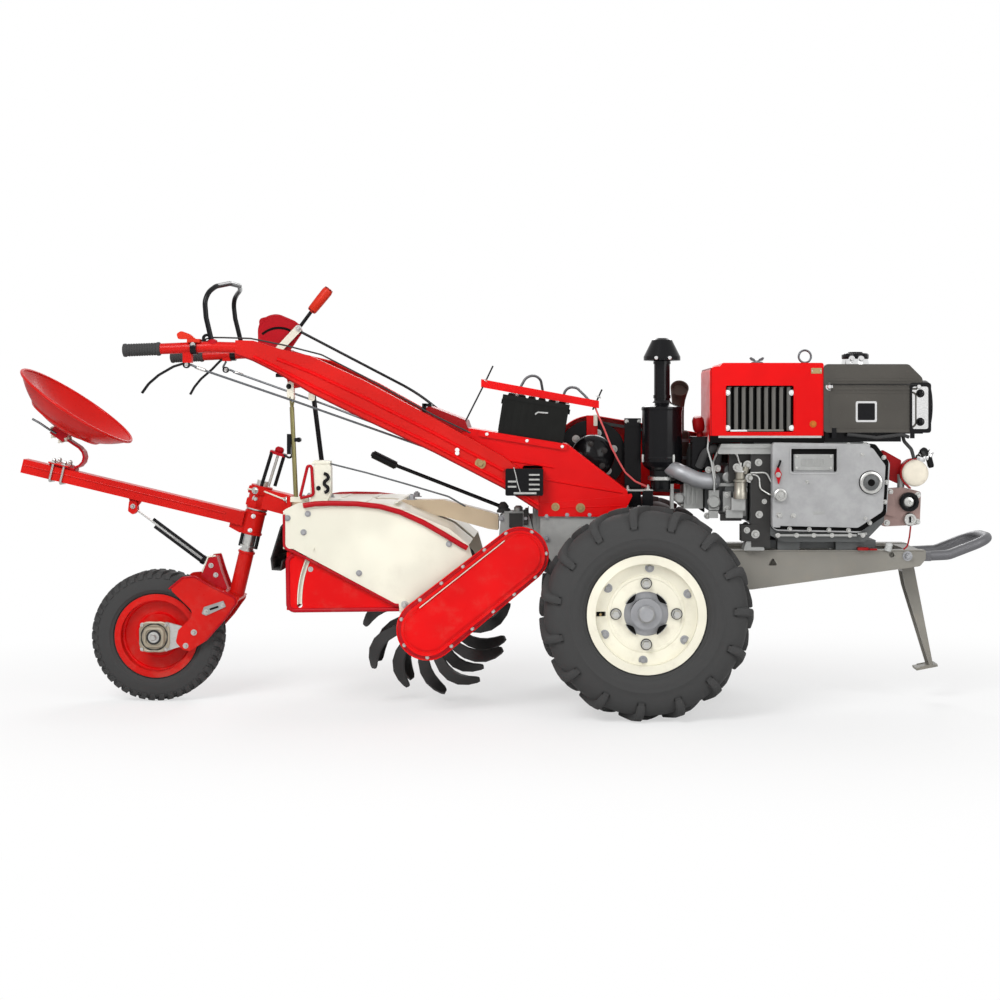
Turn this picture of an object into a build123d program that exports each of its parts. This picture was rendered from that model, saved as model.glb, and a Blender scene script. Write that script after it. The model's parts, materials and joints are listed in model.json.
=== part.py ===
from build123d import *
import os
from math import atan2, cos, degrees, hypot, radians, sin, sqrt, tan

os.makedirs("parts", exist_ok=True)

# Two-wheel power tiller with a horizontal diesel engine, a chain-driven rotary
# tiller behind the wheels and a riding seat over a steered tail wheel.
# Frame: +X forward, +Y to the machine's left, +Z up, ground at Z = 0.
# The origin is on the ground, below the middle of the whole machine.

# ---------------------------------------------------------------- driving sizes
TYRE_DIAMETER = 636.0
TYRE_WIDTH = 160.0
RIM_RADIUS = 176.0          # outer edge of the rim flange
TRACK = 660.0
AXLE_X = 433.0
FIT = 0.3                   # gap between pieces that seat on each other
RUNNING_GAP = 6.0           # least gap round anything that turns
SHEET = 3.0                 # pressed sheet steel
CASTING = 14.0              # wall of the large castings
THIN = 2.0                  # drawn sheet of tank, lamp and air cleaner

AXLE_Z = TYRE_DIAMETER / 2

# transmission
CASE_HALF_WIDTH = 95.0
CASE_REAR_X = AXLE_X - 317
CASE_FRONT_X = AXLE_X + 150
PTO_Z = AXLE_Z + 247
AXLE_TUBE_RADIUS = 48.0
AXLE_SHAFT_RADIUS = 24.0
FINAL_DRIVE_RADIUS = 118.0

# engine frame
RAIL_OUTER_Y = 150.0
RAIL_WIDTH = 42.0
RAIL_WALL = 9.0
RAIL_TOP_Z = AXLE_Z + 170
RAIL_FRONT_X = AXLE_X + 876
BUMPER_RADIUS = 15.5
BUMPER_REACH = 218.0        # ahead of the rails

# engine
ENGINE_REAR_X = AXLE_X + 392
ENGINE_FRONT_X = AXLE_X + 742
ENGINE_RIGHT_Y = -175.0
ENGINE_LEFT_Y = 128.0
ENGINE_TOP_Z = RAIL_TOP_Z + 334
GEAR_COVER_DEPTH = 40.0
FLYWHEEL_RADIUS = 198.0
FLYWHEEL_WIDTH = 46.0
PULLEY_WIDTH = 50.0
ENGINE_PULLEY_RADIUS = 66.0
CLUTCH_PULLEY_RADIUS = 113.0

# handlebar
GRIP_SPAN = 580.0           # between the two grip centres
BASE_SPAN = 236.0           # between the arms where they meet the console
GRIP_REACH = AXLE_X + 701   # from the origin back to the grip ends

# tiller
HOOD_WIDTH = 536.0
HOOD_TOP_Z = AXLE_Z + 322
ROTOR_RADIUS = 234.0
ROTOR_Z = AXLE_Z - 54
CASE_HALF_BREADTH = 80.0    # half the breadth of the chain case
CHAIN_CASE_DEPTH = 46.0
ARM_TUBE_RADIUS = 38.0

# tail wheel and riding seat
TAIL_TYRE_DIAMETER = 414.0
TAIL_TYRE_WIDTH = 100.0
TAIL_RIM_RADIUS = 132.0
POST_TILT = 13.3            # degrees, top forward
POST_RADIUS = 19.0
TAIL_TRAIL = 167.0          # wheel contact behind the steering axis
SEAT_RADIUS = 200.0
SEAT_DEPTH = 90.0
SEAT_TILT = 35.0            # degrees, front edge down


# ------------------------------------------------------------------- helpers
def side_plane(y):
    """Plane that looks at the machine's right side: local x forward, local y up."""
    return Plane(origin=(0, y, 0), x_dir=(1, 0, 0), z_dir=(0, -1, 0))


def side_solid(points, radii, y_low, y_high):
    """Closed X-Z outline with rounded corners, made solid between two Y planes."""
    outline = make_face(FilletPolyline(*points, radius=radii, close=True))
    return extrude(side_plane(y_high) * outline, amount=y_high - y_low)


def y_cylinder(x, z, radius, y_low, y_high):
    """Round bar along Y."""
    place = side_plane(y_high) * Pos(x, z)
    return place * Cylinder(radius, y_high - y_low, align=(Align.CENTER, Align.CENTER, Align.MIN))


def y_ring(x, z, outer, inner, y_low, y_high):
    """Round sleeve along Y."""
    return y_cylinder(x, z, outer, y_low, y_high) - y_cylinder(x, z, inner, y_low - 1, y_high + 1)


def y_revolve(x, z, profile, radii=0):
    """Solid turned about a Y axis through (x, z); the profile is (radius, y) points."""
    outline = make_face(FilletPolyline(*profile, radius=radii, close=True))
    axis_plane = Plane(origin=(x, 0, z), x_dir=(1, 0, 0), z_dir=(0, 0, 1))
    return revolve(axis_plane * outline, axis=Axis((x, 0, z), (0, 1, 0)))


def bar(start, end, radius):
    """Round bar between two points."""
    line = Vector(*end) - Vector(*start)
    place = Plane(origin=start, z_dir=line)
    return place * Cylinder(radius, line.length, align=(Align.CENTER, Align.CENTER, Align.MIN))


def tube_bar(start, end, radius, bore):
    """Round tube between two points."""
    line = Vector(*end) - Vector(*start)
    place = Plane(origin=start, z_dir=line)
    wall = Circle(radius) - Circle(bore)
    return extrude(place * wall, amount=line.length)


def bent_bar(points, bends, radius):
    """Round bar along straight runs joined by arcs."""
    path = FilletPolyline(*points, radius=bends)
    section = Plane(origin=path @ 0, z_dir=path % 0) * Circle(radius)
    return sweep(section, path=path)


def block(x_low, x_high, y_low, y_high, z_low, z_high):
    """Rectangular block between six planes."""
    size = (x_high - x_low, y_high - y_low, z_high - z_low)
    return Pos(x_low, y_low, z_low) * Box(*size, align=(Align.MIN, Align.MIN, Align.MIN))


def mirrored(part):
    """The same part on the machine's other side."""
    return mirror(part, about=Plane.XZ)


def both_sides(part):
    """A part and its mirror image on the other side."""
    return part + mirrored(part)


nodes = {}

# ---------------------------------------------------------------- main wheels
TYRE_RADIUS = TYRE_DIAMETER / 2
SIDEWALL_RADIUS = (TYRE_RADIUS + RIM_RADIUS) / 2 - 8
BEAD_HALF_WIDTH = 58.0
BEAD_RADIUS = RIM_RADIUS - 20
DISC_OFFSET = 22.0          # disc plane outboard of the wheel's middle
DISC_WALL = 7.0
HUB_FLANGE_RADIUS = 105.0
HUB_HOLE_RADIUS = 66.0
HUB_BOLT_CIRCLE = 90.0
RIM_BOLT_CIRCLE = 134.0
BOLT_RADIUS = 8.0
WHEEL_MID_Y = TRACK / 2
DISC_INNER_Y = WHEEL_MID_Y + DISC_OFFSET
HUB_FLANGE_WALL = 14.0
AXLE_TUBE_END_Y = DISC_INNER_Y - HUB_FLANGE_WALL - RUNNING_GAP


def main_tyre():
    """Tyre for the left side, its treads' tips on the outer radius."""
    half = TYRE_WIDTH / 2
    # (radius, distance from the wheel's middle, corner radius)
    half_section = [
        (TYRE_RADIUS, half - 20, 24),
        (SIDEWALL_RADIUS + 18, half, 30),
        (SIDEWALL_RADIUS - 26, half, 26),
        (RIM_RADIUS + 5, BEAD_HALF_WIDTH + 4, 3),
        (RIM_RADIUS + 3, BEAD_HALF_WIDTH - FIT, 2),
        (BEAD_RADIUS + FIT, BEAD_HALF_WIDTH - FIT, 0),
    ]
    outside = [(r, WHEEL_MID_Y + y) for r, y, _ in half_section]
    inside = [(r, WHEEL_MID_Y - y) for r, y, _ in reversed(half_section)]
    cavity = [
        (BEAD_RADIUS + FIT, WHEEL_MID_Y - BEAD_HALF_WIDTH + 18),
        (TYRE_RADIUS - 42, WHEEL_MID_Y - half + 30),
        (TYRE_RADIUS - 42, WHEEL_MID_Y + half - 30),
        (BEAD_RADIUS + FIT, WHEEL_MID_Y + BEAD_HALF_WIDTH - 18),
    ]
    corners = [c for _, _, c in half_section]
    profile = outside + list(cavity[::-1]) + inside
    bends = corners + [0, 20, 20, 0] + corners[::-1]
    return y_revolve(AXLE_X, AXLE_Z, profile, bends)


def main_rim():
    """Drop-centre rim with a flat disc bolted by the hub."""
    well = RIM_RADIUS - 44
    wall = 5.0
    edge = BEAD_HALF_WIDTH
    # rim barrel as a thin strip: its tyre side, then its inner side
    tyre_side = [
        (RIM_RADIUS, edge + wall),
        (RIM_RADIUS, edge),
        (BEAD_RADIUS, edge),
        (BEAD_RADIUS, 26),
        (well, 14),
        (well, -14),
        (BEAD_RADIUS, -26),
        (BEAD_RADIUS, -edge),
        (RIM_RADIUS, -edge),
        (RIM_RADIUS, -edge - wall),
    ]
    inner_side = [
        (BEAD_RADIUS - wall, -edge - wall),
        (BEAD_RADIUS - wall, -26),
        (well - wall, -14),
        (well - wall, 14),
        (BEAD_RADIUS - wall, 26),
        (BEAD_RADIUS - wall, edge + wall),
    ]
    strip = [(r, WHEEL_MID_Y + y) for r, y in tyre_side + inner_side]
    barrel = y_revolve(AXLE_X, AXLE_Z, strip)
    disc_profile = [
        (HUB_HOLE_RADIUS, DISC_INNER_Y),
        (RIM_BOLT_CIRCLE - 18, DISC_INNER_Y),
        (BEAD_RADIUS - wall, DISC_INNER_Y + 8),
        (BEAD_RADIUS - wall, DISC_INNER_Y + 8 + DISC_WALL),
        (RIM_BOLT_CIRCLE - 18, DISC_INNER_Y + DISC_WALL),
        (HUB_HOLE_RADIUS, DISC_INNER_Y + DISC_WALL),
    ]
    disc = y_revolve(AXLE_X, AXLE_Z, disc_profile)
    for index in range(4):
        angle = radians(90 * index)
        x = AXLE_X + HUB_BOLT_CIRCLE * cos(angle)
        z = AXLE_Z + HUB_BOLT_CIRCLE * sin(angle)
        disc -= y_cylinder(x, z, BOLT_RADIUS + 0.5, DISC_INNER_Y - 5, DISC_INNER_Y + 40)
    slot_x = AXLE_X - RIM_BOLT_CIRCLE
    disc -= block(slot_x - 14, slot_x + 14, DISC_INNER_Y - 5, DISC_INNER_Y + 40,
                  AXLE_Z - 7, AXLE_Z + 7)
    return barrel + disc


def main_hub():
    """Four-pointed hub flange on the half shaft that runs in the axle tube."""
    outer_y = DISC_INNER_Y
    flange = y_cylinder(AXLE_X, AXLE_Z, HUB_FLANGE_RADIUS, outer_y - HUB_FLANGE_WALL, outer_y - FIT)
    # the four edges are scooped, which leaves an arm at each bolt
    scoop_radius = 62.0
    scoop_centre = HUB_FLANGE_RADIUS + 22
    for index in range(4):
        angle = radians(45 + 90 * index)
        x = AXLE_X + scoop_centre * cos(angle)
        z = AXLE_Z + scoop_centre * sin(angle)
        flange -= y_cylinder(x, z, scoop_radius, outer_y - 40, outer_y + 10)
    boss = y_cylinder(AXLE_X, AXLE_Z, 46, outer_y - HUB_FLANGE_WALL, outer_y + 16)
    cap = y_revolve(AXLE_X, AXLE_Z, [(0, outer_y), (26, outer_y), (26, outer_y + 30),
                                     (20, outer_y + 36), (0, outer_y + 36)])
    shaft = y_cylinder(AXLE_X, AXLE_Z, AXLE_SHAFT_RADIUS, FINAL_DRIVE_HALF + 40, outer_y)
    hub = flange + boss + cap + shaft
    for index in range(4):
        angle = radians(90 * index)
        x = AXLE_X + HUB_BOLT_CIRCLE * cos(angle)
        z = AXLE_Z + HUB_BOLT_CIRCLE * sin(angle)
        hub += y_cylinder(x, z, BOLT_RADIUS, outer_y - 8, outer_y + DISC_WALL + 12)
    return hub


FINAL_DRIVE_HALF = 128.0
left_tyre = main_tyre()
left_rim = main_rim()
left_hub = main_hub()
for side, flip in (("left", False), ("right", True)):
    for piece, shape in (("tyre", left_tyre), ("rim", left_rim), ("hub", left_hub)):
        nodes[f"{side}_wheel_{piece}"] = mirrored(shape) if flip else shape

# --------------------------------------------------------------- transmission
case_bottom_z = AXLE_Z - 70
case_shoulder_z = AXLE_Z + 292
transmission_outline = [
    (CASE_REAR_X, PTO_Z - 62),
    (CASE_REAR_X + 130, AXLE_Z - 20),
    (AXLE_X - 90, case_bottom_z),
    (CASE_FRONT_X - 40, case_bottom_z),
    (CASE_FRONT_X, AXLE_Z - 20),
    (CASE_FRONT_X, RAIL_TOP_Z + 40),
    (CASE_FRONT_X - 130, case_shoulder_z),
    (CASE_REAR_X, case_shoulder_z),
]
ARM_BASE_WIDTH = 30.0       # of the handlebar's arms beside the console
CONSOLE_HALF = BASE_SPAN / 2 - ARM_BASE_WIDTH / 2 - FIT
# clutch housing, raised on the left of the gear housing
CLUTCH_X = AXLE_X - 150
CLUTCH_Z = AXLE_Z + 456
CLUTCH_HOUSING_RADIUS = 50.0
CLUTCH_FOOT = 36.0          # half the width of the pillar below the housing
clutch_y = (38.0, 92.0)
BELT_INNER_Y = ENGINE_LEFT_Y + 4 + FLYWHEEL_WIDTH


def transmission():
    """Hollow gear housing with final drive, axle tubes, clutch housing and rear flange."""
    wall = CASTING + 2
    body = side_solid(transmission_outline, 24, -CASE_HALF_WIDTH, CASE_HALF_WIDTH)
    gear_room = [
        (CASE_REAR_X + wall + 8, PTO_Z - 56),
        (CASE_REAR_X + 142, AXLE_Z - 10),
        (AXLE_X - 84, case_bottom_z + wall),
        (CASE_FRONT_X - 48, case_bottom_z + wall),
        (CASE_FRONT_X - wall, AXLE_Z - 14),
        (CASE_FRONT_X - wall, RAIL_TOP_Z + 32),
        (CASE_FRONT_X - 138, case_shoulder_z - wall),
        (CASE_REAR_X + wall + 8, case_shoulder_z - wall),
    ]
    body -= side_solid(gear_room, 14, -CASE_HALF_WIDTH + wall, CASE_HALF_WIDTH - wall)
    for sign in (-1, 1):
        low, high = sorted((sign * (CASE_HALF_WIDTH - 1), sign * FINAL_DRIVE_HALF))
        body += y_cylinder(AXLE_X, AXLE_Z, FINAL_DRIVE_RADIUS, low, high)
    flange_half = 50.0
    body += block(CASE_REAR_X - 12, CASE_REAR_X + 20, -flange_half, flange_half,
                  PTO_Z - flange_half, PTO_Z + flange_half)
    for sign in (-1, 1):
        low, high = sorted((sign * CASE_HALF_WIDTH, sign * AXLE_TUBE_END_Y))
        body += y_cylinder(AXLE_X, AXLE_Z, AXLE_TUBE_RADIUS, low, high)
        low, high = sorted((sign * CASE_HALF_WIDTH, sign * (FINAL_DRIVE_HALF + 12)))
        body += y_cylinder(AXLE_X, AXLE_Z, AXLE_TUBE_RADIUS + 18, low, high)
    # lid of the gear case, wide enough to carry the console's sides
    body += block(CASE_REAR_X + 8, AXLE_X - 112, -CONSOLE_HALF, CONSOLE_HALF,
                  case_shoulder_z - 10, case_shoulder_z)
    pillar = block(CLUTCH_X - CLUTCH_FOOT, CLUTCH_X + CLUTCH_FOOT, *clutch_y,
                   case_shoulder_z - 60, CLUTCH_Z)
    housing = y_cylinder(CLUTCH_X, CLUTCH_Z, CLUTCH_HOUSING_RADIUS, clutch_y[0], BELT_INNER_Y - 30)
    body += pillar + housing
    for sign in (-1, 1):
        low, high = sorted((sign * (FINAL_DRIVE_HALF + 38), sign * (AXLE_TUBE_END_Y + 1)))
        body -= y_cylinder(AXLE_X, AXLE_Z, AXLE_SHAFT_RADIUS + 1, low, high)
    return body


nodes["transmission_case"] = transmission()


# --------------------------------------------------------------- engine frame
RAIL_REAR_X = CASE_FRONT_X + FIT
STAND_PIVOT_X = AXLE_X + 844
STAND_PIVOT_Z = RAIL_TOP_Z - 52
STAND_PIN_RADIUS = 9.0


def frame_rails():
    """Two channel rails with their flanges turned inwards."""
    rail_outline = [
        (RAIL_REAR_X, RAIL_TOP_Z),
        (RAIL_REAR_X, RAIL_TOP_Z - 122),
        (AXLE_X + 338, RAIL_TOP_Z - 122),
        (RAIL_FRONT_X - 18, RAIL_TOP_Z - 50),
        (RAIL_FRONT_X, RAIL_TOP_Z - 28),
        (RAIL_FRONT_X, RAIL_TOP_Z),
    ]
    bends = [4, 4, 30, 14, 14, 4]
    rail = side_solid(rail_outline, bends, -RAIL_OUTER_Y, -RAIL_OUTER_Y + RAIL_WIDTH)
    pocket_outline = [
        (RAIL_REAR_X + RAIL_WALL, RAIL_TOP_Z - RAIL_WALL),
        (RAIL_REAR_X + RAIL_WALL, RAIL_TOP_Z - 122 + RAIL_WALL),
        (AXLE_X + 337, RAIL_TOP_Z - 122 + RAIL_WALL),
        (RAIL_FRONT_X - 70, RAIL_TOP_Z - 58 + RAIL_WALL),
        (RAIL_FRONT_X - 70, RAIL_TOP_Z - RAIL_WALL),
    ]
    rail -= side_solid(pocket_outline, 3, -RAIL_OUTER_Y + RAIL_WALL, -RAIL_OUTER_Y + RAIL_WIDTH + 1)
    notch = [(AXLE_X + 388, RAIL_TOP_Z - 48), (AXLE_X + 418, RAIL_TOP_Z - 48),
             (AXLE_X + 403, RAIL_TOP_Z - 22)]
    rail -= side_solid(notch, 4, -RAIL_OUTER_Y - 1, -RAIL_OUTER_Y + RAIL_WALL + 1)
    rail -= y_cylinder(AXLE_X + 771, RAIL_TOP_Z - 15, 8.5, -RAIL_OUTER_Y - 1,
                       -RAIL_OUTER_Y + RAIL_WALL + 1)
    return both_sides(rail)


def frame_cross_members():
    """Rear plate and front beam that tie the rails; the beam's ears hold the stand's pin."""
    inner = RAIL_OUTER_Y - RAIL_WIDTH - FIT
    frame = block(RAIL_REAR_X, RAIL_REAR_X + 14, -inner, inner, RAIL_TOP_Z - 122, RAIL_TOP_Z - 10)
    frame += block(RAIL_FRONT_X - 52, RAIL_FRONT_X - 8, -inner, inner,
                   RAIL_TOP_Z - 24, RAIL_TOP_Z - 2)
    # two ears below the cross member carry the front stand's pin
    for sign in (-1, 1):
        low, high = sorted((sign * 36, sign * 44))
        ear = side_solid(
            [(STAND_PIVOT_X - 20, RAIL_TOP_Z - 20), (STAND_PIVOT_X - 16, STAND_PIVOT_Z - 14),
             (STAND_PIVOT_X + 16, STAND_PIVOT_Z - 14), (STAND_PIVOT_X + 20, RAIL_TOP_Z - 20)],
            [0, 12, 12, 0], low, high)
        frame += ear
    frame += y_cylinder(STAND_PIVOT_X, STAND_PIVOT_Z, STAND_PIN_RADIUS, -44, 44)
    return frame


nodes["frame_rails"] = frame_rails()
nodes["frame_cross_members"] = frame_cross_members()


def front_bumper():
    """Bent tube loop bolted inside the front ends of the rails."""
    y = RAIL_OUTER_Y - RAIL_WIDTH - BUMPER_RADIUS - FIT
    low_z = RAIL_TOP_Z - 24
    rise_x = RAIL_FRONT_X + 84
    tip_x = RAIL_FRONT_X + BUMPER_REACH
    tip_z = RAIL_TOP_Z + 32
    right = [(RAIL_FRONT_X - 2, -y, low_z), (rise_x, -y, low_z + 4), (tip_x, -y, tip_z)]
    left = [(x, -y_side, z) for x, y_side, z in reversed(right)]
    loop = bent_bar(right + left, [70, 60, 60, 70], BUMPER_RADIUS)
    # flat tongues lap the inside of the rails
    for sign in (-1, 1):
        low, high = sorted((sign * (y - 4), sign * (RAIL_OUTER_Y - RAIL_WIDTH - FIT)))
        loop += block(RAIL_FRONT_X - 7, RAIL_FRONT_X + 26, low, high, low_z - 14, low_z + 14)
    return loop


nodes["front_bumper"] = front_bumper()


# ---------------------------------------------------------------- front stand
STAND_LENGTH = 332.0
STAND_LEAN = 11.0           # degrees ahead of straight down
STAND_WIDTH = 60.0


def front_stand():
    """Channel leg with a flat foot, hung on the pin below the cross member."""
    half = STAND_WIDTH / 2
    leg = side_solid([(-20, -STAND_LENGTH), (-20, 16), (20, 16), (20, -STAND_LENGTH)],
                     [0, 15, 15, 0], -half, half)
    leg -= block(-26, 14, -half + 5, half - 5, -STAND_LENGTH - 1, -24)
    leg += block(-34, 34, -half, half, -STAND_LENGTH - 8, -STAND_LENGTH)
    taper = [(-20, -STAND_LENGTH + 2), (-20, -70), (8, -STAND_LENGTH + 2)]
    leg -= side_solid(taper, 0, -half - 1, half + 1)
    leg -= y_cylinder(0, 0, STAND_PIN_RADIUS + 0.5, -half - 1, half + 1)
    return Pos(STAND_PIVOT_X, 0, STAND_PIVOT_Z) * Rot(0, -STAND_LEAN, 0) * leg


nodes["front_stand"] = front_stand()

# ---------------------------------------------------------------------- engine
CRANK_X = AXLE_X + 577
CRANK_Z = RAIL_TOP_Z + 212
COVER_Y = ENGINE_RIGHT_Y - GEAR_COVER_DEPTH


def engine_block():
    """Crankcase and cylinder casting as one closed mass on four feet."""
    outline = [
        (ENGINE_REAR_X - 60, RAIL_TOP_Z + 84),
        (ENGINE_REAR_X - 10, RAIL_TOP_Z + 52),
        (ENGINE_REAR_X + 40, RAIL_TOP_Z + 28),
        (ENGINE_FRONT_X - 60, RAIL_TOP_Z + 28),
        (ENGINE_FRONT_X, RAIL_TOP_Z + 90),
        (ENGINE_FRONT_X, ENGINE_TOP_Z - 70),
        (ENGINE_FRONT_X - 50, ENGINE_TOP_Z),
        (ENGINE_REAR_X - 60, ENGINE_TOP_Z),
    ]
    body = side_solid(outline, 18, ENGINE_RIGHT_Y, ENGINE_LEFT_Y)
    wall = CASTING
    crank_room = [
        (ENGINE_REAR_X - 60 + wall, RAIL_TOP_Z + 96),
        (ENGINE_REAR_X + 44, RAIL_TOP_Z + 28 + wall),
        (ENGINE_FRONT_X - 66, RAIL_TOP_Z + 28 + wall),
        (ENGINE_FRONT_X - wall, RAIL_TOP_Z + 96),
        (ENGINE_FRONT_X - wall, ENGINE_TOP_Z - 76),
        (ENGINE_FRONT_X - 58, ENGINE_TOP_Z - wall),
        (ENGINE_REAR_X - 60 + wall, ENGINE_TOP_Z - wall),
    ]
    body -= side_solid(crank_room, 8, ENGINE_RIGHT_Y + wall, ENGINE_LEFT_Y - wall)
    foot_y = RAIL_OUTER_Y - RAIL_WIDTH
    for x in (ENGINE_REAR_X + 60, ENGINE_FRONT_X - 110):
        for sign in (-1, 1):
            low, high = sorted((sign * foot_y, sign * (foot_y + RAIL_WIDTH - 4)))
            low, high = max(low, ENGINE_RIGHT_Y + 4), min(high, ENGINE_LEFT_Y)
            body += block(x - 34, x + 34, low, high, RAIL_TOP_Z + FIT, RAIL_TOP_Z + 46)
    return body


nodes["engine_block"] = engine_block()


def gear_cover():
    """Cast timing cover with a stepped face, a sight recess and a crank boss."""
    top = ENGINE_TOP_Z
    left = AXLE_X + 392
    outline = [
        (left, top),
        (left, RAIL_TOP_Z + 64),
        (left + 268, RAIL_TOP_Z + 58),
        (left + 352, RAIL_TOP_Z + 116),
        (left + 362, top - 62),
        (left + 314, top - 5),
    ]
    low, high = COVER_Y, ENGINE_RIGHT_Y - FIT
    cover = side_solid(outline, [10, 22, 30, 24, 24, 16], low + 12, high)
    inset = 16.0
    face = [
        (left + inset, top - inset),
        (left + inset, RAIL_TOP_Z + 64 + inset),
        (left + 262, RAIL_TOP_Z + 58 + inset),
        (left + 338, RAIL_TOP_Z + 124),
        (left + 346, top - 70),
        (left + 306, top - inset),
    ]
    cover += side_solid(face, 16, low, low + 13)
    cover -= side_solid(
        [(left + 58, top - 92), (left + 198, top - 92), (left + 198, top - 14), (left + 58, top - 14)],
        10, low - 1, low + 9)
    cover += y_cylinder(CRANK_X + 116, CRANK_Z, 34, low - 8, low + 2)
    cover -= y_cylinder(CRANK_X + 116, CRANK_Z, 24, low - 9, low + 22)
    cover += y_cylinder(left + 24, CRANK_Z - 38, 21, low - 10, low + 13)
    # the gears' room behind the face
    room = [(x + sx * 14, z + sz * 14) for (x, z), (sx, sz) in zip(
        outline, ((1, -1), (1, 1), (-0.3, 1.2), (-1.2, 0.6), (-1.2, -0.6), (-0.6, -1.2)))]
    cover -= side_solid(room, 8, low + 26, high + 1)
    return cover


nodes["gear_cover"] = gear_cover()


def cylinder_head():
    """Cylinder head and rocker cover at the rear of the block."""
    rear = ENGINE_REAR_X - 60 - FIT
    body = block(rear - 74, rear, -118, 108, RAIL_TOP_Z + 92, RAIL_TOP_Z + 262)
    body = fillet(body.edges().filter_by(Axis.Y), 14)
    cover = block(rear - 136, rear - 74, -84, 74, RAIL_TOP_Z + 116, RAIL_TOP_Z + 236)
    cover = fillet(cover.edges().filter_by(Axis.Y).group_by(Axis.X)[0], 26)
    body -= block(rear - 60, rear - 14, -100, 90, RAIL_TOP_Z + 108, RAIL_TOP_Z + 246)
    cover -= block(rear - 124, rear - 74, -74, 64, RAIL_TOP_Z + 128, RAIL_TOP_Z + 224)
    return body + cover


nodes["cylinder_head"] = cylinder_head()

# air cleaner beside the cylinder head
CLEANER_X = AXLE_X + 66
CLEANER_Y = -62.0
CLEANER_BASE_Z = RAIL_TOP_Z + 185
CANISTER_RADIUS = 63.0
CANISTER_HEIGHT = 198.0
STACK_RADIUS = 25.0
INTAKE_Z = RAIL_TOP_Z + 214


def air_cleaner():
    """Oil-bath cleaner: base, canister, stack and flared cap, all turned."""
    base_top = CLEANER_BASE_Z + 72
    canister_top = base_top + CANISTER_HEIGHT
    stack_top = canister_top + 134
    cap_top = stack_top + 70
    profile = [
        (0, CLEANER_BASE_Z),
        (34, CLEANER_BASE_Z),
        (40, base_top - 14),
        (CANISTER_RADIUS - 5, base_top),
        (CANISTER_RADIUS, base_top + 14),
        (CANISTER_RADIUS, canister_top - 12),
        (STACK_RADIUS + 6, canister_top),
        (STACK_RADIUS, canister_top + 8),
        (STACK_RADIUS, stack_top - 2),
        (58, stack_top),
        (58, stack_top + 12),
        (32, cap_top - 6),
        (22, cap_top),
        (0, cap_top),
    ]
    inside = [
        (0, base_top + 16),
        (CANISTER_RADIUS - THIN, base_top + 18),
        (CANISTER_RADIUS - THIN, canister_top - 14),
        (STACK_RADIUS - THIN - 2, canister_top - 2),
        (STACK_RADIUS - THIN - 2, stack_top + 8),
        (28, cap_top - 10),
        (0, cap_top - 10),
    ]
    turned = revolve(Plane.XZ * make_face(Polyline(*profile, close=True)), axis=Axis.Z)
    turned -= revolve(Plane.XZ * make_face(Polyline(*inside, close=True)), axis=Axis.Z)
    return Pos(CLEANER_X, CLEANER_Y, 0) * turned


def intake_elbow():
    """Bent pipe from the cleaner's base to the cylinder head."""
    start = (CLEANER_X + 20, CLEANER_Y, INTAKE_Z + 6)
    face_x = ENGINE_REAR_X - 60 - FIT - 136 - FIT
    return bar(start, (face_x, CLEANER_Y, INTAKE_Z - 4), 17)


nodes["air_cleaner"] = air_cleaner() + intake_elbow()


def exhaust_muffler():
    """Drum silencer with a short neck on the head's left side."""
    x, y = AXLE_X + 126, 62.0
    base = RAIL_TOP_Z + 262 + FIT
    neck_x = ENGINE_REAR_X - 60 - FIT - 38
    neck = bent_bar([(neck_x, y, base), (neck_x, y, base + 46), (x + 30, y, base + 46)], 26, 17)
    drum = Pos(x, y, base + 46) * (Cylinder(36, 116) - Cylinder(34, 112))
    outlet = bent_bar([(x, y, base + 98), (x, y, base + 140), (x - 40, y, base + 176)], 28, 19)
    return neck + drum + outlet


nodes["exhaust_muffler"] = exhaust_muffler()

# radiator cowl and fuel tank on top of the engine
COWL_REAR_X = AXLE_X + 205
COWL_FRONT_X = AXLE_X + 554
COWL_RIGHT_Y = -186.0
COWL_LEFT_Y = ENGINE_LEFT_Y - 12
COWL_TOP_Z = ENGINE_TOP_Z + 244
COWL_BOTTOM_Z = ENGINE_TOP_Z + FIT
GRILLE = (AXLE_X + 254, AXLE_X + 462, COWL_TOP_Z - 212, COWL_TOP_Z - 70)
GRILLE_SLATS = 9
GRILLE_DEPTH = 26.0         # between the cowl's side and the core


def radiator_cowl():
    """Hollow cowl, open at the grille window and underneath."""
    outline = [
        (COWL_REAR_X, COWL_BOTTOM_Z),
        (COWL_REAR_X, COWL_TOP_Z - 14),
        (COWL_REAR_X + 32, COWL_TOP_Z - 10),
        (COWL_REAR_X + 40, COWL_TOP_Z),
        (COWL_FRONT_X, COWL_TOP_Z),
        (COWL_FRONT_X, COWL_BOTTOM_Z),
    ]
    shell = side_solid(outline, [4, 16, 4, 4, 6, 4], COWL_RIGHT_Y, COWL_LEFT_Y)
    inner = [
        (COWL_REAR_X + SHEET, COWL_BOTTOM_Z - 1),
        (COWL_REAR_X + SHEET, COWL_TOP_Z - 20),
        (COWL_FRONT_X - SHEET, COWL_TOP_Z - 20),
        (COWL_FRONT_X - SHEET, COWL_BOTTOM_Z - 1),
    ]
    shell -= side_solid(inner, 3, COWL_RIGHT_Y + SHEET, COWL_LEFT_Y - SHEET)
    x_low, x_high, z_low, z_high = GRILLE
    window = [(x_low, z_low), (x_low, z_high), (x_high, z_high), (x_high, z_low)]
    shell -= side_solid(window, 6, COWL_RIGHT_Y - 1, COWL_LEFT_Y + 1)
    return shell


nodes["radiator_cowl"] = radiator_cowl()


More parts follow.
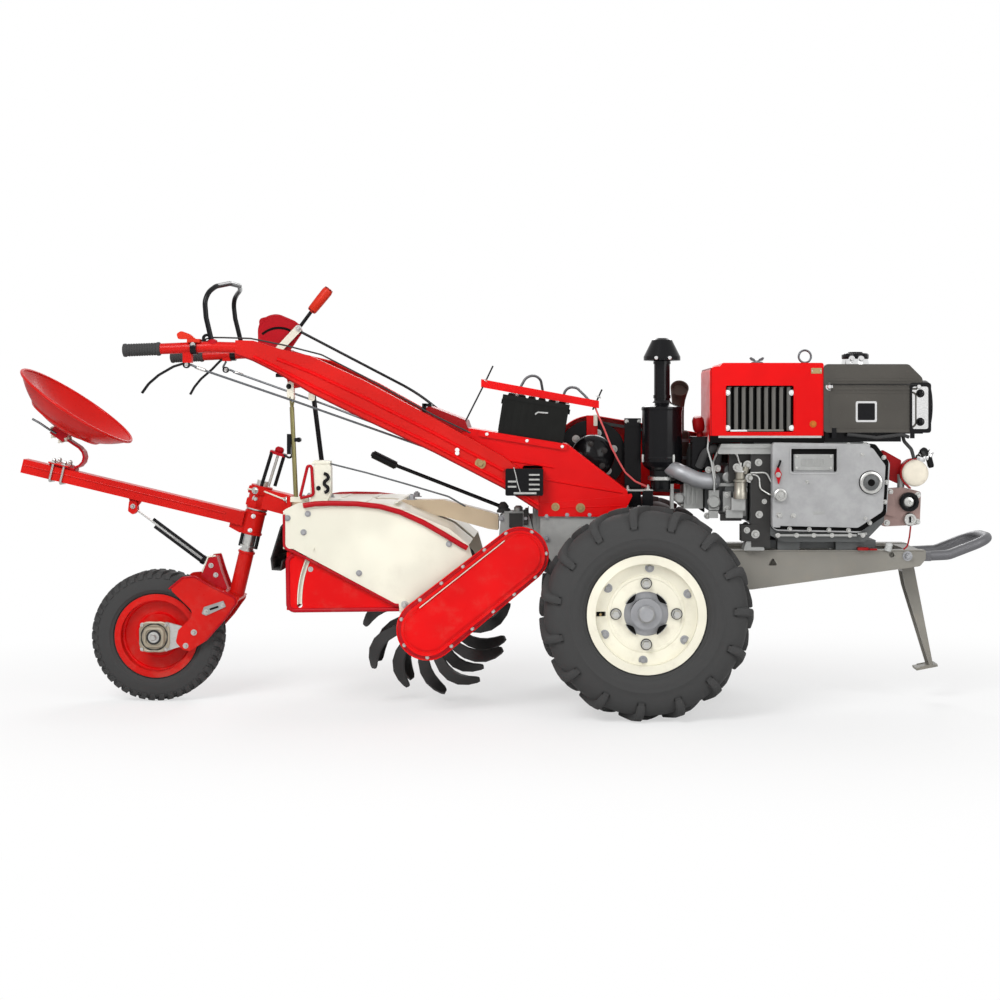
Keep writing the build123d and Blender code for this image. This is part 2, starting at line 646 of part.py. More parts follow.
def radiator_core():
    """Water tank and finned core inside the cowl, with the slats of both grilles."""
    right = COWL_RIGHT_Y + SHEET + GRILLE_DEPTH
    left = COWL_LEFT_Y - SHEET - GRILLE_DEPTH
    wall = 4.0
    core = block(COWL_REAR_X + 24, COWL_FRONT_X - 24, right, left,
                 COWL_BOTTOM_Z, COWL_TOP_Z - 26)
    core -= block(COWL_REAR_X + 24 + wall, COWL_FRONT_X - 24 - wall, right + wall, left - wall,
                  COWL_BOTTOM_Z + wall, COWL_TOP_Z - 26 - wall)
    x_low, x_high, z_low, z_high = GRILLE
    pitch = (x_high - x_low) / GRILLE_SLATS
    for index in range(GRILLE_SLATS):
        x = x_low + (index + 0.5) * pitch
        for y, turn in ((right - GRILLE_DEPTH / 2 + 3, 30), (left + GRILLE_DEPTH / 2 - 3, -30)):
            slat = Rot(0, 0, turn) * Box(4, GRILLE_DEPTH - 1, z_high - z_low - 12)
            core += Pos(x, y, (z_low + z_high) / 2) * slat
    return core


nodes["radiator_core"] = radiator_core()

TANK_REAR_X = COWL_FRONT_X + FIT
TANK_FRONT_X = AXLE_X + 858
TANK_BOTTOM_Z = ENGINE_TOP_Z + 30


def fuel_tank():
    """Pressed tank in two halves with a chamfered front and a seam bead."""
    top = COWL_TOP_Z - 4
    outline = [
        (TANK_REAR_X, TANK_BOTTOM_Z),
        (TANK_REAR_X, top),
        (TANK_FRONT_X - 43, top),
        (TANK_FRONT_X, top - 43),
        (TANK_FRONT_X, TANK_BOTTOM_Z),
    ]
    inner = [
        (TANK_REAR_X + THIN, TANK_BOTTOM_Z + THIN),
        (TANK_REAR_X + THIN, top - THIN),
        (TANK_FRONT_X - 44, top - THIN),
        (TANK_FRONT_X - THIN, top - 44),
        (TANK_FRONT_X - THIN, TANK_BOTTOM_Z + THIN),
    ]
    tank = side_solid(outline, [10, 14, 18, 18, 16], COWL_RIGHT_Y, COWL_LEFT_Y)
    tank -= side_solid(inner, [8, 12, 16, 16, 14], COWL_RIGHT_Y + THIN, COWL_LEFT_Y - THIN)
    seam_z = top - 62
    bead = block(TANK_REAR_X + 2, TANK_FRONT_X + 4, COWL_RIGHT_Y - 4, COWL_LEFT_Y + 4,
                 seam_z - 3, seam_z + 3)
    tank += bead - block(TANK_REAR_X + 8, TANK_FRONT_X - 1, COWL_RIGHT_Y + 1, COWL_LEFT_Y - 1,
                         seam_z - 4, seam_z + 4)
    filler = Pos(TANK_REAR_X + 124, -40, top) * Cylinder(
        38, 24, align=(Align.CENTER, Align.CENTER, Align.MIN))
    # two straps' feet stand on the engine
    for x in (TANK_REAR_X + 30, ENGINE_FRONT_X - 80):
        tank += block(x - 15, x + 15, -120, 100, ENGINE_TOP_Z + FIT, TANK_BOTTOM_Z + 1)
    return tank + filler


nodes["fuel_tank"] = fuel_tank()


def headlamp():
    """Round lamp on the front of the tank, its bowl turned about X."""
    face = TANK_FRONT_X + FIT
    z = TANK_BOTTOM_Z + 82
    profile = [(0, 0), (48, 0), (74, 22), (82, 34), (82, 50), (70, 58), (0, 66)]
    outline = make_face(Polyline(*profile, close=True))
    inside = [(0, THIN), (46, THIN), (72, 23), (79, 34), (79, 49), (68, 55), (0, 63)]
    plane = Plane(origin=(face, 0, z), x_dir=(0, 0, 1), z_dir=(0, 1, 0))
    axis = Axis((face, 0, z), (1, 0, 0))
    turned = revolve(plane * outline, axis=axis)
    return turned - revolve(plane * make_face(Polyline(*inside, close=True)), axis=axis)


nodes["headlamp"] = headlamp()


def fuel_filter():
    """Filter bowl and pump bracket ahead of the crankcase."""
    y = -150.0
    bracket = side_solid(
        [(ENGINE_FRONT_X + FIT, RAIL_TOP_Z + 110), (ENGINE_FRONT_X + 66, RAIL_TOP_Z + 70),
         (ENGINE_FRONT_X + 126, RAIL_TOP_Z + 90), (ENGINE_FRONT_X + 126, RAIL_TOP_Z + 200),
         (ENGINE_FRONT_X + FIT, RAIL_TOP_Z + 230)],
        [2, 12, 12, 20, 2], y + 8, y + 50)
    disc = y_cylinder(AXLE_X + 842, RAIL_TOP_Z + 238, 43, y - 20, y + 26)
    rings = y_cylinder(AXLE_X + 824, RAIL_TOP_Z + 149, 30, y - 14, y + 9)
    rings += y_cylinder(AXLE_X + 827, RAIL_TOP_Z + 95, 20, y - 10, y + 9)
    neck = y_cylinder(AXLE_X + 842, RAIL_TOP_Z + 238, 24, y + 25, y + 50)
    web = block(AXLE_X + 800, AXLE_X + 860, y + 30, y + 48, RAIL_TOP_Z + 180, RAIL_TOP_Z + 240)
    knob = bar((AXLE_X + 862, y + 4, RAIL_TOP_Z + 270), (AXLE_X + 886, y + 4, RAIL_TOP_Z + 316), 16)
    return bracket + disc + rings + neck + web + knob


nodes["fuel_filter"] = fuel_filter()


# ------------------------------------------------------- flywheel and belt drive
FLYWHEEL_Y = ENGINE_LEFT_Y + FIT
PULLEY_Y = ENGINE_LEFT_Y + 4 + FLYWHEEL_WIDTH
BELT_WIDTH = 12.0
BELT_PITCH = 16.0
BELT_COUNT = 3
BELT_THICKNESS = 9.0


def grooved_pulley(x, z, radius, y_low, dish):
    """Pulley with one groove a belt and a dished web."""
    y_high = y_low + PULLEY_WIDTH
    wheel = y_cylinder(x, z, radius, y_low, y_high)
    for index in range(BELT_COUNT):
        middle = y_low + PULLEY_WIDTH / 2 + (index - 1) * BELT_PITCH
        half = BELT_WIDTH / 2 + FIT
        wheel -= y_ring(x, z, radius + 1, radius - BELT_THICKNESS - FIT, middle - half, middle + half)
    wheel -= y_cylinder(x, z, radius - BELT_THICKNESS - dish, y_high - 16, y_high + 1)
    return wheel


def flywheel():
    """Heavy rim and web on the crankshaft, with the engine's belt pulley."""
    rim = y_cylinder(CRANK_X, CRANK_Z, FLYWHEEL_RADIUS, FLYWHEEL_Y + 4, PULLEY_Y)
    rim -= y_cylinder(CRANK_X, CRANK_Z, FLYWHEEL_RADIUS - 40, PULLEY_Y - 18, PULLEY_Y + 1)
    hub = y_cylinder(CRANK_X, CRANK_Z, 50, FLYWHEEL_Y, PULLEY_Y)
    return rim + hub + grooved_pulley(CRANK_X, CRANK_Z, ENGINE_PULLEY_RADIUS, PULLEY_Y, 12)


nodes["flywheel"] = flywheel()


def clutch_pulley():
    """Belt clutch on the transmission's input shaft."""
    pulley = grooved_pulley(CLUTCH_X, CLUTCH_Z, CLUTCH_PULLEY_RADIUS, PULLEY_Y, 16)
    hub = y_cylinder(CLUTCH_X, CLUTCH_Z, 34, BELT_INNER_Y - 30 + FIT, PULLEY_Y)
    cover = y_cylinder(CLUTCH_X, CLUTCH_Z, 44, PULLEY_Y + PULLEY_WIDTH - 17,
                       PULLEY_Y + PULLEY_WIDTH + 4)
    return pulley + hub + cover


nodes["clutch_pulley"] = clutch_pulley()


def hull_face(circles, y):
    """Face round two circles given as (x, z, radius) rows."""
    edges = [Pos(x, z) * Edge.make_circle(radius) for x, z, radius in circles]
    return side_plane(y) * make_hull(edges)


def drive_belts():
    """Loops of belt from the engine's pulley to the clutch, one in each groove."""
    inner = [(CRANK_X, CRANK_Z, ENGINE_PULLEY_RADIUS - BELT_THICKNESS),
             (CLUTCH_X, CLUTCH_Z, CLUTCH_PULLEY_RADIUS - BELT_THICKNESS)]
    outer = [(x, z, radius + BELT_THICKNESS + 1) for x, z, radius in inner]
    loops = Part()
    for index in range(BELT_COUNT):
        high = PULLEY_Y + PULLEY_WIDTH / 2 + (index - 1) * BELT_PITCH + BELT_WIDTH / 2
        loop = extrude(hull_face(outer, high), amount=BELT_WIDTH)
        loop -= extrude(hull_face(inner, high + 1), amount=BELT_WIDTH + 2)
        loops += loop
    return loops


nodes["drive_belts"] = drive_belts()


def belt_guard():
    """Sheet guard over the belts: an outer plate and a rim round its top."""
    gap = 14.0
    outer = [(CRANK_X, CRANK_Z, ENGINE_PULLEY_RADIUS + gap + SHEET),
             (CLUTCH_X, CLUTCH_Z, CLUTCH_PULLEY_RADIUS + gap + SHEET)]
    inner = [(x, z, radius - SHEET) for x, z, radius in outer]
    y_high = PULLEY_Y + PULLEY_WIDTH + 10
    y_low = PULLEY_Y + 4
    guard = extrude(hull_face(outer, y_high), amount=y_high - y_low)
    guard -= extrude(hull_face(inner, y_high - SHEET), amount=y_high - y_low)
    # window over the clutch, and the lower half of the rim is open
    guard -= y_cylinder(CLUTCH_X, CLUTCH_Z, 68, y_high - 12, y_high + 1)
    guard -= block(CLUTCH_X - 20, CRANK_X - 60, y_low - 1, y_high - SHEET - 2,
                   CLUTCH_Z - 190, CLUTCH_Z - 60)
    # two brackets: one bolted on the clutch housing, one on the cowl's side
    rim_z = CLUTCH_Z + CLUTCH_PULLEY_RADIUS + gap
    half, plate = 18.0, 6.0
    foot_y = BELT_INNER_Y - 38
    guard += block(CLUTCH_X - half, CLUTCH_X + half, foot_y, foot_y + plate,
                   CLUTCH_Z + CLUTCH_HOUSING_RADIUS + FIT, rim_z + SHEET)
    guard += block(CLUTCH_X - half, CLUTCH_X + half, foot_y, y_low + 1, rim_z - 2, rim_z + SHEET)
    cowl_x = COWL_REAR_X + 60
    share = (cowl_x - CLUTCH_X) / (CRANK_X - CLUTCH_X)
    line_z = CLUTCH_Z + share * (CRANK_Z - CLUTCH_Z)
    line_radius = outer[1][2] + share * (outer[0][2] - outer[1][2])
    rim_z = line_z + line_radius
    guard += block(cowl_x - half, cowl_x + half, COWL_LEFT_Y + FIT, y_low + 1,
                   rim_z - plate, rim_z)
    return guard


nodes["belt_guard"] = belt_guard()

# ---------------------------------------------------------------------- console
LEDGE_REAR = (AXLE_X - 578, AXLE_Z + 553)
LEDGE_FRONT = (AXLE_X - 233, AXLE_Z + 497)
SLOPE_FRONT = (AXLE_X - 44, AXLE_Z + 352)
CONSOLE_FLOOR = case_shoulder_z + FIT


def console():
    """Pressed cover over the gear housing, open below and at the rear."""
    outline = [
        LEDGE_REAR,
        LEDGE_FRONT,
        SLOPE_FRONT,
        (AXLE_X - 44, AXLE_Z + 320),
        (AXLE_X - 112, CONSOLE_FLOOR),
        (CASE_REAR_X + 8, CONSOLE_FLOOR),
        (AXLE_X - 560, AXLE_Z + 492),
    ]
    cover = side_solid(outline, [6, 16, 10, 6, 4, 4, 4], -CONSOLE_HALF, CONSOLE_HALF)
    inner = [
        (LEDGE_REAR[0] - 60, LEDGE_REAR[1] + 10 - SHEET),
        (LEDGE_FRONT[0] - 4, LEDGE_FRONT[1] - SHEET - 3),
        (SLOPE_FRONT[0] - 8, SLOPE_FRONT[1] - 6),
        (SLOPE_FRONT[0] - 8, CONSOLE_FLOOR - 1),
        (CASE_REAR_X - 160, CONSOLE_FLOOR - 1),
    ]
    cover -= side_solid(inner, 3, -CONSOLE_HALF + SHEET, CONSOLE_HALF - SHEET)
    cover -= side_solid(
        [(CASE_REAR_X - 60, AXLE_Z + 430), (CASE_REAR_X + 8, AXLE_Z + 430),
         (CASE_REAR_X + 8, AXLE_Z + 345), (CASE_REAR_X - 18, AXLE_Z + 345)],
        8, -CONSOLE_HALF - 1, -CONSOLE_HALF + SHEET + 1)
    gap = 5.0
    cover -= block(CLUTCH_X - CLUTCH_HOUSING_RADIUS - gap, CLUTCH_X + CLUTCH_HOUSING_RADIUS + gap,
                   clutch_y[0] - gap, CONSOLE_HALF + 1, AXLE_Z + 380, CLUTCH_Z + 80)
    # rolled lip along the tray's edge
    lip_drop = 20.0
    share = 0.2
    lip_rear = (LEDGE_REAR[0] + share * (LEDGE_FRONT[0] - LEDGE_REAR[0]),
                LEDGE_REAR[1] + share * (LEDGE_FRONT[1] - LEDGE_REAR[1]))
    lip = [
        lip_rear,
        LEDGE_FRONT,
        (LEDGE_FRONT[0], LEDGE_FRONT[1] - lip_drop),
        (lip_rear[0], lip_rear[1] - lip_drop),
    ]
    for sign in (-1, 1):
        low, high = sorted((sign * CONSOLE_HALF, sign * (CONSOLE_HALF + 8)))
        cover += side_solid(lip, 5, low, high)
    return cover


nodes["gearbox_console"] = console()

TRAY_ANGLE = degrees(atan2(LEDGE_REAR[1] - LEDGE_FRONT[1], LEDGE_FRONT[0] - LEDGE_REAR[0]))
TRAY_FRAME = Plane(origin=(LEDGE_REAR[0], 0, LEDGE_REAR[1]),
                   x_dir=(cos(radians(TRAY_ANGLE)), 0, -sin(radians(TRAY_ANGLE))),
                   z_dir=(0, -1, 0))
BATTERY_LENGTH = 206.0
BATTERY_HEIGHT = 122.0
BATTERY_HALF_WIDTH = 88.0
BATTERY_REAR = 130.0        # from the tray's rear end


def tray_block(x_low, x_high, y_low, y_high, up_low, up_high):
    """Block that stands square on the sloping battery tray."""
    size = (x_high - x_low, up_high - up_low, y_high - y_low)
    corner = Pos(x_low, up_low, -y_high)
    return TRAY_FRAME * corner * Box(*size, align=(Align.MIN, Align.MIN, Align.MIN))


def battery():
    """Battery case with a lid flange and two posts."""
    case = tray_block(BATTERY_REAR, BATTERY_REAR + BATTERY_LENGTH, -BATTERY_HALF_WIDTH,
                      BATTERY_HALF_WIDTH, FIT, BATTERY_HEIGHT - 14)
    lid = tray_block(BATTERY_REAR - 3, BATTERY_REAR + BATTERY_LENGTH + 3, -BATTERY_HALF_WIDTH - 3,
                     BATTERY_HALF_WIDTH + 3, BATTERY_HEIGHT - 14, BATTERY_HEIGHT)
    for x in (BATTERY_REAR + 30, BATTERY_REAR + BATTERY_LENGTH - 30):
        post = TRAY_FRAME * Pos(x, BATTERY_HEIGHT + 8, -30) * Rot(90, 0, 0) * Cylinder(9, 16)
        lid += post
    return case + lid


nodes["battery"] = battery()


CLAMP_LOW = BATTERY_HEIGHT + FIT
CLAMP_HIGH = BATTERY_HEIGHT + 24
CLAMP_ROD_RADIUS = 4.0
CLAMP_ROD_ABOVE = 34.0
CLAMP_RODS_X = (BATTERY_REAR - 40, BATTERY_REAR + BATTERY_LENGTH + 11)


def clamp_rod(x, low, high, radius):
    """Upright bar on the tray's plane, in line with the clamp."""
    start = TRAY_FRAME.from_local_coords(Vector(x, low, 64))
    end = TRAY_FRAME.from_local_coords(Vector(x, high, 64))
    return bar(start, end, radius)


def battery_clamp():
    """Flat bar across the battery's top, pierced by the rods that hold it down."""
    clamp = tray_block(BATTERY_REAR - 52, BATTERY_REAR + BATTERY_LENGTH + 96, -72, -56,
                       CLAMP_LOW, CLAMP_HIGH)
    for x in CLAMP_RODS_X:
        clamp -= clamp_rod(x, CLAMP_LOW - 5, CLAMP_HIGH + 5, CLAMP_ROD_RADIUS + FIT)
    return clamp


nodes["battery_clamp"] = battery_clamp()


def battery_rods():
    """Two threaded rods from the tray through the clamp, each with its nut."""
    rods = Part()
    for x in CLAMP_RODS_X:
        rods += clamp_rod(x, FIT, CLAMP_HIGH + CLAMP_ROD_ABOVE, CLAMP_ROD_RADIUS)
        rods += clamp_rod(x, CLAMP_HIGH + FIT, CLAMP_HIGH + 8, CLAMP_ROD_RADIUS + 5)
    return rods


nodes["battery_rods"] = battery_rods()

# -------------------------------------------------------------------- handlebar
# Stations of one arm from the console to the grip tube:
# (x from the axle, y share of the way out to the grip, underside above the axle, depth, width)
ARM_STATIONS = [
    (-322, 0.00, 292, 84, ARM_BASE_WIDTH),
    (-430, 0.05, 362, 96, ARM_BASE_WIDTH),
    (-640, 0.20, 472, 104, 32),
    (-855, 0.42, 576, 118, 34),
    (-1011, 0.60, 655, 112, 36),
    (-1110, 0.72, 716, 74, 36),
    (-1180, 0.80, 752, 60, 35),
    (-1232, 0.85, 771, 42, 34),
]
ARM_WALL = 5.0
GRIP_TUBE_RADIUS = 16.5
GRIP_TUBE_Z = AXLE_Z + 789


def arm_y(share):
    """Distance of an arm's middle from the centre plane."""
    return BASE_SPAN / 2 + share * (GRIP_SPAN - BASE_SPAN) / 2


GRIP_TIP = Vector(-GRIP_REACH, -GRIP_SPAN / 2, GRIP_TUBE_Z - 7)
GRIP_KNEE = Vector(AXLE_X - 1312, -GRIP_SPAN / 2 + 12, GRIP_TUBE_Z + 4)
GRIP_LINE = (GRIP_KNEE - GRIP_TIP).normalized()
GRIP_CAP = 5.0
GRIP_WALL = 5.0


def grip_z(x):
    """Height of the grip tube's middle line at an x."""
    return GRIP_TIP.Z + (x - GRIP_TIP.X) * GRIP_LINE.Z / GRIP_LINE.X


def handlebar():
    """Two pressed arms that sweep out to the grip tubes, tied by cross tubes."""
    sections, hollows = [], []
    for back, share, under, depth, width in ARM_STATIONS:
        plane = Plane(origin=(AXLE_X + back, -arm_y(share), AXLE_Z + under + depth / 2),
                      x_dir=(0, 1, 0), z_dir=(-1, 0, 0))
        sections.append(plane * Rectangle(width, depth))
        hollows.append(plane * Pos(ARM_WALL, 0) * Rectangle(width, depth - 2 * ARM_WALL))
    arm = loft(sections, ruled=True)
    first_x = AXLE_X + ARM_STATIONS[0][0]
    last_x = AXLE_X + ARM_STATIONS[-1][0]
    last_y = -arm_y(ARM_STATIONS[-1][1])
    # pressed channel, open towards the centre plane, solid where the strut is bolted
    channel = loft(hollows, ruled=True)
    arm -= channel & block(last_x + 165, first_x - 8, -GRIP_SPAN, 0, AXLE_Z, AXLE_Z + 900)
    start = (last_x + 8, last_y, AXLE_Z + 791)
    end = GRIP_TIP + GRIP_LINE * (GRIP_CAP + FIT)
    bore_end = GRIP_TIP + GRIP_LINE * 30
    arm += bent_bar([start, GRIP_KNEE, end], 120, GRIP_TUBE_RADIUS)
    arm -= bar(GRIP_KNEE - GRIP_LINE * 14, bore_end, GRIP_TUBE_RADIUS - SHEET)
    frame = both_sides(arm)
    # cross tubes: (x from the axle, height above the axle, radius, share of the way out)
    ties = [(-655, 524, 14, 0.20), (-1150, 770, 13, 0.766)]
    for back, up, radius, share in ties:
        half = arm_y(share) + 15
        frame += y_cylinder(AXLE_X + back, AXLE_Z + up, radius, -half, half)
    return frame


nodes["handlebar_frame"] = handlebar()


def hand_grips():
    """Ribbed rubber grips over the ends of the tubes."""
    length = 112.0
    end = GRIP_TIP + GRIP_LINE * length
    cap_end = GRIP_TIP + GRIP_LINE * GRIP_CAP
    radius = GRIP_TUBE_RADIUS + GRIP_WALL
    grip = tube_bar(GRIP_TIP, end, radius, GRIP_TUBE_RADIUS + FIT)
    grip += bar(GRIP_TIP, cap_end, radius)
    return both_sides(grip)


nodes["hand_grips"] = hand_grips()


def guard_hoop():
    """Bent rod hoop across the handlebar, ahead of the grips."""
    x = AXLE_X - 1300
    foot_y = arm_y(0.93) - GRIP_TUBE_RADIUS - 14
    foot_z = AXLE_Z + 800
    shoulder = AXLE_Z + 985
    right = [(x, -foot_y, foot_z), (x - 14, -foot_y, shoulder - 60), (x - 4, -foot_y + 12, shoulder)]
    crown = (x + 6, 0, shoulder + 16)
    left = [(px, -py, pz) for px, py, pz in reversed(right)]
    hoop = bent_bar(right + [crown] + left, [60, 34, 300, 34, 60], 7)
    for sign in (-1, 1):
        low, high = sorted((sign * (foot_y - 10), sign * (foot_y + 9.3)))
        hoop += block(x - 16, x + 16, low, high, foot_z - 26, foot_z + 14)
    return hoop


nodes["guard_hoop"] = guard_hoop()


def steering_controls():
    """Steering-clutch levers under the grips with their long pull rods."""
    y = -arm_y(0.93)
    pivot = (AXLE_X - 1376, AXLE_Z + 750)
    blade_line = [
        (AXLE_X - 1350, AXLE_Z + 742),
        pivot,
        (AXLE_X - 1448, AXLE_Z + 722),
        (AXLE_X - 1514, AXLE_Z + 664),
        (AXLE_X - 1508, AXLE_Z + 656),
        (AXLE_X - 1442, AXLE_Z + 708),
        (AXLE_X - 1378, AXLE_Z + 732),
        (AXLE_X - 1350, AXLE_Z + 728),
    ]
    blade = side_solid(blade_line, [3, 6, 30, 3, 3, 30, 6, 3], y - 7, y + 7)
    hanger = block(pivot[0] - 10, pivot[0] + 12, y - 12, y + 12, pivot[1] - 2,
                   grip_z(pivot[0] - 10) - GRIP_TUBE_RADIUS - FIT)
    rod_rear = (AXLE_X - 1354, y, AXLE_Z + 735)
    rod_bend = (AXLE_X - 1033, y + 48, AXLE_Z + 620)
    rod_end = (AXLE_X - 330, -CONSOLE_HALF + 60, AXLE_Z + 362)
    rod = bent_bar([rod_rear, rod_bend, rod_end], 300, 4.5)
    return both_sides(blade + hanger + rod)


nodes["steering_controls"] = steering_controls()


def throttle():
    """Thumb throttle on the right grip tube."""
    x, y = AXLE_X - 1395, -GRIP_SPAN / 2 + 8
    top = grip_z(x + 34) + GRIP_TUBE_RADIUS
    clamp = block(x + 8, x + 34, y - 20, y + 20, top + FIT, top + 16)
    lever = side_solid(
        [(x - 34, top + 28), (x - 38, top + 42), (x - 8, top + 44), (x + 30, top + 16), (x + 8, top + 8)],
        [4, 8, 10, 4, 4], y - 8, y + 8)
    return clamp + lever


nodes["throttle_lever"] = throttle()

QUADRANT_Y = 168.0


def clutch_quadrant():
    """Flat quadrant plate on the left arm with its stand-off bracket."""
    plate = side_solid(
        [(AXLE_X - 1247, AXLE_Z + 905), (AXLE_X - 1188, AXLE_Z + 918), (AXLE_X - 1112, AXLE_Z + 886),
         (AXLE_X - 1106, AXLE_Z + 856), (AXLE_X - 1150, AXLE_Z + 792),
         (AXLE_X - 1240, AXLE_Z + 800)],
        [14, 30, 10, 10, 12, 12], QUADRANT_Y, QUADRANT_Y + 8)
    inner_face = arm_y(0.756) - 18 - FIT
    bracket = block(AXLE_X - 1190, AXLE_X - 1142, QUADRANT_Y + 7, inner_face, AXLE_Z + 788,
                    AXLE_Z + 802)
    return plate + bracket


nodes["clutch_quadrant"] = clutch_quadrant()


def clutch_lever():
    """Main clutch lever with its round grip and the rod to the gear housing."""
    y = QUADRANT_Y - 12
    plate = side_solid(
        [(AXLE_X - 1120, AXLE_Z + 882), (AXLE_X - 1104, AXLE_Z + 866), (AXLE_X - 1184, AXLE_Z + 782),
         (AXLE_X - 1200, AXLE_Z + 796)],
        6, y, y + 12 - FIT)
    rod = bar((AXLE_X - 1116, y + 6, AXLE_Z + 870), (AXLE_X - 1070, y + 6, AXLE_Z + 932), 6)
    grip = bar((AXLE_X - 1072, y + 6, AXLE_Z + 930), (AXLE_X - 1014, y + 6, AXLE_Z + 1002), 15)
    pull = bent_bar([(AXLE_X - 1110, y + 6, AXLE_Z + 862), (AXLE_X - 720, y - 40, AXLE_Z + 660),
                     (LEDGE_REAR[0] - 30, CONSOLE_HALF - 40, LEDGE_REAR[1] + 20),
                     (LEDGE_REAR[0] + 44, CONSOLE_HALF - 40, LEDGE_REAR[1] - 60)], [400, 60], 4.5)
    return plate + rod + grip + pull


nodes["clutch_lever"] = clutch_lever()

# ------------------------------------------------------------------ rotary tiller
# Cross shaft of the tiller: as close behind the tyres as the chain case allows
CROSS_Z = AXLE_Z + 168
CASE_CLEAR = TYRE_RADIUS + CASE_HALF_BREADTH + 12
CROSS_X = AXLE_X - sqrt(CASE_CLEAR ** 2 - (CROSS_Z - AXLE_Z) ** 2)
ROTOR_X = CROSS_X - 278
HOOD_HALF = HOOD_WIDTH / 2
CASE_INNER_Y = HOOD_HALF + FIT
HOOD_REAR_X = ROTOR_X - 438
NECK_RADIUS = 27.0


def tiller_gearcase():
    """Neck from the transmission and gear casing with the tube of the cross shaft."""
    flange_x = CASE_REAR_X - 12 - FIT
    flange = block(flange_x - 12, flange_x, -46, 46, PTO_Z - 46, PTO_Z + 46)
    neck = bar((CROSS_X - 60, 0, PTO_Z), (flange_x - 6, 0, PTO_Z), NECK_RADIUS)
    casing = side_solid(
        [(CROSS_X - 64, CROSS_Z - 50), (CROSS_X + 34, CROSS_Z - 56), (CROSS_X + 44, CROSS_Z + 20),
         (CROSS_X + 20, PTO_Z + 30), (CROSS_X - 66, PTO_Z + 30), (CROSS_X - 76, CROSS_Z + 20)],
        [30, 30, 16, 14, 14, 16], -54, 54)
    tube = y_cylinder(CROSS_X, CROSS_Z, ARM_TUBE_RADIUS, -CASE_INNER_Y + FIT, CASE_INNER_Y - FIT)
    return flange + neck + casing + tube


nodes["tiller_gearcase"] = tiller_gearcase()

BEAM_HALF_WIDTH = 34.0
BEAM_DEPTH = 50.0
BEAM_TOP_Z = HOOD_TOP_Z - SHEET - FIT
BEAM_REAR_X = HOOD_REAR_X - 14


def tiller_beam():
    """Backbone from the gear casing, under the hood's top, to the tail bracket."""
    front_x = CROSS_X - 76 - FIT
    outline = [
        (front_x, PTO_Z - 24),
        (front_x, PTO_Z + 24),
        (front_x - 30, PTO_Z + 34),
        (ROTOR_X + 30, BEAM_TOP_Z),
        (BEAM_REAR_X, BEAM_TOP_Z),
        (BEAM_REAR_X, BEAM_TOP_Z - BEAM_DEPTH),
        (ROTOR_X + 20, BEAM_TOP_Z - BEAM_DEPTH),
        (front_x - 30, PTO_Z - 20),
    ]
    return side_solid(outline, [2, 2, 10, 60, 4, 4, 60, 10], -BEAM_HALF_WIDTH, BEAM_HALF_WIDTH)


nodes["tiller_beam"] = tiller_beam()


def racetrack(ends, half, y_low, y_high):
    """Slab round a line of two (x, z) ends."""
    circles = [(x, z, half) for x, z in ends]
    return extrude(hull_face(circles, y_high), amount=y_high - y_low)


CASE_ENDS = [(CROSS_X, CROSS_Z), (ROTOR_X, ROTOR_Z)]
ROTOR_SHAFT_RADIUS = 24.0
CASE_BOSS = 16.0


def chain_case():
    """Closed chain casing with a raised flange, its lower end holds the rotor."""
    outer_y = -CASE_INNER_Y - CHAIN_CASE_DEPTH
    case = racetrack(CASE_ENDS, CASE_HALF_BREADTH - 8, outer_y, -CASE_INNER_Y)
    case += racetrack(CASE_ENDS, CASE_HALF_BREADTH, outer_y + 10, outer_y + 22)
    case += racetrack(CASE_ENDS, CASE_HALF_BREADTH - 20, outer_y - 6, outer_y + 1)
    boss_y = -CASE_INNER_Y + CASE_BOSS
    case += y_cylinder(ROTOR_X, ROTOR_Z, 44, -CASE_INNER_Y - 1, boss_y)
    case -= y_cylinder(ROTOR_X, ROTOR_Z, ROTOR_SHAFT_RADIUS + 1, -CASE_INNER_Y - 20, boss_y + 1)
    return case


nodes["chain_case"] = chain_case()


def left_arm():
    """Plain arm that carries the rotor's left end."""
    arm = racetrack(CASE_ENDS, 52, CASE_INNER_Y, CASE_INNER_Y + 14)
    boss_y = CASE_INNER_Y - CASE_BOSS
    arm += y_cylinder(ROTOR_X, ROTOR_Z, 44, boss_y, CASE_INNER_Y + 34)
    arm -= y_cylinder(ROTOR_X, ROTOR_Z, ROTOR_SHAFT_RADIUS + 1, boss_y - 1, CASE_INNER_Y + 20)
    return arm


nodes["rotor_arm"] = left_arm()

APRON_PIVOT = (ROTOR_X - 72, ROTOR_Z + 81)
hood_low_z = AXLE_Z + 184
# hood's upper line from the rear edge to the front lip: (x from the rotor, z from the axle, bend)
HOOD_LINE = [
    (-438, 184, 0),
    (-438, 300, 14),
    (-395, 322, 40),
    (-120, 322, 130),
    (62, 246, 60),
    (122, 196, 0),
]


def hood_points(inset):
    """The hood's upper line, moved inwards by a wall."""
    shifts = [(1, 0), (1, -0.6), (0.3, -1), (-0.2, -1), (-0.6, -0.9), (-0.9, -0.5)]
    return [
        (ROTOR_X + x + inset * sx, AXLE_Z + z + inset * sz)
        for (x, z, _), (sx, sz) in zip(HOOD_LINE, shifts)
    ]


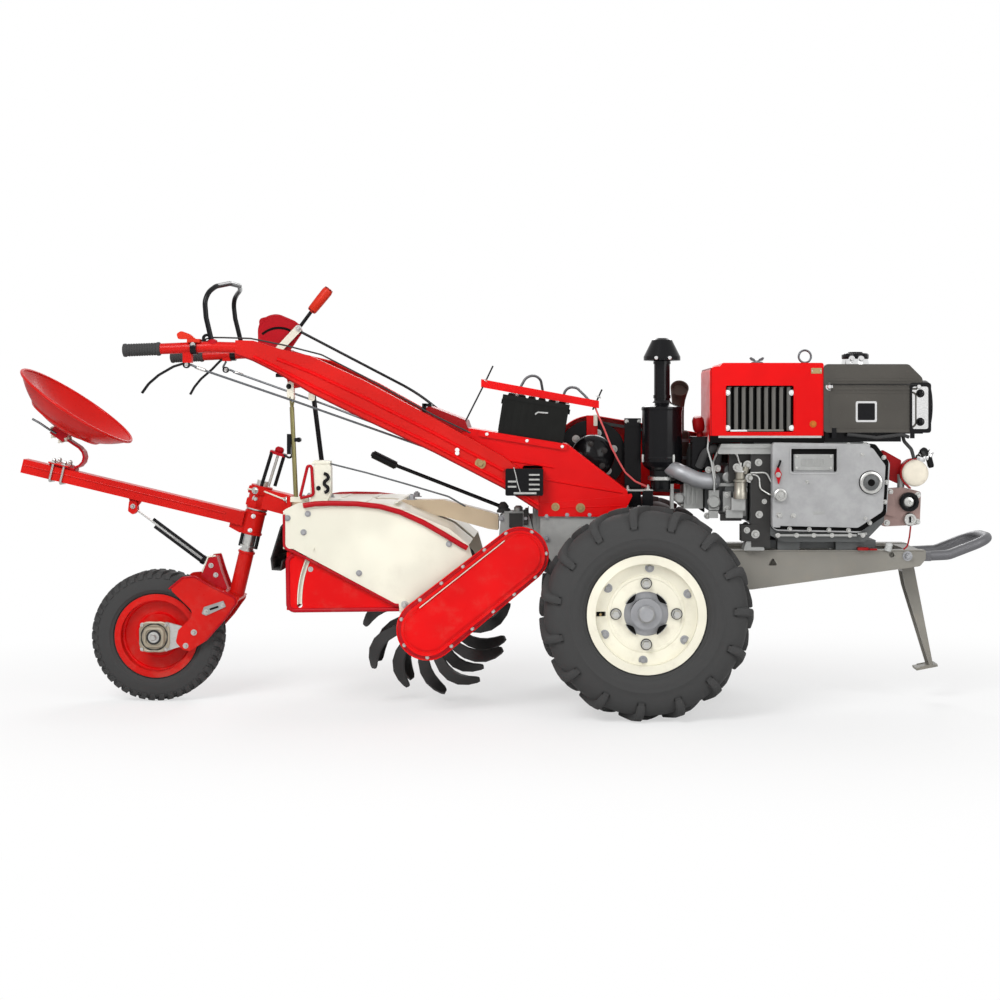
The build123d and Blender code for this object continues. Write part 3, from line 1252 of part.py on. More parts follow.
def tiller_hood():
    """Bent top sheet with two flat cheeks; open below for the rotor."""
    bends = [b for _, _, b in HOOD_LINE]
    top = hood_points(0)
    under = hood_points(SHEET)
    strip = top + under[::-1]
    strip_bends = bends + [max(b - SHEET, 0) for b in bends[::-1]]
    sheet = side_solid(strip, strip_bends, -HOOD_HALF, HOOD_HALF)
    cheek_line = top + [
        (ROTOR_X + 150, AXLE_Z + 100),
        (ROTOR_X + 80, ROTOR_Z + 81),
        (APRON_PIVOT[0] + 26, APRON_PIVOT[1] - 14),
        (APRON_PIVOT[0] - 16, APRON_PIVOT[1] - 14),
        (HOOD_REAR_X + 30, hood_low_z),
    ]
    cheek_bends = bends + [20, 20, 12, 20, 8]
    cheek = side_solid(cheek_line, cheek_bends, -HOOD_HALF, -HOOD_HALF + SHEET)
    hood = sheet + both_sides(cheek)
    rear_cut = block(HOOD_REAR_X - 20, HOOD_REAR_X + 60, -BEAM_HALF_WIDTH - 1, BEAM_HALF_WIDTH + 1,
                     BEAM_TOP_Z - BEAM_DEPTH - 1, BEAM_TOP_Z + 0.2)
    front_cut = block(ROTOR_X - 190, ROTOR_X + 140, -BEAM_HALF_WIDTH - 2, BEAM_HALF_WIDTH + 2,
                      PTO_Z - 60, HOOD_TOP_Z + 5)
    hood -= rear_cut
    hood -= front_cut
    # guide bolts of the apron's slots and the pins it hangs on
    bolts = ((*slot_point(APRON_SLOT_TOP), 4.0), (*APRON_PIVOT, APRON_PIN_RADIUS))
    for x, z, radius in bolts:
        hood += both_sides(y_cylinder(x, z, radius, -HOOD_HALF - 6, -HOOD_HALF + 16))
    return hood


APRON_SLOT_RADIUS = 318.0
APRON_SLOT_TOP = 150.0      # degrees about the pivot
APRON_SLOT_SWEEP = 32.0
APRON_PIN_RADIUS = 5.0
APRON_GAP = 7.0


def slot_point(angle, radius=APRON_SLOT_RADIUS):
    """Point on the apron's slot at an angle about the pivot."""
    return (APRON_PIVOT[0] + radius * cos(radians(angle)),
            APRON_PIVOT[1] + radius * sin(radians(angle)))


nodes["tiller_hood"] = tiller_hood()


def hood_rim():
    """Round bar welded along the upper edge of each cheek."""
    lift = 0.5
    rim_radius = 9.0
    y = -HOOD_HALF - rim_radius - FIT
    points = [
        (ROTOR_X - 330, AXLE_Z + 318),
        (ROTOR_X - 112, AXLE_Z + 316),
        (ROTOR_X + 58, AXLE_Z + 240),
        (ROTOR_X + 112, AXLE_Z + 196),
    ]
    rim = bent_bar([(x, y, z + lift) for x, z in points], [140, 60], rim_radius)
    return both_sides(rim)


nodes["hood_rim"] = hood_rim()


def apron():
    """Rear curtain with two cheeks, hinged low on the hood's sides."""
    y = HOOD_HALF - SHEET - APRON_GAP
    px, pz = APRON_PIVOT
    rear_x = HOOD_REAR_X + SHEET + RUNNING_GAP
    low_z = AXLE_Z
    cheek = side_solid(
        [(rear_x, hood_low_z - 8), (rear_x, low_z - 2), (px - 4, low_z + 4), (px + 24, pz - 12),
         (px + 10, pz + 22), (px - 150, pz + 100)],
        [4, 16, 10, 16, 16, 20], -y, -y + SHEET)
    cheek -= y_cylinder(px, pz, APRON_PIN_RADIUS + 0.5, -y - 1, -y + SHEET + 1)
    half_slot = 8.0
    steps = 6
    for index in range(steps + 1):
        angle = APRON_SLOT_TOP - 0.5 + (APRON_SLOT_SWEEP + 1.0) * index / steps
        x, z = slot_point(angle)
        cheek -= y_cylinder(x, z, half_slot, -y - 1, -y + SHEET + 1)
        if index < steps:
            next_angle = angle + (APRON_SLOT_SWEEP + 1.0) / steps
            corners = [slot_point(a, APRON_SLOT_RADIUS + r) for a, r in (
                (angle, -half_slot), (angle, half_slot),
                (next_angle, half_slot), (next_angle, -half_slot))]
            cheek -= side_solid(corners, 0, -y - 1, -y + SHEET + 1)
    curtain = block(rear_x, rear_x + SHEET, -y, y, low_z - 2, hood_low_z - 14)
    # notch that lets the curtain swing up past the beam
    notch_half = BEAM_HALF_WIDTH + 8
    curtain -= block(rear_x - 1, rear_x + SHEET + 1, -notch_half, notch_half,
                     hood_low_z - 54, hood_low_z)
    lip = block(rear_x, rear_x + 24, -y, y, low_z - 2, low_z - 2 + SHEET)
    return both_sides(cheek) + curtain + lip


nodes["apron"] = apron()


def rear_flap():
    """Looped rubber sheet that closes the gap behind the hood."""
    x = HOOD_REAR_X - FIT
    line = [
        (x, AXLE_Z + 264),
        (x - 12, AXLE_Z + 250),
        (x - 42, AXLE_Z + 152),
        (x - 38, AXLE_Z + 118),
        (x - 10, AXLE_Z + 116),
        (x - 4, AXLE_Z + 146),
    ]
    inner = [(px + 4, pz) for px, pz in reversed(line)]
    inner[0] = (line[-1][0] - 4, line[-1][1])
    inner[1] = (line[-2][0] - 2, line[-2][1] + 5)
    inner[2] = (line[-3][0] + 5, line[-3][1] + 5)
    inner[-1] = (line[0][0], line[0][1] - 14)
    return side_solid(line + inner, 0, -HOOD_HALF + 20, HOOD_HALF - 20)


nodes["rear_flap"] = rear_flap()

# ------------------------------------------------------------------------ rotor
FLANGE_COUNT = 5
FLANGE_RADIUS = 62.0
FLANGE_HALF = 5.0
TINES_PER_SIDE = 2
TINE_REACH = 58.0           # sideways length of a tine's tip
TINE_WALL = 8.0
TINE_BEND = 26.0            # inner bend where the tip turns sideways
TINE_ROOT = 22.0
TINE_SWEEP = 24.0           # degrees from the root round to the broad end


def tine(sign):
    """Curved blade: a scimitar stem whose broad end is bent to one side."""
    half = TINE_WALL / 2
    tip = ROTOR_RADIUS - 3
    span = 170.0
    # edge-on view: (distance from the shaft, sideways), then the bend at that corner
    fold = [
        (TINE_ROOT, -half, 0),
        (tip, -half, TINE_BEND + TINE_WALL),
        (tip, TINE_REACH, 0),
        (tip - TINE_WALL, TINE_REACH, 0),
        (tip - TINE_WALL, half, TINE_BEND),
        (TINE_ROOT, half, 0),
    ]
    strip_line = FilletPolyline(*[(x, sign * y) for x, y, _ in fold], radius=[b for _, _, b in fold],
                                close=True)
    # the bend faces the middle of the broad end
    strip = Rot(0, -TINE_SWEEP, 0) * extrude(Plane.XY * make_face(strip_line), amount=span, both=True)
    # seen along the shaft: (outward, round the shaft, bend)
    face_on = [
        (TINE_ROOT, -20, 0),
        (90, -26, 60),
        (165, -16, 80),
        (213, 26, 60),
        (219, 80, 60),
        (187, 140, 3),
        (166, 102, 40),
        (156, 62, 60),
        (128, 30, 60),
        (80, 22, 40),
        (TINE_ROOT, 20, 0),
    ]
    outline = side_solid([(x, z) for x, z, _ in face_on], [b for _, _, b in face_on], -span, span)
    return strip & outline


def rotor():
    """Tiller shaft with flanges, each with curved tines set round it."""
    half = HOOD_HALF + FIT + 16
    shaft = y_cylinder(0, 0, ROTOR_SHAFT_RADIUS, -half, half)
    span = HOOD_WIDTH - 2 * (TINE_REACH + 46)
    pitch = span / (FLANGE_COUNT - 1)
    twist = 30.0            # each flange's tines are turned on from the last one's
    first = 10.0
    weld = 0.5
    seat = FLANGE_HALF + TINE_WALL / 2 - weld
    blades = {sign: tine(sign) for sign in (-1, 1)}
    for index in range(FLANGE_COUNT):
        y = -span / 2 + index * pitch
        shaft += y_cylinder(0, 0, FLANGE_RADIUS, y - FLANGE_HALF, y + FLANGE_HALF)
        for number in range(2 * TINES_PER_SIDE):
            sign = 1 if number % 2 else -1
            turn = Rot(0, first + number * 180 / TINES_PER_SIDE + index * twist, 0)
            shaft += Pos(0, y + sign * seat, 0) * turn * blades[sign]
    return Pos(ROTOR_X, 0, ROTOR_Z) * shaft


nodes["tiller_rotor"] = rotor()

# ------------------------------------------------- handle stays on the hood's top
STAY_LUG = 24.0
STAY_Y = arm_y(0.68) - 18 - STAY_LUG / 2 - FIT


def handle_stays():
    """Two struts that carry the handlebar's arms from brackets on the hood."""
    foot = (ROTOR_X - 388, AXLE_Z + 366)
    head = (AXLE_X - 1090, AXLE_Z + 726)
    strut = bar((foot[0], -STAY_Y, foot[1]), (head[0], -STAY_Y, head[1]), 8)
    for x, z in (foot, head):
        strut += block(x - 11, x + 11, -STAY_Y - STAY_LUG / 2, -STAY_Y + STAY_LUG / 2, z - 22, z + 22)
    bracket = side_solid(
        [(foot[0] - 8, HOOD_TOP_Z + FIT), (foot[0] - 8, foot[1] - 20), (foot[0] + 12, foot[1] - 20),
         (foot[0] + 52, foot[1] + 60), (foot[0] + 66, foot[1] + 60), (foot[0] + 66, HOOD_TOP_Z + FIT)],
        [2, 2, 10, 6, 8, 2], -STAY_Y - 20, -STAY_Y + 20)
    return both_sides(strut + bracket)


nodes["handle_stays"] = handle_stays()


def tiller_shift_lever():
    """Long lever from the tiller's gear casing, leaning back over the hood."""
    base = (CROSS_X - 60, 0, PTO_Z + 30 + FIT)
    socket = bar(base, (base[0] - 2, 0, base[2] + 20), 14)
    rod = bar((base[0] - 2, 0, base[2] + 16), (CROSS_X - 408, -20, AXLE_Z + 430), 6)
    grip = bar((CROSS_X - 402, -20, AXLE_Z + 427), (CROSS_X - 474, -24, AXLE_Z + 463), 13)
    return socket + rod + grip


nodes["tiller_shift_lever"] = tiller_shift_lever()

# --------------------------------------------------- tail bracket and height screw
POST_TOP_X = HOOD_REAR_X - 84
POST_TOP_Z = AXLE_Z + 488
post_slope = tan(radians(POST_TILT))


def post_x(z):
    """X of the tilted steering axis at a height."""
    return POST_TOP_X - (POST_TOP_Z - z) * post_slope


def post_point(z, y=0.0):
    return (post_x(z), y, z)


BARREL_LOW_Z = AXLE_Z + 290
BARREL_HIGH_Z = AXLE_Z + 362
POST_BORE = POST_RADIUS + FIT + 0.2
BARREL_RADIUS = 34.0


def tail_bracket():
    """Clamp barrel for the tail post, bolted to the end of the tiller beam."""
    barrel = bar(post_point(BARREL_LOW_Z), post_point(BARREL_HIGH_Z), BARREL_RADIUS)
    rear_face = BEAM_REAR_X - FIT
    arm = side_solid(
        [(post_x(BARREL_LOW_Z), BARREL_LOW_Z + 6), (rear_face - 14, BEAM_TOP_Z - BEAM_DEPTH),
         (rear_face, BEAM_TOP_Z - BEAM_DEPTH), (rear_face, BEAM_TOP_Z + 12),
         (rear_face - 20, BEAM_TOP_Z + 18), (post_x(BARREL_HIGH_Z), BARREL_HIGH_Z - 6)],
        [0, 4, 2, 4, 10, 0], -BEAM_HALF_WIDTH + 4, BEAM_HALF_WIDTH - 4)
    bracket = barrel + arm
    bracket -= bar(post_point(BARREL_LOW_Z - 20), post_point(BARREL_HIGH_Z + 20), POST_BORE)
    return bracket


nodes["tail_bracket"] = tail_bracket()


def height_screw():
    """Screw and two guide rods that set the working depth, held by a domed clamp."""
    across = 22.0
    along = Vector(sin(radians(POST_TILT)), 0, cos(radians(POST_TILT)))
    low = Vector(*post_point(BARREL_HIGH_Z)) + along * FIT
    high = Vector(*post_point(POST_TOP_Z - 20))
    rods = Part()
    side = Vector(0, across + 5, 0)
    for offset in (side, side * -1):
        rods += bar((low + offset), (high + offset), 6)
    yoke_place = Plane(origin=high, x_dir=(0, 1, 0), z_dir=along)
    yoke = yoke_place * Box(2 * across + 28, 34, 18, align=(Align.CENTER, Align.CENTER, Align.MIN))
    dome = yoke_place * Pos(0, 0, 17) * Cylinder(16, 16, align=(Align.CENTER, Align.CENTER, Align.MIN))
    screw = bar((low + along * 24), high, 5)
    return rods + yoke + dome + screw


nodes["height_screw"] = height_screw()

# ------------------------------------------------------------ tail wheel and fork
TAIL_RADIUS = TAIL_TYRE_DIAMETER / 2
TAIL_X = post_x(0) - TAIL_TRAIL
TAIL_Z = TAIL_RADIUS
TAIL_HALF = TAIL_TYRE_WIDTH / 2
TAIL_AXLE_RADIUS = 12.0
FORK_INNER = TAIL_HALF + 9
FORK_WALL = 8.0
TAIL_BEAD_HALF = 34.0
TAIL_FLANGE = 14.0          # height of the rim's flange over the bead seat
TAIL_HUB_RADIUS = 36.0


def tail_tyre():
    """Tail tyre, treads' tips on the outer radius."""
    half_section = [
        (TAIL_RADIUS, TAIL_HALF - 16, 16),
        (TAIL_RIM_RADIUS + 40, TAIL_HALF, 22),
        (TAIL_RIM_RADIUS + 4, TAIL_HALF - 8, 3),
        (TAIL_RIM_RADIUS + 3, TAIL_BEAD_HALF - FIT, 2),
        (TAIL_RIM_RADIUS - TAIL_FLANGE + FIT, TAIL_BEAD_HALF - FIT, 0),
    ]
    outside = [(r, y) for r, y, _ in half_section]
    inside = [(r, -y) for r, y, _ in reversed(half_section)]
    corners = [c for _, _, c in half_section]
    low = TAIL_RIM_RADIUS - TAIL_FLANGE + FIT
    # the air space, open to the rim between the beads
    cavity = [(low, 12), (TAIL_RADIUS - 24, 30), (TAIL_RADIUS - 24, -30), (low, -12)]
    bends = corners + [0, 12, 12, 0] + corners[::-1]
    return y_revolve(TAIL_X, TAIL_Z, outside + cavity + inside, bends)


nodes["tail_tyre"] = tail_tyre()


def tail_rim():
    """Two-piece pressed rim with a flat disc and the hub barrel."""
    edge = TAIL_BEAD_HALF
    wall = 5.0
    seat = TAIL_RIM_RADIUS - TAIL_FLANGE
    bore = TAIL_AXLE_RADIUS + 0.5
    hub_half = 28.0
    profile = [
        (TAIL_RIM_RADIUS, edge + wall),
        (TAIL_RIM_RADIUS, edge),
        (seat, edge),
        (seat, -edge),
        (TAIL_RIM_RADIUS, -edge),
        (TAIL_RIM_RADIUS, -edge - wall),
        (seat - wall, -edge - wall),
        (seat - wall, -6),
        (TAIL_HUB_RADIUS, -6),
        (TAIL_HUB_RADIUS, -hub_half),
        (bore, -hub_half),
        (bore, hub_half),
        (TAIL_HUB_RADIUS, hub_half),
        (TAIL_HUB_RADIUS, 6),
        (seat - wall, 6),
        (seat - wall, edge + wall),
    ]
    return y_revolve(TAIL_X, TAIL_Z, profile)


nodes["tail_rim"] = tail_rim()


def tail_axle():
    """Fixed axle with a square bearing carrier at each end, bolted to the fork."""
    axle = y_cylinder(TAIL_X, TAIL_Z, TAIL_AXLE_RADIUS, -FORK_INNER, FORK_INNER)
    boss = y_cylinder(TAIL_X, TAIL_Z, 30, -FORK_INNER, -34)
    carrier = side_solid(
        [(TAIL_X - 46, TAIL_Z - 40), (TAIL_X - 46, TAIL_Z + 40), (TAIL_X + 40, TAIL_Z + 46),
         (TAIL_X + 112, TAIL_Z + 26), (TAIL_X + 96, TAIL_Z - 26), (TAIL_X + 40, TAIL_Z - 44)],
        12, -FORK_INNER + FIT, -FORK_INNER + FIT + 7)
    nut = y_cylinder(TAIL_X, TAIL_Z, 17, -FORK_INNER - 14, -FORK_INNER + 2)
    return axle + both_sides(boss + carrier + nut)


nodes["tail_axle"] = tail_axle()


def tail_fork():
    """Bent fork: crown over the tyre, two cheeks and the tube up to the post."""
    # cheek outline from the tail axle: (x, z, bend)
    rows = [
        (48, 152, 14), (91, 190, 14), (128, 192, 12), (186, 158, 14), (272, 120, 16),
        (224, 56, 20), (160, -14, 20), (112, -44, 20), (90, -40, 10), (68, -16, 14),
        (76, 22, 10), (130, 74, 26),
    ]
    outline = [(TAIL_X + x, TAIL_Z + z) for x, z, _ in rows]
    bends = [b for _, _, b in rows]
    cheek = side_solid(outline, bends, -FORK_INNER - FORK_WALL, -FORK_INNER)
    fork = both_sides(cheek)
    bridge = side_solid(
        [(TAIL_X + 188, TAIL_Z + 148), (TAIL_X + 196, TAIL_Z + 156), (TAIL_X + 268, TAIL_Z + 122),
         (TAIL_X + 262, TAIL_Z + 112)],
        0, -FORK_INNER, FORK_INNER)
    fork += bridge
    tube_low = TAIL_Z + 128
    tube_high = AXLE_Z + 152
    fork += bar(post_point(tube_low), post_point(tube_high), 24)
    return fork


nodes["tail_fork"] = tail_fork()

SLEEVE_LOW_Z = AXLE_Z + 208
SLEEVE_HIGH_Z = BARREL_LOW_Z - 6


def tail_post():
    """Round post that turns in the clamp barrel, its lower end in the fork tube."""
    post = bar(post_point(AXLE_Z + 152 + FIT), post_point(BARREL_HIGH_Z + 16), POST_RADIUS)
    collar = bar(post_point(AXLE_Z + 152 + FIT), post_point(AXLE_Z + 160), POST_RADIUS + 4)
    return post + collar


nodes["tail_post"] = tail_post()

# seat beam: axis from its rear end to the sleeve on the post
BEAM_ANGLE = 13.5           # degrees, rear end up
SEAT_BEAM_DEPTH = 44.0
SEAT_BEAM_HALF = 24.0
BEAM_FRONT = (post_x(AXLE_Z + 252) - 30, AXLE_Z + 258)
SEAT_BEAM_LENGTH = 722.0
BEAM_WALL = 4.0
BEAM_REAR = (BEAM_FRONT[0] - SEAT_BEAM_LENGTH * cos(radians(BEAM_ANGLE)),
             BEAM_FRONT[1] + SEAT_BEAM_LENGTH * sin(radians(BEAM_ANGLE)))


def beam_point(distance, above=0.0):
    """Point on the seat beam, measured from its front end, above its middle line."""
    c, s = cos(radians(BEAM_ANGLE)), sin(radians(BEAM_ANGLE))
    return (BEAM_FRONT[0] - distance * c + above * s, BEAM_FRONT[1] + distance * s + above * c)


def seat_beam():
    """Square tube with a clamp sleeve on the post and gusset plates."""
    half = SEAT_BEAM_DEPTH / 2
    tube_line = [beam_point(0, half), beam_point(0, -half), beam_point(SEAT_BEAM_LENGTH, -half),
                 beam_point(SEAT_BEAM_LENGTH, half)]
    tube = side_solid(tube_line, 0, -SEAT_BEAM_HALF, SEAT_BEAM_HALF)
    bore_line = [beam_point(90, half - BEAM_WALL), beam_point(90, -half + BEAM_WALL),
                 beam_point(SEAT_BEAM_LENGTH + 1, -half + BEAM_WALL),
                 beam_point(SEAT_BEAM_LENGTH + 1, half - BEAM_WALL)]
    tube -= side_solid(bore_line, 0, -SEAT_BEAM_HALF + BEAM_WALL, SEAT_BEAM_HALF - BEAM_WALL)
    sleeve = bar(post_point(SLEEVE_LOW_Z), post_point(SLEEVE_HIGH_Z), POST_RADIUS + 12)
    neck = side_solid(
        [beam_point(40, half - 4), beam_point(40, -half - 14), beam_point(4, -half - 24),
         (post_x(SLEEVE_LOW_Z + 6), SLEEVE_LOW_Z + 6), (post_x(SLEEVE_HIGH_Z - 4), SLEEVE_HIGH_Z - 4)],
        0, -14, 14)
    lug = side_solid(
        [beam_point(STRUT_HEAD + 22, -half + 1), beam_point(STRUT_HEAD - 22, -half + 1),
         beam_point(STRUT_HEAD - 10, -half - 26), beam_point(STRUT_HEAD + 10, -half - 26)],
        [0, 0, 8, 8], -4, 4)
    beam = tube + sleeve + neck + lug
    return beam - bar(post_point(SLEEVE_LOW_Z - 10), post_point(SLEEVE_HIGH_Z + 10), POST_RADIUS + FIT)


STRUT_HEAD = 352.0          # along the beam from its front end
nodes["seat_beam"] = seat_beam()


def seat_strut():
    """Telescopic strut from the fork's crown up to the seat beam."""
    half = SEAT_BEAM_DEPTH / 2
    head_x, head_z = beam_point(STRUT_HEAD, -half - 16)
    foot_x, foot_z = TAIL_X + 148, TAIL_Z + 232
    ears = Part()
    for sign in (-1, 1):
        low, high = sorted((sign * (4 + FIT), sign * 14))
        ears += side_solid([(head_x - 12, head_z + 12), (head_x + 12, head_z + 12),
                            (head_x + 16, head_z - 16), (head_x - 16, head_z - 16)], 6, low, high)
    ears += block(head_x - 14, head_x + 14, -14, 14, head_z - 28, head_z - 12)
    rod = bar((head_x, 0, head_z - 20), (foot_x, 0, foot_z), 8)
    share = 0.28
    body_top = (head_x + share * (foot_x - head_x), 0, head_z - 20 + share * (foot_z - head_z + 20))
    body = bar(body_top, (foot_x - 4, 0, foot_z + 4), 15)
    return ears + rod + body


nodes["seat_strut"] = seat_strut()


def strut_bracket():
    """Folded bracket on the fork's crown that takes the strut's foot."""
    plate = side_solid(
        [(TAIL_X + 148, TAIL_Z + 206), (TAIL_X + 170, TAIL_Z + 248), (TAIL_X + 186, TAIL_Z + 250),
         (TAIL_X + 200, TAIL_Z + 200), (TAIL_X + 222, TAIL_Z + 138), (TAIL_X + 192, TAIL_Z + 150),
         (TAIL_X + 150, TAIL_Z + 182)],
        0, -40, 40)
    return plate


SEAT_RIM_CENTRE = (BEAM_REAR[0] + 168, BEAM_REAR[1] + 190)
seat_down = Vector(-sin(radians(SEAT_TILT)), 0, -cos(radians(SEAT_TILT)))
seat_forward = Vector(cos(radians(SEAT_TILT)), 0, -sin(radians(SEAT_TILT)))
SEAT_BOTTOM = Vector(SEAT_RIM_CENTRE[0], 0, SEAT_RIM_CENTRE[1]) + seat_down * SEAT_DEPTH
SPRING_WIDTH = 44.0
SPRING_WALL = 7.0
PAD_HEIGHT = 14.0


def seat_spring():
    """C-shaped leaf spring clamped on the beam, with a round pad under the pan."""
    pad_low = SEAT_BOTTOM + seat_down * (PAD_HEIGHT + SPRING_WALL / 2)
    pad = bar(SEAT_BOTTOM + seat_down * FIT, SEAT_BOTTOM + seat_down * (PAD_HEIGHT + 1), 34)
    rise = SEAT_BEAM_DEPTH / 2 + FIT + SPRING_WALL / 2
    knee_x = pad_low.X + 96
    route = [
        beam_point(600, rise),
        beam_point(530, rise),
        (knee_x + 8, beam_point(530, rise)[1] + 44),
        (pad_low.X + seat_forward.X * 62, pad_low.Z + seat_forward.Z * 62),
        (pad_low.X - seat_forward.X * 30, pad_low.Z - seat_forward.Z * 30),
    ]
    # each run is a flat strip and each joint a round of the same thickness
    leaf = pad
    for (x1, z1), (x2, z2) in zip(route, route[1:]):
        run = hypot(x2 - x1, z2 - z1)
        nx, nz = (z1 - z2) / run * SPRING_WALL / 2, (x2 - x1) / run * SPRING_WALL / 2
        corners = [(x1 + nx, z1 + nz), (x2 + nx, z2 + nz), (x2 - nx, z2 - nz), (x1 - nx, z1 - nz)]
        leaf += side_solid(corners, 0, -SPRING_WIDTH / 2, SPRING_WIDTH / 2)
    for x, z in route[1:-1]:
        leaf += y_cylinder(x, z, SPRING_WALL / 2, -SPRING_WIDTH / 2, SPRING_WIDTH / 2)
    return leaf


def seat_pan():
    """Round dished steel pan with a rolled edge."""
    wall = 3.0
    dish = (SEAT_RADIUS ** 2 + SEAT_DEPTH ** 2) / (2 * SEAT_DEPTH)
    bowl = Pos(0, 0, dish - SEAT_DEPTH) * (Sphere(dish) - Sphere(dish - wall))
    keep = Pos(0, 0, -SEAT_DEPTH - 5) * Cylinder(
        SEAT_RADIUS + 20, SEAT_DEPTH + 5, align=(Align.CENTER, Align.CENTER, Align.MIN))
    edge = Torus(SEAT_RADIUS - 1, 5)
    pan = (bowl & keep) + edge
    return Pos(SEAT_RIM_CENTRE[0], 0, SEAT_RIM_CENTRE[1]) * Rot(0, SEAT_TILT, 0) * pan


nodes["seat_spring"] = seat_spring()
nodes["seat_pan"] = seat_pan()
nodes["tail_fork"] += strut_bracket()

# --------------------------------------------------------------------- write out
for name, shape in nodes.items():
    export_step(shape, f"parts/{name}.step")
    print(name, len(shape.solids()))
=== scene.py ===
"""Two-wheel power tiller: finishes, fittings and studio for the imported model.

Lengths are in metres in the model's own frame: +X ahead, +Y to the machine's left, +Z up.
"""
from __future__ import annotations

import json
import logging
import math
from dataclasses import dataclass, field
from enum import Enum
from typing import Any, Iterable, Sequence

import bmesh
import bpy
from mathutils import Matrix, Vector, geometry

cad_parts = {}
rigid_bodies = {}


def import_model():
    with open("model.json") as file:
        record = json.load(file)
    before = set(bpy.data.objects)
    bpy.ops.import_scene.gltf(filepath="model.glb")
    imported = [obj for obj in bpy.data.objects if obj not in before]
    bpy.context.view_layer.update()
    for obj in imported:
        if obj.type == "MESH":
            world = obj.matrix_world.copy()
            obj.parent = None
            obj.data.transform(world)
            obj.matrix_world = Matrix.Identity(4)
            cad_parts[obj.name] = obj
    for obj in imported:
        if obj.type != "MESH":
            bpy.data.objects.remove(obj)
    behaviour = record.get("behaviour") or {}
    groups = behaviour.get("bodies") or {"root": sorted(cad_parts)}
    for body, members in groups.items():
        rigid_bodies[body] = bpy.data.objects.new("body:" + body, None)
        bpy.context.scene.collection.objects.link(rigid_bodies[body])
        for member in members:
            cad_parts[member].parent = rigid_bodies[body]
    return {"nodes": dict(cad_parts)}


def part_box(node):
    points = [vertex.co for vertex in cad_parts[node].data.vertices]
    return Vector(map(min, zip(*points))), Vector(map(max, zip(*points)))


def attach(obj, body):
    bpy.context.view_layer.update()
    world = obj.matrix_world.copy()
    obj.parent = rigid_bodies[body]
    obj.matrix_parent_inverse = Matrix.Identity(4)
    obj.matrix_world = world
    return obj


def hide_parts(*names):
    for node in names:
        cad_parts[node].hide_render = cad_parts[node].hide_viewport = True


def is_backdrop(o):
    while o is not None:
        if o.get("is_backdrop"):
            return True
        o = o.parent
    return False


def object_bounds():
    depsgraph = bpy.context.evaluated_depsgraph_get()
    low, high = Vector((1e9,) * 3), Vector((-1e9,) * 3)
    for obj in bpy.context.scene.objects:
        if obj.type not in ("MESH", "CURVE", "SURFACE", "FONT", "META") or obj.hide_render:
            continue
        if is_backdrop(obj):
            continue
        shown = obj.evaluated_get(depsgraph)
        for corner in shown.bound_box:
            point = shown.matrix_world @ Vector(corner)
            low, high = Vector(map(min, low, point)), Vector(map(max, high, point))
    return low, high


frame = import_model()
log = logging.getLogger("tiller")
CAD_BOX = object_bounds()

Colour = tuple[float, float, float]
Point = Sequence[float]
Row = Sequence[Any]


# --------------------------------------------------------------------------- shader maths
class Val:
    """A node socket that takes part in Python arithmetic."""

    def __init__(self, graph: "Graph", socket: bpy.types.NodeSocket) -> None:
        """Wraps a socket of a graph.

        Args:
            graph: the tree the socket belongs to.
            socket: an output socket.
        """
        self.graph = graph
        self.socket = socket

    def _math(self, operation: str, *values: Any) -> "Val":
        """Adds one Math node and returns its result."""
        return self.graph.add("ShaderNodeMath", {"operation": operation}, dict(enumerate(values)))

    def __add__(self, other: Any) -> "Val":
        """self + other."""
        return self._math("ADD", self, other)

    __radd__ = __add__

    def __sub__(self, other: Any) -> "Val":
        """self - other."""
        return self._math("SUBTRACT", self, other)

    def __rsub__(self, other: Any) -> "Val":
        """other - self."""
        return self._math("SUBTRACT", other, self)

    def __mul__(self, other: Any) -> "Val":
        """self * other."""
        return self._math("MULTIPLY", self, other)

    __rmul__ = __mul__

    def __truediv__(self, other: Any) -> "Val":
        """self / other."""
        return self._math("DIVIDE", self, other)

    def __gt__(self, other: Any) -> "Val":
        """1 where self is above other, else 0."""
        return self._math("GREATER_THAN", self, other)

    def power(self, exponent: float) -> "Val":
        """self raised to an exponent."""
        return self._math("POWER", self, exponent)

    def sine(self) -> "Val":
        """The sine of self, in radians."""
        return self._math("SINE", self)

    def size(self) -> "Val":
        """The absolute value of self."""
        return self._math("ABSOLUTE", self)

    def step(self, low: float, high: float) -> "Val":
        """Smooth step: 0 below low, 1 above high.

        Args:
            low: where the step starts.
            high: where it is complete; may be below low to turn the step round.

        Returns:
            The stepped value.
        """
        settings = {"interpolation_type": "SMOOTHSTEP"}
        if low <= high:
            return self.graph.add("ShaderNodeMapRange", settings, {0: self, 1: low, 2: high})
        return 1 - self.graph.add("ShaderNodeMapRange", settings, {0: self, 1: high, 2: low})


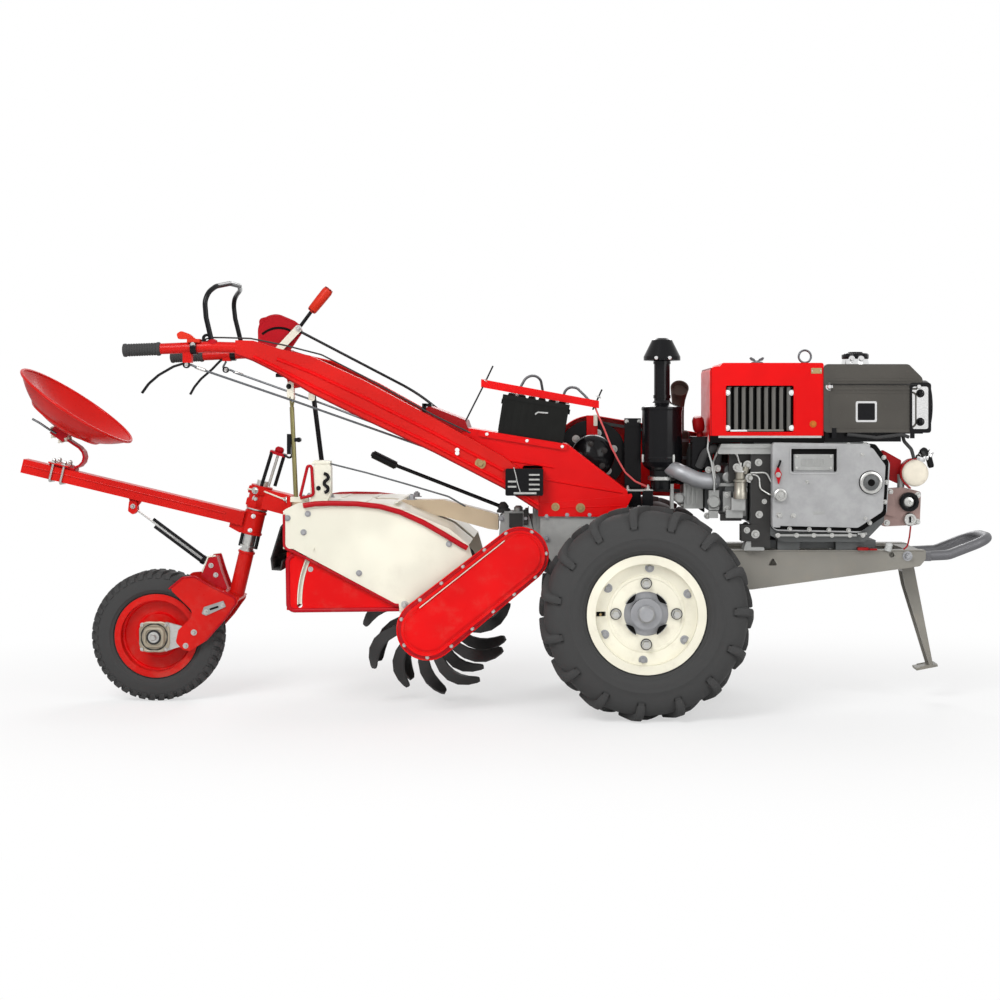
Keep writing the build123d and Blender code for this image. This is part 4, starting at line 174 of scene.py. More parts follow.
class Graph:
    """Builds the nodes of one material."""

    def __init__(self, name: str) -> None:
        """Starts an empty material of a name.

        Args:
            name: the material's name.
        """
        self.material = bpy.data.materials.new(name)
        self.material.use_nodes = True
        self.tree = self.material.node_tree
        self.tree.nodes.clear()
        self._place: Val | None = None

    def node(self, kind: str, settings: dict[str, Any], inputs: dict[Any, Any]) -> bpy.types.Node:
        """Adds a node.

        Args:
            kind: the node's type name.
            settings: properties, set before anything else.
            inputs: socket name or index to a value or a Val.

        Returns:
            The node.
        """
        made = self.tree.nodes.new(kind)
        for key, value in settings.items():
            setattr(made, key, value)
        for key, value in inputs.items():
            if isinstance(value, Val):
                self.tree.links.new(value.socket, made.inputs[key])
            else:
                made.inputs[key].default_value = value
        return made

    def add(self, kind: str, settings: dict[str, Any], inputs: dict[Any, Any], output: Any = 0) -> Val:
        """Adds a node and returns one of its outputs."""
        return Val(self, self.node(kind, settings, inputs).outputs[output])

    @property
    def place(self) -> Val:
        """Object coordinates.

        Returns:
            The coordinates' socket.
        """
        if self._place is None:
            self._place = self.add("ShaderNodeTexCoord", {}, {}, "Object")
        return self._place

    def axes(self) -> tuple[Val, Val, Val]:
        """X, Y and Z of the object coordinates."""
        split = self.node("ShaderNodeSeparateXYZ", {}, {0: self.place})
        return Val(self, split.outputs[0]), Val(self, split.outputs[1]), Val(self, split.outputs[2])

    def noise(self, scale: float, detail: float = 3.0, rough: float = 0.5,
              stretch: Point | None = None) -> Val:
        """Fractal noise.

        Args:
            scale: cells to a metre.
            detail: octaves.
            rough: strength of the finer octaves.
            stretch: scale along X, Y and Z.

        Returns:
            The noise, about 0.5.
        """
        place = self.place
        if stretch is not None:
            place = self.add("ShaderNodeMapping", {}, {"Vector": place, "Scale": tuple(stretch)})
        inputs = {"Vector": place, "Scale": scale, "Detail": detail, "Roughness": rough}
        return self.add("ShaderNodeTexNoise", {}, inputs, "Fac")

    def cells(self, scale: float) -> Val:
        """Distance to the nearest cell centre of a Voronoi pattern."""
        return self.add("ShaderNodeTexVoronoi", {}, {"Vector": self.place, "Scale": scale}, "Distance")

    def blend(self, share: Any, low: Any, high: Any) -> Val:
        """Mixes two colours by a share.

        Args:
            share: how much of the second colour, 0 to 1.
            low: the colour at 0.
            high: the colour at 1.

        Returns:
            The mixed colour.
        """
        wide = [(*c, 1.0) if isinstance(c, tuple) else c for c in (low, high)]
        settings = {"data_type": "RGBA", "clamp_factor": True}
        return self.add("ShaderNodeMix", settings, {0: share, 6: wide[0], 7: wide[1]}, 2)

    def bump(self, height: Val, strength: float, depth: float, under: Val | None = None) -> Val:
        """A Bump node.

        Args:
            height: the height field.
            strength: how much of it shows.
            depth: its full height in metres.
            under: an earlier bump to add to.

        Returns:
            The bent normal.
        """
        inputs: dict[Any, Any] = {"Height": height, "Strength": strength, "Distance": depth}
        if under is not None:
            inputs["Normal"] = under
        return self.add("ShaderNodeBump", {}, inputs)

    def finish(self, inputs: dict[str, Any]) -> bpy.types.Material:
        """Closes the material with a Principled shader.

        Args:
            inputs: values or links, by the name of the shader's input.

        Returns:
            The material.
        """
        shader = self.node("ShaderNodeBsdfPrincipled", {}, inputs)
        output = self.node("ShaderNodeOutputMaterial", {}, {})
        self.tree.links.new(shader.outputs[0], output.inputs[0])
        return self.material


# --------------------------------------------------------------------------- meshes
# rows: where a flat shape's across, up and depth directions point
SIDE = Matrix(((1, 0, 0, 0), (0, 0, 1, 0), (0, 1, 0, 0), (0, 0, 0, 1)))    # X, Z, depth along Y
TOP = Matrix.Identity(4)                                                  # X, Y, depth along Z
FRONT = Matrix(((0, 0, 1, 0), (1, 0, 0, 0), (0, 1, 0, 0), (0, 0, 0, 1)))   # Y, Z, depth along X
CLUTCH_X, CLUTCH_Z = 0.283, 0.774    # the clutch shaft
PORT_X, PORT_Z = 1.126, 0.700        # the sight port in the gear cover


def toward(aim: Point, origin: Point = (0.0, 0.0, 0.0)) -> Matrix:
    """A frame at origin whose Z points along aim.

    Args:
        aim: the direction.
        origin: the frame's origin.

    Returns:
        The frame's matrix.
    """
    turn = Vector(aim).to_track_quat("Z", "Y").to_matrix().to_4x4()
    return Matrix.Translation(Vector(origin)) @ turn


def rounded(corners: Sequence[Point], radius: float | Sequence[float], steps: int = 4) -> list[Point]:
    """A flat outline with its corners rounded.

    Args:
        corners: the corners in order.
        radius: one radius, or one for each corner.
        steps: points on each arc, less one.

    Returns:
        The rounded outline.
    """
    radii = [radius] * len(corners) if isinstance(radius, (int, float)) else list(radius)
    points: list[Point] = []
    for index, corner in enumerate(corners):
        here = Vector(corner)
        before = (Vector(corners[index - 1]) - here)
        after = (Vector(corners[(index + 1) % len(corners)]) - here)
        angle = before.angle(after)
        reach = min(radii[index] / max(math.tan(angle / 2), 1e-4), before.length * 0.49,
                    after.length * 0.49)
        if reach < 1e-6:
            points.append(tuple(here))
            continue
        start, end = here + before.normalized() * reach, here + after.normalized() * reach
        for step in range(steps + 1):
            share = step / steps
            points.append(tuple(start * (1 - share) ** 2 + here * 2 * share * (1 - share) + end *
                                share ** 2))
    return points


class Form:
    """A shape in the model's frame, put together from turned, pressed and bent bodies."""

    def __init__(self) -> None:
        """Starts empty."""
        self.bm = bmesh.new()

    def _bevel(self, faces: Iterable[bmesh.types.BMFace], width: float, segments: int = 2) -> None:
        """Rounds the sharp edges of some faces.

        Args:
            faces: the faces.
            width: how wide the rounding is.
            segments: how many facets it has.
        """
        edges = {e for f in faces for e in f.edges if len(e.link_faces) == 2
                 and e.calc_face_angle(0.0) > 0.5}
        bmesh.ops.bevel(self.bm, geom=list(edges), offset=width, segments=segments, profile=0.5,
                        affect="EDGES", clamp_overlap=True)

    def lathe(self, profile: Sequence[Point], place: Matrix, steps: int = 40, closed: bool = False,
              wave: tuple[int, float] = (0, 0.0)) -> "Form":
        """Turns a profile about the frame's Z.

        Args:
            profile: (radius, along) pairs; a radius of 0 closes the shape.
            place: the frame of the axis.
            steps: sides.
            closed: joins the profile's end to its start.
            wave: lobes round the shape and how far they swell, as a share of the radius.

        Returns:
            The form itself.
        """
        rings = []
        for radius, along in profile:
            if radius < 1e-6:
                rings.append([self.bm.verts.new(place @ Vector((0, 0, along)))])
                continue
            ring = []
            for step in range(steps):
                angle = math.tau * step / steps
                reach = radius * (1 + wave[1] * math.cos(wave[0] * angle))
                ring.append(self.bm.verts.new(place @ Vector((reach * math.cos(angle),
                                                              reach * math.sin(angle), along))))
            rings.append(ring)
        pairs = list(zip(rings, rings[1:])) + ([(rings[-1], rings[0])] if closed else [])
        for low, high in pairs:
            for step in range(steps):
                after = (step + 1) % steps
                corners = [low[step % len(low)], low[after % len(low)],
                           high[after % len(high)], high[step % len(high)]]
                unique = list(dict.fromkeys(corners))
                if len(unique) > 2:
                    self.bm.faces.new(unique)
        return self

    def press(self, outline: Sequence[Point], low: float, high: float, place: Matrix = SIDE,
              bevel: float = 0.0, taper: float = 0.0) -> "Form":
        """Extrudes a flat outline.

        Args:
            outline: corners across and up.
            low: depth of one face.
            high: depth of the other.
            place: the frame; see SIDE, TOP and FRONT.
            bevel: rounding of the edges.
            taper: how far the high face is drawn in.

        Returns:
            The form itself.
        """
        middle = sum((Vector(p) for p in outline), Vector((0, 0))) / len(outline)
        near = [self.bm.verts.new(place @ Vector((u, v, low))) for u, v in outline]
        far = []
        for u, v in outline:
            inward = (middle - Vector((u, v)))
            at = Vector((u, v)) + (inward.normalized() * taper if inward.length > taper else inward)
            far.append(self.bm.verts.new(place @ Vector((at.x, at.y, high))))
        made = [self.bm.faces.new(near[::-1]), self.bm.faces.new(far)]
        for index in range(len(outline)):
            after = (index + 1) % len(outline)
            made.append(self.bm.faces.new((near[index], near[after], far[after], far[index])))
        if bevel > 0:
            self._bevel(made, bevel)
        return self

    def slab(self, low: Point, high: Point, bevel: float = 0.001, place: Matrix = TOP) -> "Form":
        """A block with rounded edges between two corners."""
        outline = [(low[0], low[1]), (high[0], low[1]), (high[0], high[1]), (low[0], high[1])]
        return self.press(outline, low[2], high[2], place, bevel)

    def skin(self, rows: Sequence[Sequence[Point]], wall: float = 0.0, loop: bool = False) -> "Form":
        """Faces over a grid of points, given a wall if one is asked for.

        Args:
            rows: rows of points, all of one length.
            wall: thickness; 0 leaves a sheet.
            loop: joins each row's end to its start.

        Returns:
            The form itself.
        """
        grid = [[self.bm.verts.new(Vector(p)) for p in row] for row in rows]
        made = []
        for low, high in zip(grid, grid[1:]):
            count = len(low) if loop else len(low) - 1
            for index in range(count):
                after = (index + 1) % len(low)
                made.append(self.bm.faces.new((low[index], low[after], high[after], high[index])))
        if wall:
            bmesh.ops.recalc_face_normals(self.bm, faces=made)
            bmesh.ops.solidify(self.bm, geom=made, thickness=wall)
        return self

    def ends(self, first: Sequence[Point], last: Sequence[Point]) -> "Form":
        """Closes a looped skin with two flat faces.

        Args:
            first: the first row's points.
            last: the last row's points.

        Returns:
            The form itself.
        """
        for row in (first, last):
            self.bm.faces.new([self.bm.verts.new(Vector(p)) for p in row])
        return self

    def mirror(self) -> "Form":
        """Adds the shape's mirror image across the centre plane.

        Returns:
            The form itself.
        """
        copied = bmesh.ops.duplicate(self.bm,
                                     geom=list(self.bm.verts) + list(self.bm.edges) + list(self.bm.faces))
        for item in copied["geom"]:
            if isinstance(item, bmesh.types.BMVert):
                item.co.y = -item.co.y
        return self

    def mesh(self, name: str, smooth: float = 32.0, weld: float = 1e-6) -> bpy.types.Mesh:
        """Closes the form and returns it as a mesh with its faces outward.

        Args:
            name: the mesh's name.
            smooth: edges sharper than this many degrees stay sharp.
            weld: vertices nearer than this are merged.

        Returns:
            The mesh.
        """
        bmesh.ops.remove_doubles(self.bm, verts=self.bm.verts, dist=weld)
        bmesh.ops.dissolve_degenerate(self.bm, edges=self.bm.edges, dist=1e-7)
        bmesh.ops.recalc_face_normals(self.bm, faces=self.bm.faces)
        made = bpy.data.meshes.new(name)
        self.bm.to_mesh(made)
        self.bm.free()
        made.shade_smooth()
        made.set_sharp_from_angle(angle=math.radians(smooth))
        return made


# --------------------------------------------------------------------------- geometry nodes
class Tree:
    """One Geometry Nodes tree with named inputs, run on a source mesh."""

    def __init__(self, name: str, inputs: dict[str, tuple[str, Any]]) -> None:
        """Starts a tree.

        Args:
            name: its name.
            inputs: label to socket type and default.
        """
        self.tree = bpy.data.node_groups.new(name, "GeometryNodeTree")
        self.tree.is_modifier = True
        face = self.tree.interface
        face.new_socket("Geometry", in_out="INPUT", socket_type="NodeSocketGeometry")
        self.ids: dict[str, str] = {}
        for label, (kind, default) in {**inputs, "Finish": ("NodeSocketMaterial", None)}.items():
            socket = face.new_socket(label, in_out="INPUT", socket_type=kind)
            if default is not None:
                socket.default_value = default
            self.ids[label] = socket.identifier
        face.new_socket("Geometry", in_out="OUTPUT", socket_type="NodeSocketGeometry")
        self.start = self.tree.nodes.new("NodeGroupInput")

    def add(self, kind: str, settings: dict[str, Any], inputs: dict[Any, Any],
            output: Any = 0) -> bpy.types.NodeSocket:
        """Adds a node and returns one of its outputs.

        Args:
            kind: the node's type name.
            settings: properties, set first.
            inputs: socket name or index to a value or another node's output.
            output: which output to return.

        Returns:
            The output socket.
        """
        node = self.tree.nodes.new(kind)
        for key, value in settings.items():
            setattr(node, key, value)
        for key, value in inputs.items():
            if isinstance(value, bpy.types.NodeSocket):
                self.tree.links.new(value, node.inputs[key])
            else:
                node.inputs[key].default_value = value
        return node.outputs[output]

    def given(self, label: str) -> bpy.types.NodeSocket:
        """The socket of a named input."""
        return self.start.outputs[label]

    def close(self, shape: bpy.types.NodeSocket) -> "Tree":
        """Ends the tree in Realize Instances and Set Material.

        Args:
            shape: the geometry that the tree ends with.

        Returns:
            The tree itself.
        """
        real = self.add("GeometryNodeRealizeInstances", {}, {0: shape})
        dressed = self.add("GeometryNodeSetMaterial", {},
                           {"Geometry": real, "Material": self.given("Finish")})
        end = self.tree.nodes.new("NodeGroupOutput")
        self.tree.links.new(dressed, end.inputs[0])
        return self

    def run(self, name: str, source: bpy.types.Mesh, look: "Look", values: dict[str, Any],
            smooth: float = 32.0) -> bpy.types.Mesh:
        """Runs the tree on a mesh.

        Args:
            name: the new mesh's name.
            source: the mesh it starts from.
            look: the finish.
            values: label to value.
            smooth: edges sharper than this many degrees stay sharp.

        Returns:
            The result as a plain mesh.
        """
        carrier = bpy.data.objects.new(name, source)
        bpy.context.scene.collection.objects.link(carrier)
        modifier = carrier.modifiers.new("tree", "NODES")
        modifier.node_group = self.tree
        for label, value in {**values, "Finish": look.material}.items():
            modifier[self.ids[label]] = value
        graph = bpy.context.evaluated_depsgraph_get()
        made = bpy.data.meshes.new_from_object(carrier.evaluated_get(graph), depsgraph=graph)
        carrier.modifiers.remove(modifier)
        bpy.data.objects.remove(carrier)
        made.name = name
        made.shade_smooth()
        made.set_sharp_from_angle(angle=math.radians(smooth))
        return made


def fastener_tree() -> Tree:
    """Screw or bolt heads with washers on points that carry aim and size.

    Returns:
        The tree.
    """
    sizes = {"Sides": ("NodeSocketInt", 6), "Head": ("NodeSocketFloat", 0.5),
             "Rise": ("NodeSocketFloat", 0.6),
             "Crown": ("NodeSocketFloat", 0.82), "Washer": ("NodeSocketFloat", 0.8),
             "Stud": ("NodeSocketFloat", 0.0)}
    t = Tree("fasteners", sizes)
    sides, head, rise = t.given("Sides"), t.given("Head"), t.given("Rise")
    body = t.add("GeometryNodeMeshCone", {"fill_type": "NGON"},
                 {"Vertices": sides, "Radius Top": head, "Radius Bottom": head, "Depth": rise})
    crown_radius = t.add("ShaderNodeMath", {"operation": "MULTIPLY"}, {0: head, 1: t.given("Crown")})
    crown_rise = t.add("ShaderNodeMath", {"operation": "MULTIPLY"}, {0: rise, 1: 0.22})
    crown = t.add("GeometryNodeMeshCone", {"fill_type": "NGON"},
                  {"Vertices": sides, "Radius Top": crown_radius, "Radius Bottom": head,
                   "Depth": crown_rise})
    top = t.add("ShaderNodeCombineXYZ", {}, {2: rise})
    crown = t.add("GeometryNodeTransform", {}, {"Geometry": crown, "Translation": top})
    washer = t.add("GeometryNodeMeshCone", {"fill_type": "NGON"},
                   {"Vertices": 20, "Radius Top": t.given("Washer"), "Radius Bottom": t.given("Washer"),
                    "Depth": 0.14})
    stud_radius = t.add("ShaderNodeMath", {"operation": "MULTIPLY"}, {0: head, 1: 0.5})
    stud_rise = t.add("ShaderNodeMath", {"operation": "ADD"}, {0: rise, 1: t.given("Stud")})
    stud = t.add("GeometryNodeMeshCone", {"fill_type": "NGON"},
                 {"Vertices": 12, "Radius Top": stud_radius, "Radius Bottom": stud_radius,
                  "Depth": stud_rise})
    unit = t.add("GeometryNodeJoinGeometry", {}, {})
    for piece in (body, crown, washer, stud):
        t.tree.links.new(piece, unit.node.inputs[0])
    aim = t.add("GeometryNodeInputNamedAttribute", {"data_type": "FLOAT_VECTOR"}, {"Name": "aim"})
    size = t.add("GeometryNodeInputNamedAttribute", {"data_type": "FLOAT"}, {"Name": "size"})
    turn = t.add("FunctionNodeAlignEulerToVector", {"axis": "Z"}, {"Vector": aim})
    placed = t.add("GeometryNodeInstanceOnPoints", {},
                   {"Points": t.given("Geometry"), "Instance": unit, "Rotation": turn, "Scale": size})
    return t.close(placed)


def ring_tree() -> Tree:
    """The source repeated round a Y axis through a centre.

    Returns:
        The tree.
    """
    sizes = {"Count": ("NodeSocketInt", 6), "Centre": ("NodeSocketVector", None),
             "Start": ("NodeSocketFloat", 0.0)}
    t = Tree("ring", sizes)
    line = t.add("GeometryNodeMeshLine", {"mode": "OFFSET"},
                 {"Count": t.given("Count"), "Offset": (0.0, 0.0, 0.0)})
    index = t.add("GeometryNodeInputIndex", {}, {})
    share = t.add("ShaderNodeMath", {"operation": "DIVIDE"}, {0: index, 1: t.given("Count")})
    turned = t.add("ShaderNodeMath", {"operation": "MULTIPLY_ADD"},
                   {0: share, 1: math.tau, 2: t.given("Start")})
    spin = t.add("ShaderNodeCombineXYZ", {}, {1: turned})
    back = t.add("ShaderNodeVectorMath", {"operation": "SCALE"}, {0: t.given("Centre"), "Scale": -1.0})
    home = t.add("GeometryNodeTransform", {}, {"Geometry": t.given("Geometry"), "Translation": back})
    placed = t.add("GeometryNodeInstanceOnPoints", {}, {"Points": line, "Instance": home, "Rotation": spin})
    moved = t.add("GeometryNodeTransform", {}, {"Geometry": placed, "Translation": t.given("Centre")})
    return t.close(moved)


def row_tree() -> Tree:
    """The source repeated along a line.

    Returns:
        The tree.
    """
    t = Tree("row", {"Count": ("NodeSocketInt", 6), "Pitch": ("NodeSocketVector", None)})
    line = t.add("GeometryNodeMeshLine", {"mode": "OFFSET"},
                 {"Count": t.given("Count"), "Offset": t.given("Pitch")})
    return t.close(t.add("GeometryNodeInstanceOnPoints", {},
                         {"Points": line, "Instance": t.given("Geometry")}))


def rod_tree() -> Tree:
    """Round bars along the source's edges, their corners bent to a radius.

    Returns:
        The tree.
    """
    sizes = {"Radius": ("NodeSocketFloat", 0.004), "Bend": ("NodeSocketFloat", 0.02),
             "Sides": ("NodeSocketInt", 10)}
    t = Tree("rods", sizes)
    path = t.add("GeometryNodeMeshToCurve", {}, {0: t.given("Geometry")})
    bent = t.add("GeometryNodeFilletCurve", {"mode": "POLY"},
                 {"Curve": path, "Count": 8, "Radius": t.given("Bend"), "Limit Radius": True})
    section = t.add("GeometryNodeCurvePrimitiveCircle", {"mode": "RADIUS"},
                    {"Resolution": t.given("Sides"), "Radius": t.given("Radius")})
    return t.close(t.add("GeometryNodeCurveToMesh", {},
                         {"Curve": bent, "Profile Curve": section, "Fill Caps": True}))


class Kit:
    """The trees, each made once, and the ways to turn meshes into finished pieces."""

    def __init__(self) -> None:
        """Builds the trees."""
        self.fastener, self.ring, self.row, self.rod = fastener_tree(), ring_tree(), row_tree(), rod_tree()

    def piece(self, mesh: bpy.types.Mesh, look: "Look", body: str,
              replaced: Sequence[str] = ()) -> bpy.types.Object:
        """Makes a mesh a finished piece of the machine.

        Args:
            mesh: its shape, in the model's frame.
            look: its finish.
            body: the body it moves with.
            replaced: the nodes it stands for.

        Returns:
            The object.
        """
        obj = bpy.data.objects.new(mesh.name, mesh)
        bpy.context.scene.collection.objects.link(obj)
        mesh.materials.clear()
        mesh.materials.append(look.material)
        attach(obj, body)
        if replaced:
            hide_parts(*replaced)
        log.info("%s: %d faces on %s", mesh.name, len(mesh.polygons), body)
        return obj

    def bolts(self, name: str, points: Sequence[Row], look: "Look", body: str,
              **sizes: float) -> bpy.types.Object:
        """Fasteners of one kind.

        Args:
            name: the piece's name.
            points: rows of place, direction and size across the head.
            look: the finish.
            body: the body they are on.
            sizes: the tree's inputs that differ from a hex head's.

        Returns:
            The object.
        """
        mesh = bpy.data.meshes.new(name)
        mesh.from_pydata([row[0] for row in points], [], [])
        mesh.attributes.new("aim", "FLOAT_VECTOR", "POINT")
        mesh.attributes.new("size", "FLOAT", "POINT")
        aim, size = mesh.attributes["aim"], mesh.attributes["size"]
        for index, row in enumerate(points):
            aim.data[index].vector = Vector(row[1]).normalized()
            size.data[index].value = row[2]
        return self.piece(self.fastener.run(name, mesh, look, sizes), look, body)

    def rods(self, name: str, paths: Sequence[Sequence[Point]], radius: float, look: "Look", body: str,
             bend: float = 0.02, sides: int = 10) -> bpy.types.Object:
        """Round bars, hoses or wires along paths.

        Args:
            name: the piece's name.
            paths: corners of each path.
            radius: of the bar.
            look: the finish.
            body: the body they are on.
            bend: the corners' radius.
            sides: of the section.

        Returns:
            The object.
        """
        points: list[Point] = []
        edges: list[tuple[int, int]] = []
        for path in paths:
            first = len(points)
            points += [tuple(p) for p in path]
            edges += [(first + i, first + i + 1) for i in range(len(path) - 1)]
        mesh = bpy.data.meshes.new(name)
        mesh.from_pydata(points, edges, [])
        values = {"Radius": radius, "Bend": bend, "Sides": sides}
        return self.piece(self.rod.run(name, mesh, look, values, smooth=50.0), look, body)

    def ring_of(self, name: str, form: Form, count: int, centre: Point, start: float, look: "Look",
                body: str, smooth: float = 32.0) -> bpy.types.Object:
        """A form repeated round a Y axis."""
        values = {"Count": count, "Centre": tuple(centre), "Start": start}
        return self.piece(self.ring.run(name, form.mesh(name), look, values, smooth), look, body)

    def row_of(self, name: str, form: Form, count: int, pitch: Point, look: "Look",
               body: str) -> bpy.types.Object:
        """A form repeated along a line."""
        return self.piece(self.row.run(name, form.mesh(name), look,
                                       {"Count": count, "Pitch": tuple(pitch)}), look, body)


def circle(centre: Point, radius: float, count: int, start: float = 0.0) -> list[Point]:
    """Points on a circle square to Y.

    Args:
        centre: its centre.
        radius: its radius.
        count: how many points.
        start: angle of the first, in degrees up from +X.

    Returns:
        The points.
    """
    x, y, z = centre
    angles = [math.radians(start + 360.0 * index / count) for index in range(count)]
    return [(x + radius * math.cos(a), y, z + radius * math.sin(a)) for a in angles]


# --------------------------------------------------------------------------- finishes
@dataclass(frozen=True)
class Finish:
    """A surface finish; the same finish always gives the same material."""

    name: str
    colour: Colour
    rough: float = 0.4

    def build(self) -> bpy.types.Material:
        """Builds the material."""
        raise NotImplementedError

    def material(self) -> bpy.types.Material:
        """The finish's material, made on first use."""
        found = bpy.data.materials.get(self.name)
        return found if found is not None else self.build()


def shade(colour: Colour, factor: float) -> Colour:
    """A colour made lighter or darker."""
    return tuple(min(1.0, c * factor) for c in colour)


@dataclass(frozen=True)
class Paint(Finish):
    """Sprayed enamel: orange peel, slight fading, a little dust low down and fine scuffs."""

    coat: float = 0.2
    peel: float = 0.2
    dust: float = 0.15
    dust_colour: Colour = (0.32, 0.27, 0.20)

    def build(self) -> bpy.types.Material:
        """Builds the enamel.

        Returns:
            The material.
        """
        g = Graph(self.name)
        z = g.axes()[2]
        drift = g.noise(5.0, 2.0)
        cloud = g.noise(38.0, 4.0, 0.6)
        base = g.blend(drift.step(0.35, 0.7), shade(self.colour, 0.86), self.colour)
        base = g.blend(cloud.step(0.62, 0.8) * 0.22, base, shade(self.colour, 0.66))
        scuff = g.noise(160.0, 3.0, 0.7, (1.0, 1.0, 0.25)).step(0.70, 0.78)
        low = z.step(0.75, 0.10)
        grime = (g.noise(16.0, 5.0, 0.7).step(0.48, 0.75) * low) * self.dust
        base = g.blend(grime, base, self.dust_colour)
        base = g.blend(scuff * 0.10, base, shade(self.colour, 1.3))
        rough = cloud.step(0.3, 0.8) * 0.10 + (self.rough - 0.05) + grime * 0.6 + scuff * 0.12
        skin = g.bump(g.noise(420.0, 1.0), self.peel * 0.5, 0.0003)
        skin = g.bump(g.noise(55.0, 2.0), 0.12, 0.0006, skin)
        return g.finish({"Base Color": base, "Roughness": rough, "Normal": skin,
                         "Coat Weight": self.coat, "Coat Roughness": 0.12, "Specular IOR Level": 0.12})


@dataclass(frozen=True)
class Cast(Finish):
    """Sand casting under thin paint: grain, oil-dark hollows and rubbed high spots."""

    metallic: float = 0.35
    grain: float = 0.35
    oil: float = 0.3

    def build(self) -> bpy.types.Material:
        """Builds the casting.

        Returns:
            The material.
        """
        g = Graph(self.name)
        blotch = g.noise(14.0, 5.0, 0.65)
        speck = g.noise(210.0, 3.0, 0.7)
        base = g.blend(blotch.step(0.35, 0.7), shade(self.colour, 0.82), self.colour)
        base = g.blend(speck.step(0.6, 0.75) * 0.15, base, shade(self.colour, 1.2))
        oil = g.noise(7.0, 4.0, 0.7).step(0.62, 0.80)
        base = g.blend(oil * self.oil, base, shade(self.colour, 0.4))
        rough = blotch * 0.22 + (self.rough - 0.08) - oil * 0.12
        skin = g.bump(speck, self.grain, 0.0005)
        skin = g.bump(g.cells(140.0), self.grain * 0.5, 0.0004, skin)
        return g.finish({"Base Color": base, "Roughness": rough, "Metallic": self.metallic, "Normal": skin})


@dataclass(frozen=True)
class Steel(Finish):
    """Bare, plated or blackened steel with drawn lines and some tarnish."""

    metallic: float = 1.0
    tarnish: float = 0.3
    tarnish_colour: Colour = (0.10, 0.06, 0.035)
    lines: Point = (1.0, 1.0, 12.0)

    def build(self) -> bpy.types.Material:
        """Builds the metal.

        Returns:
            The material.
        """
        g = Graph(self.name)
        drawn = g.noise(90.0, 3.0, 0.6, self.lines)
        spot = g.noise(30.0, 5.0, 0.7).step(0.52, 0.76)
        base = g.blend(drawn.step(0.3, 0.7), shade(self.colour, 0.8), self.colour)
        base = g.blend(spot * self.tarnish, base, self.tarnish_colour)
        rough = drawn * 0.16 + (self.rough - 0.06) + spot * (0.35 * self.tarnish)
        metal = self.metallic - spot * (0.5 * self.tarnish)
        skin = g.bump(drawn, 0.18, 0.0003)
        skin = g.bump(spot, 0.12 * self.tarnish, 0.0004, skin)
        return g.finish({"Base Color": base, "Roughness": rough, "Metallic": metal, "Normal": skin})


@dataclass(frozen=True)
class Rubber(Finish):
    """Moulded rubber with bloom, dust in the pores and fine flow marks."""

    dust: float = 0.35
    dust_colour: Colour = (0.13, 0.115, 0.085)

    def build(self) -> bpy.types.Material:
        """Builds the rubber.

        Returns:
            The material.
        """
        g = Graph(self.name)
        bloom = g.noise(9.0, 4.0, 0.6)
        pore = g.noise(320.0, 3.0, 0.7)
        base = g.blend(bloom.step(0.4, 0.7), shade(self.colour, 0.7), self.colour)
        veil = bloom.step(0.42, 0.75) * pore.step(0.35, 0.6) * self.dust
        base = g.blend(veil, base, self.dust_colour)
        rough = pore * 0.18 + (self.rough - 0.06) + veil * 0.25
        skin = g.bump(pore, 0.25, 0.0004)
        skin = g.bump(g.noise(60.0, 3.0), 0.12, 0.0008, skin)
        return g.finish({"Base Color": base, "Roughness": rough, "Normal": skin,
                         "Specular IOR Level": 0.05})


@dataclass(frozen=True)
class Plastic(Finish):
    """Moulded plastic with a fine spark texture."""

    grain: float = 0.15

    def build(self) -> bpy.types.Material:
        """Builds the plastic.

        Returns:
            The material.
        """
        g = Graph(self.name)
        cloud = g.noise(25.0, 3.0)
        base = g.blend(cloud.step(0.3, 0.75), shade(self.colour, 0.85), self.colour)
        spark = g.noise(700.0, 2.0, 0.6)
        rough = cloud * 0.12 + (self.rough - 0.06)
        return g.finish({"Base Color": base, "Roughness": rough,
                         "Normal": g.bump(spark, self.grain, 0.0002),
                         "Specular IOR Level": 0.15})


@dataclass(frozen=True)
class Glass(Finish):
    """Moulded lamp or gauge glass."""

    alpha: float = 0.3

    def build(self) -> bpy.types.Material:
        """Builds the glass.

        Returns:
            The material.
        """
        g = Graph(self.name)
        flute = (g.axes()[1] * 420.0).sine() * 0.5 + 0.5
        smear = g.noise(18.0, 3.0).step(0.4, 0.8)
        return g.finish({"Base Color": g.blend(smear, self.colour, shade(self.colour, 0.9)),
                         "Roughness": smear * 0.1 + self.rough, "Alpha": smear * 0.12 + self.alpha,
                         "Normal": g.bump(flute, 0.35, 0.0008), "IOR": 1.5})


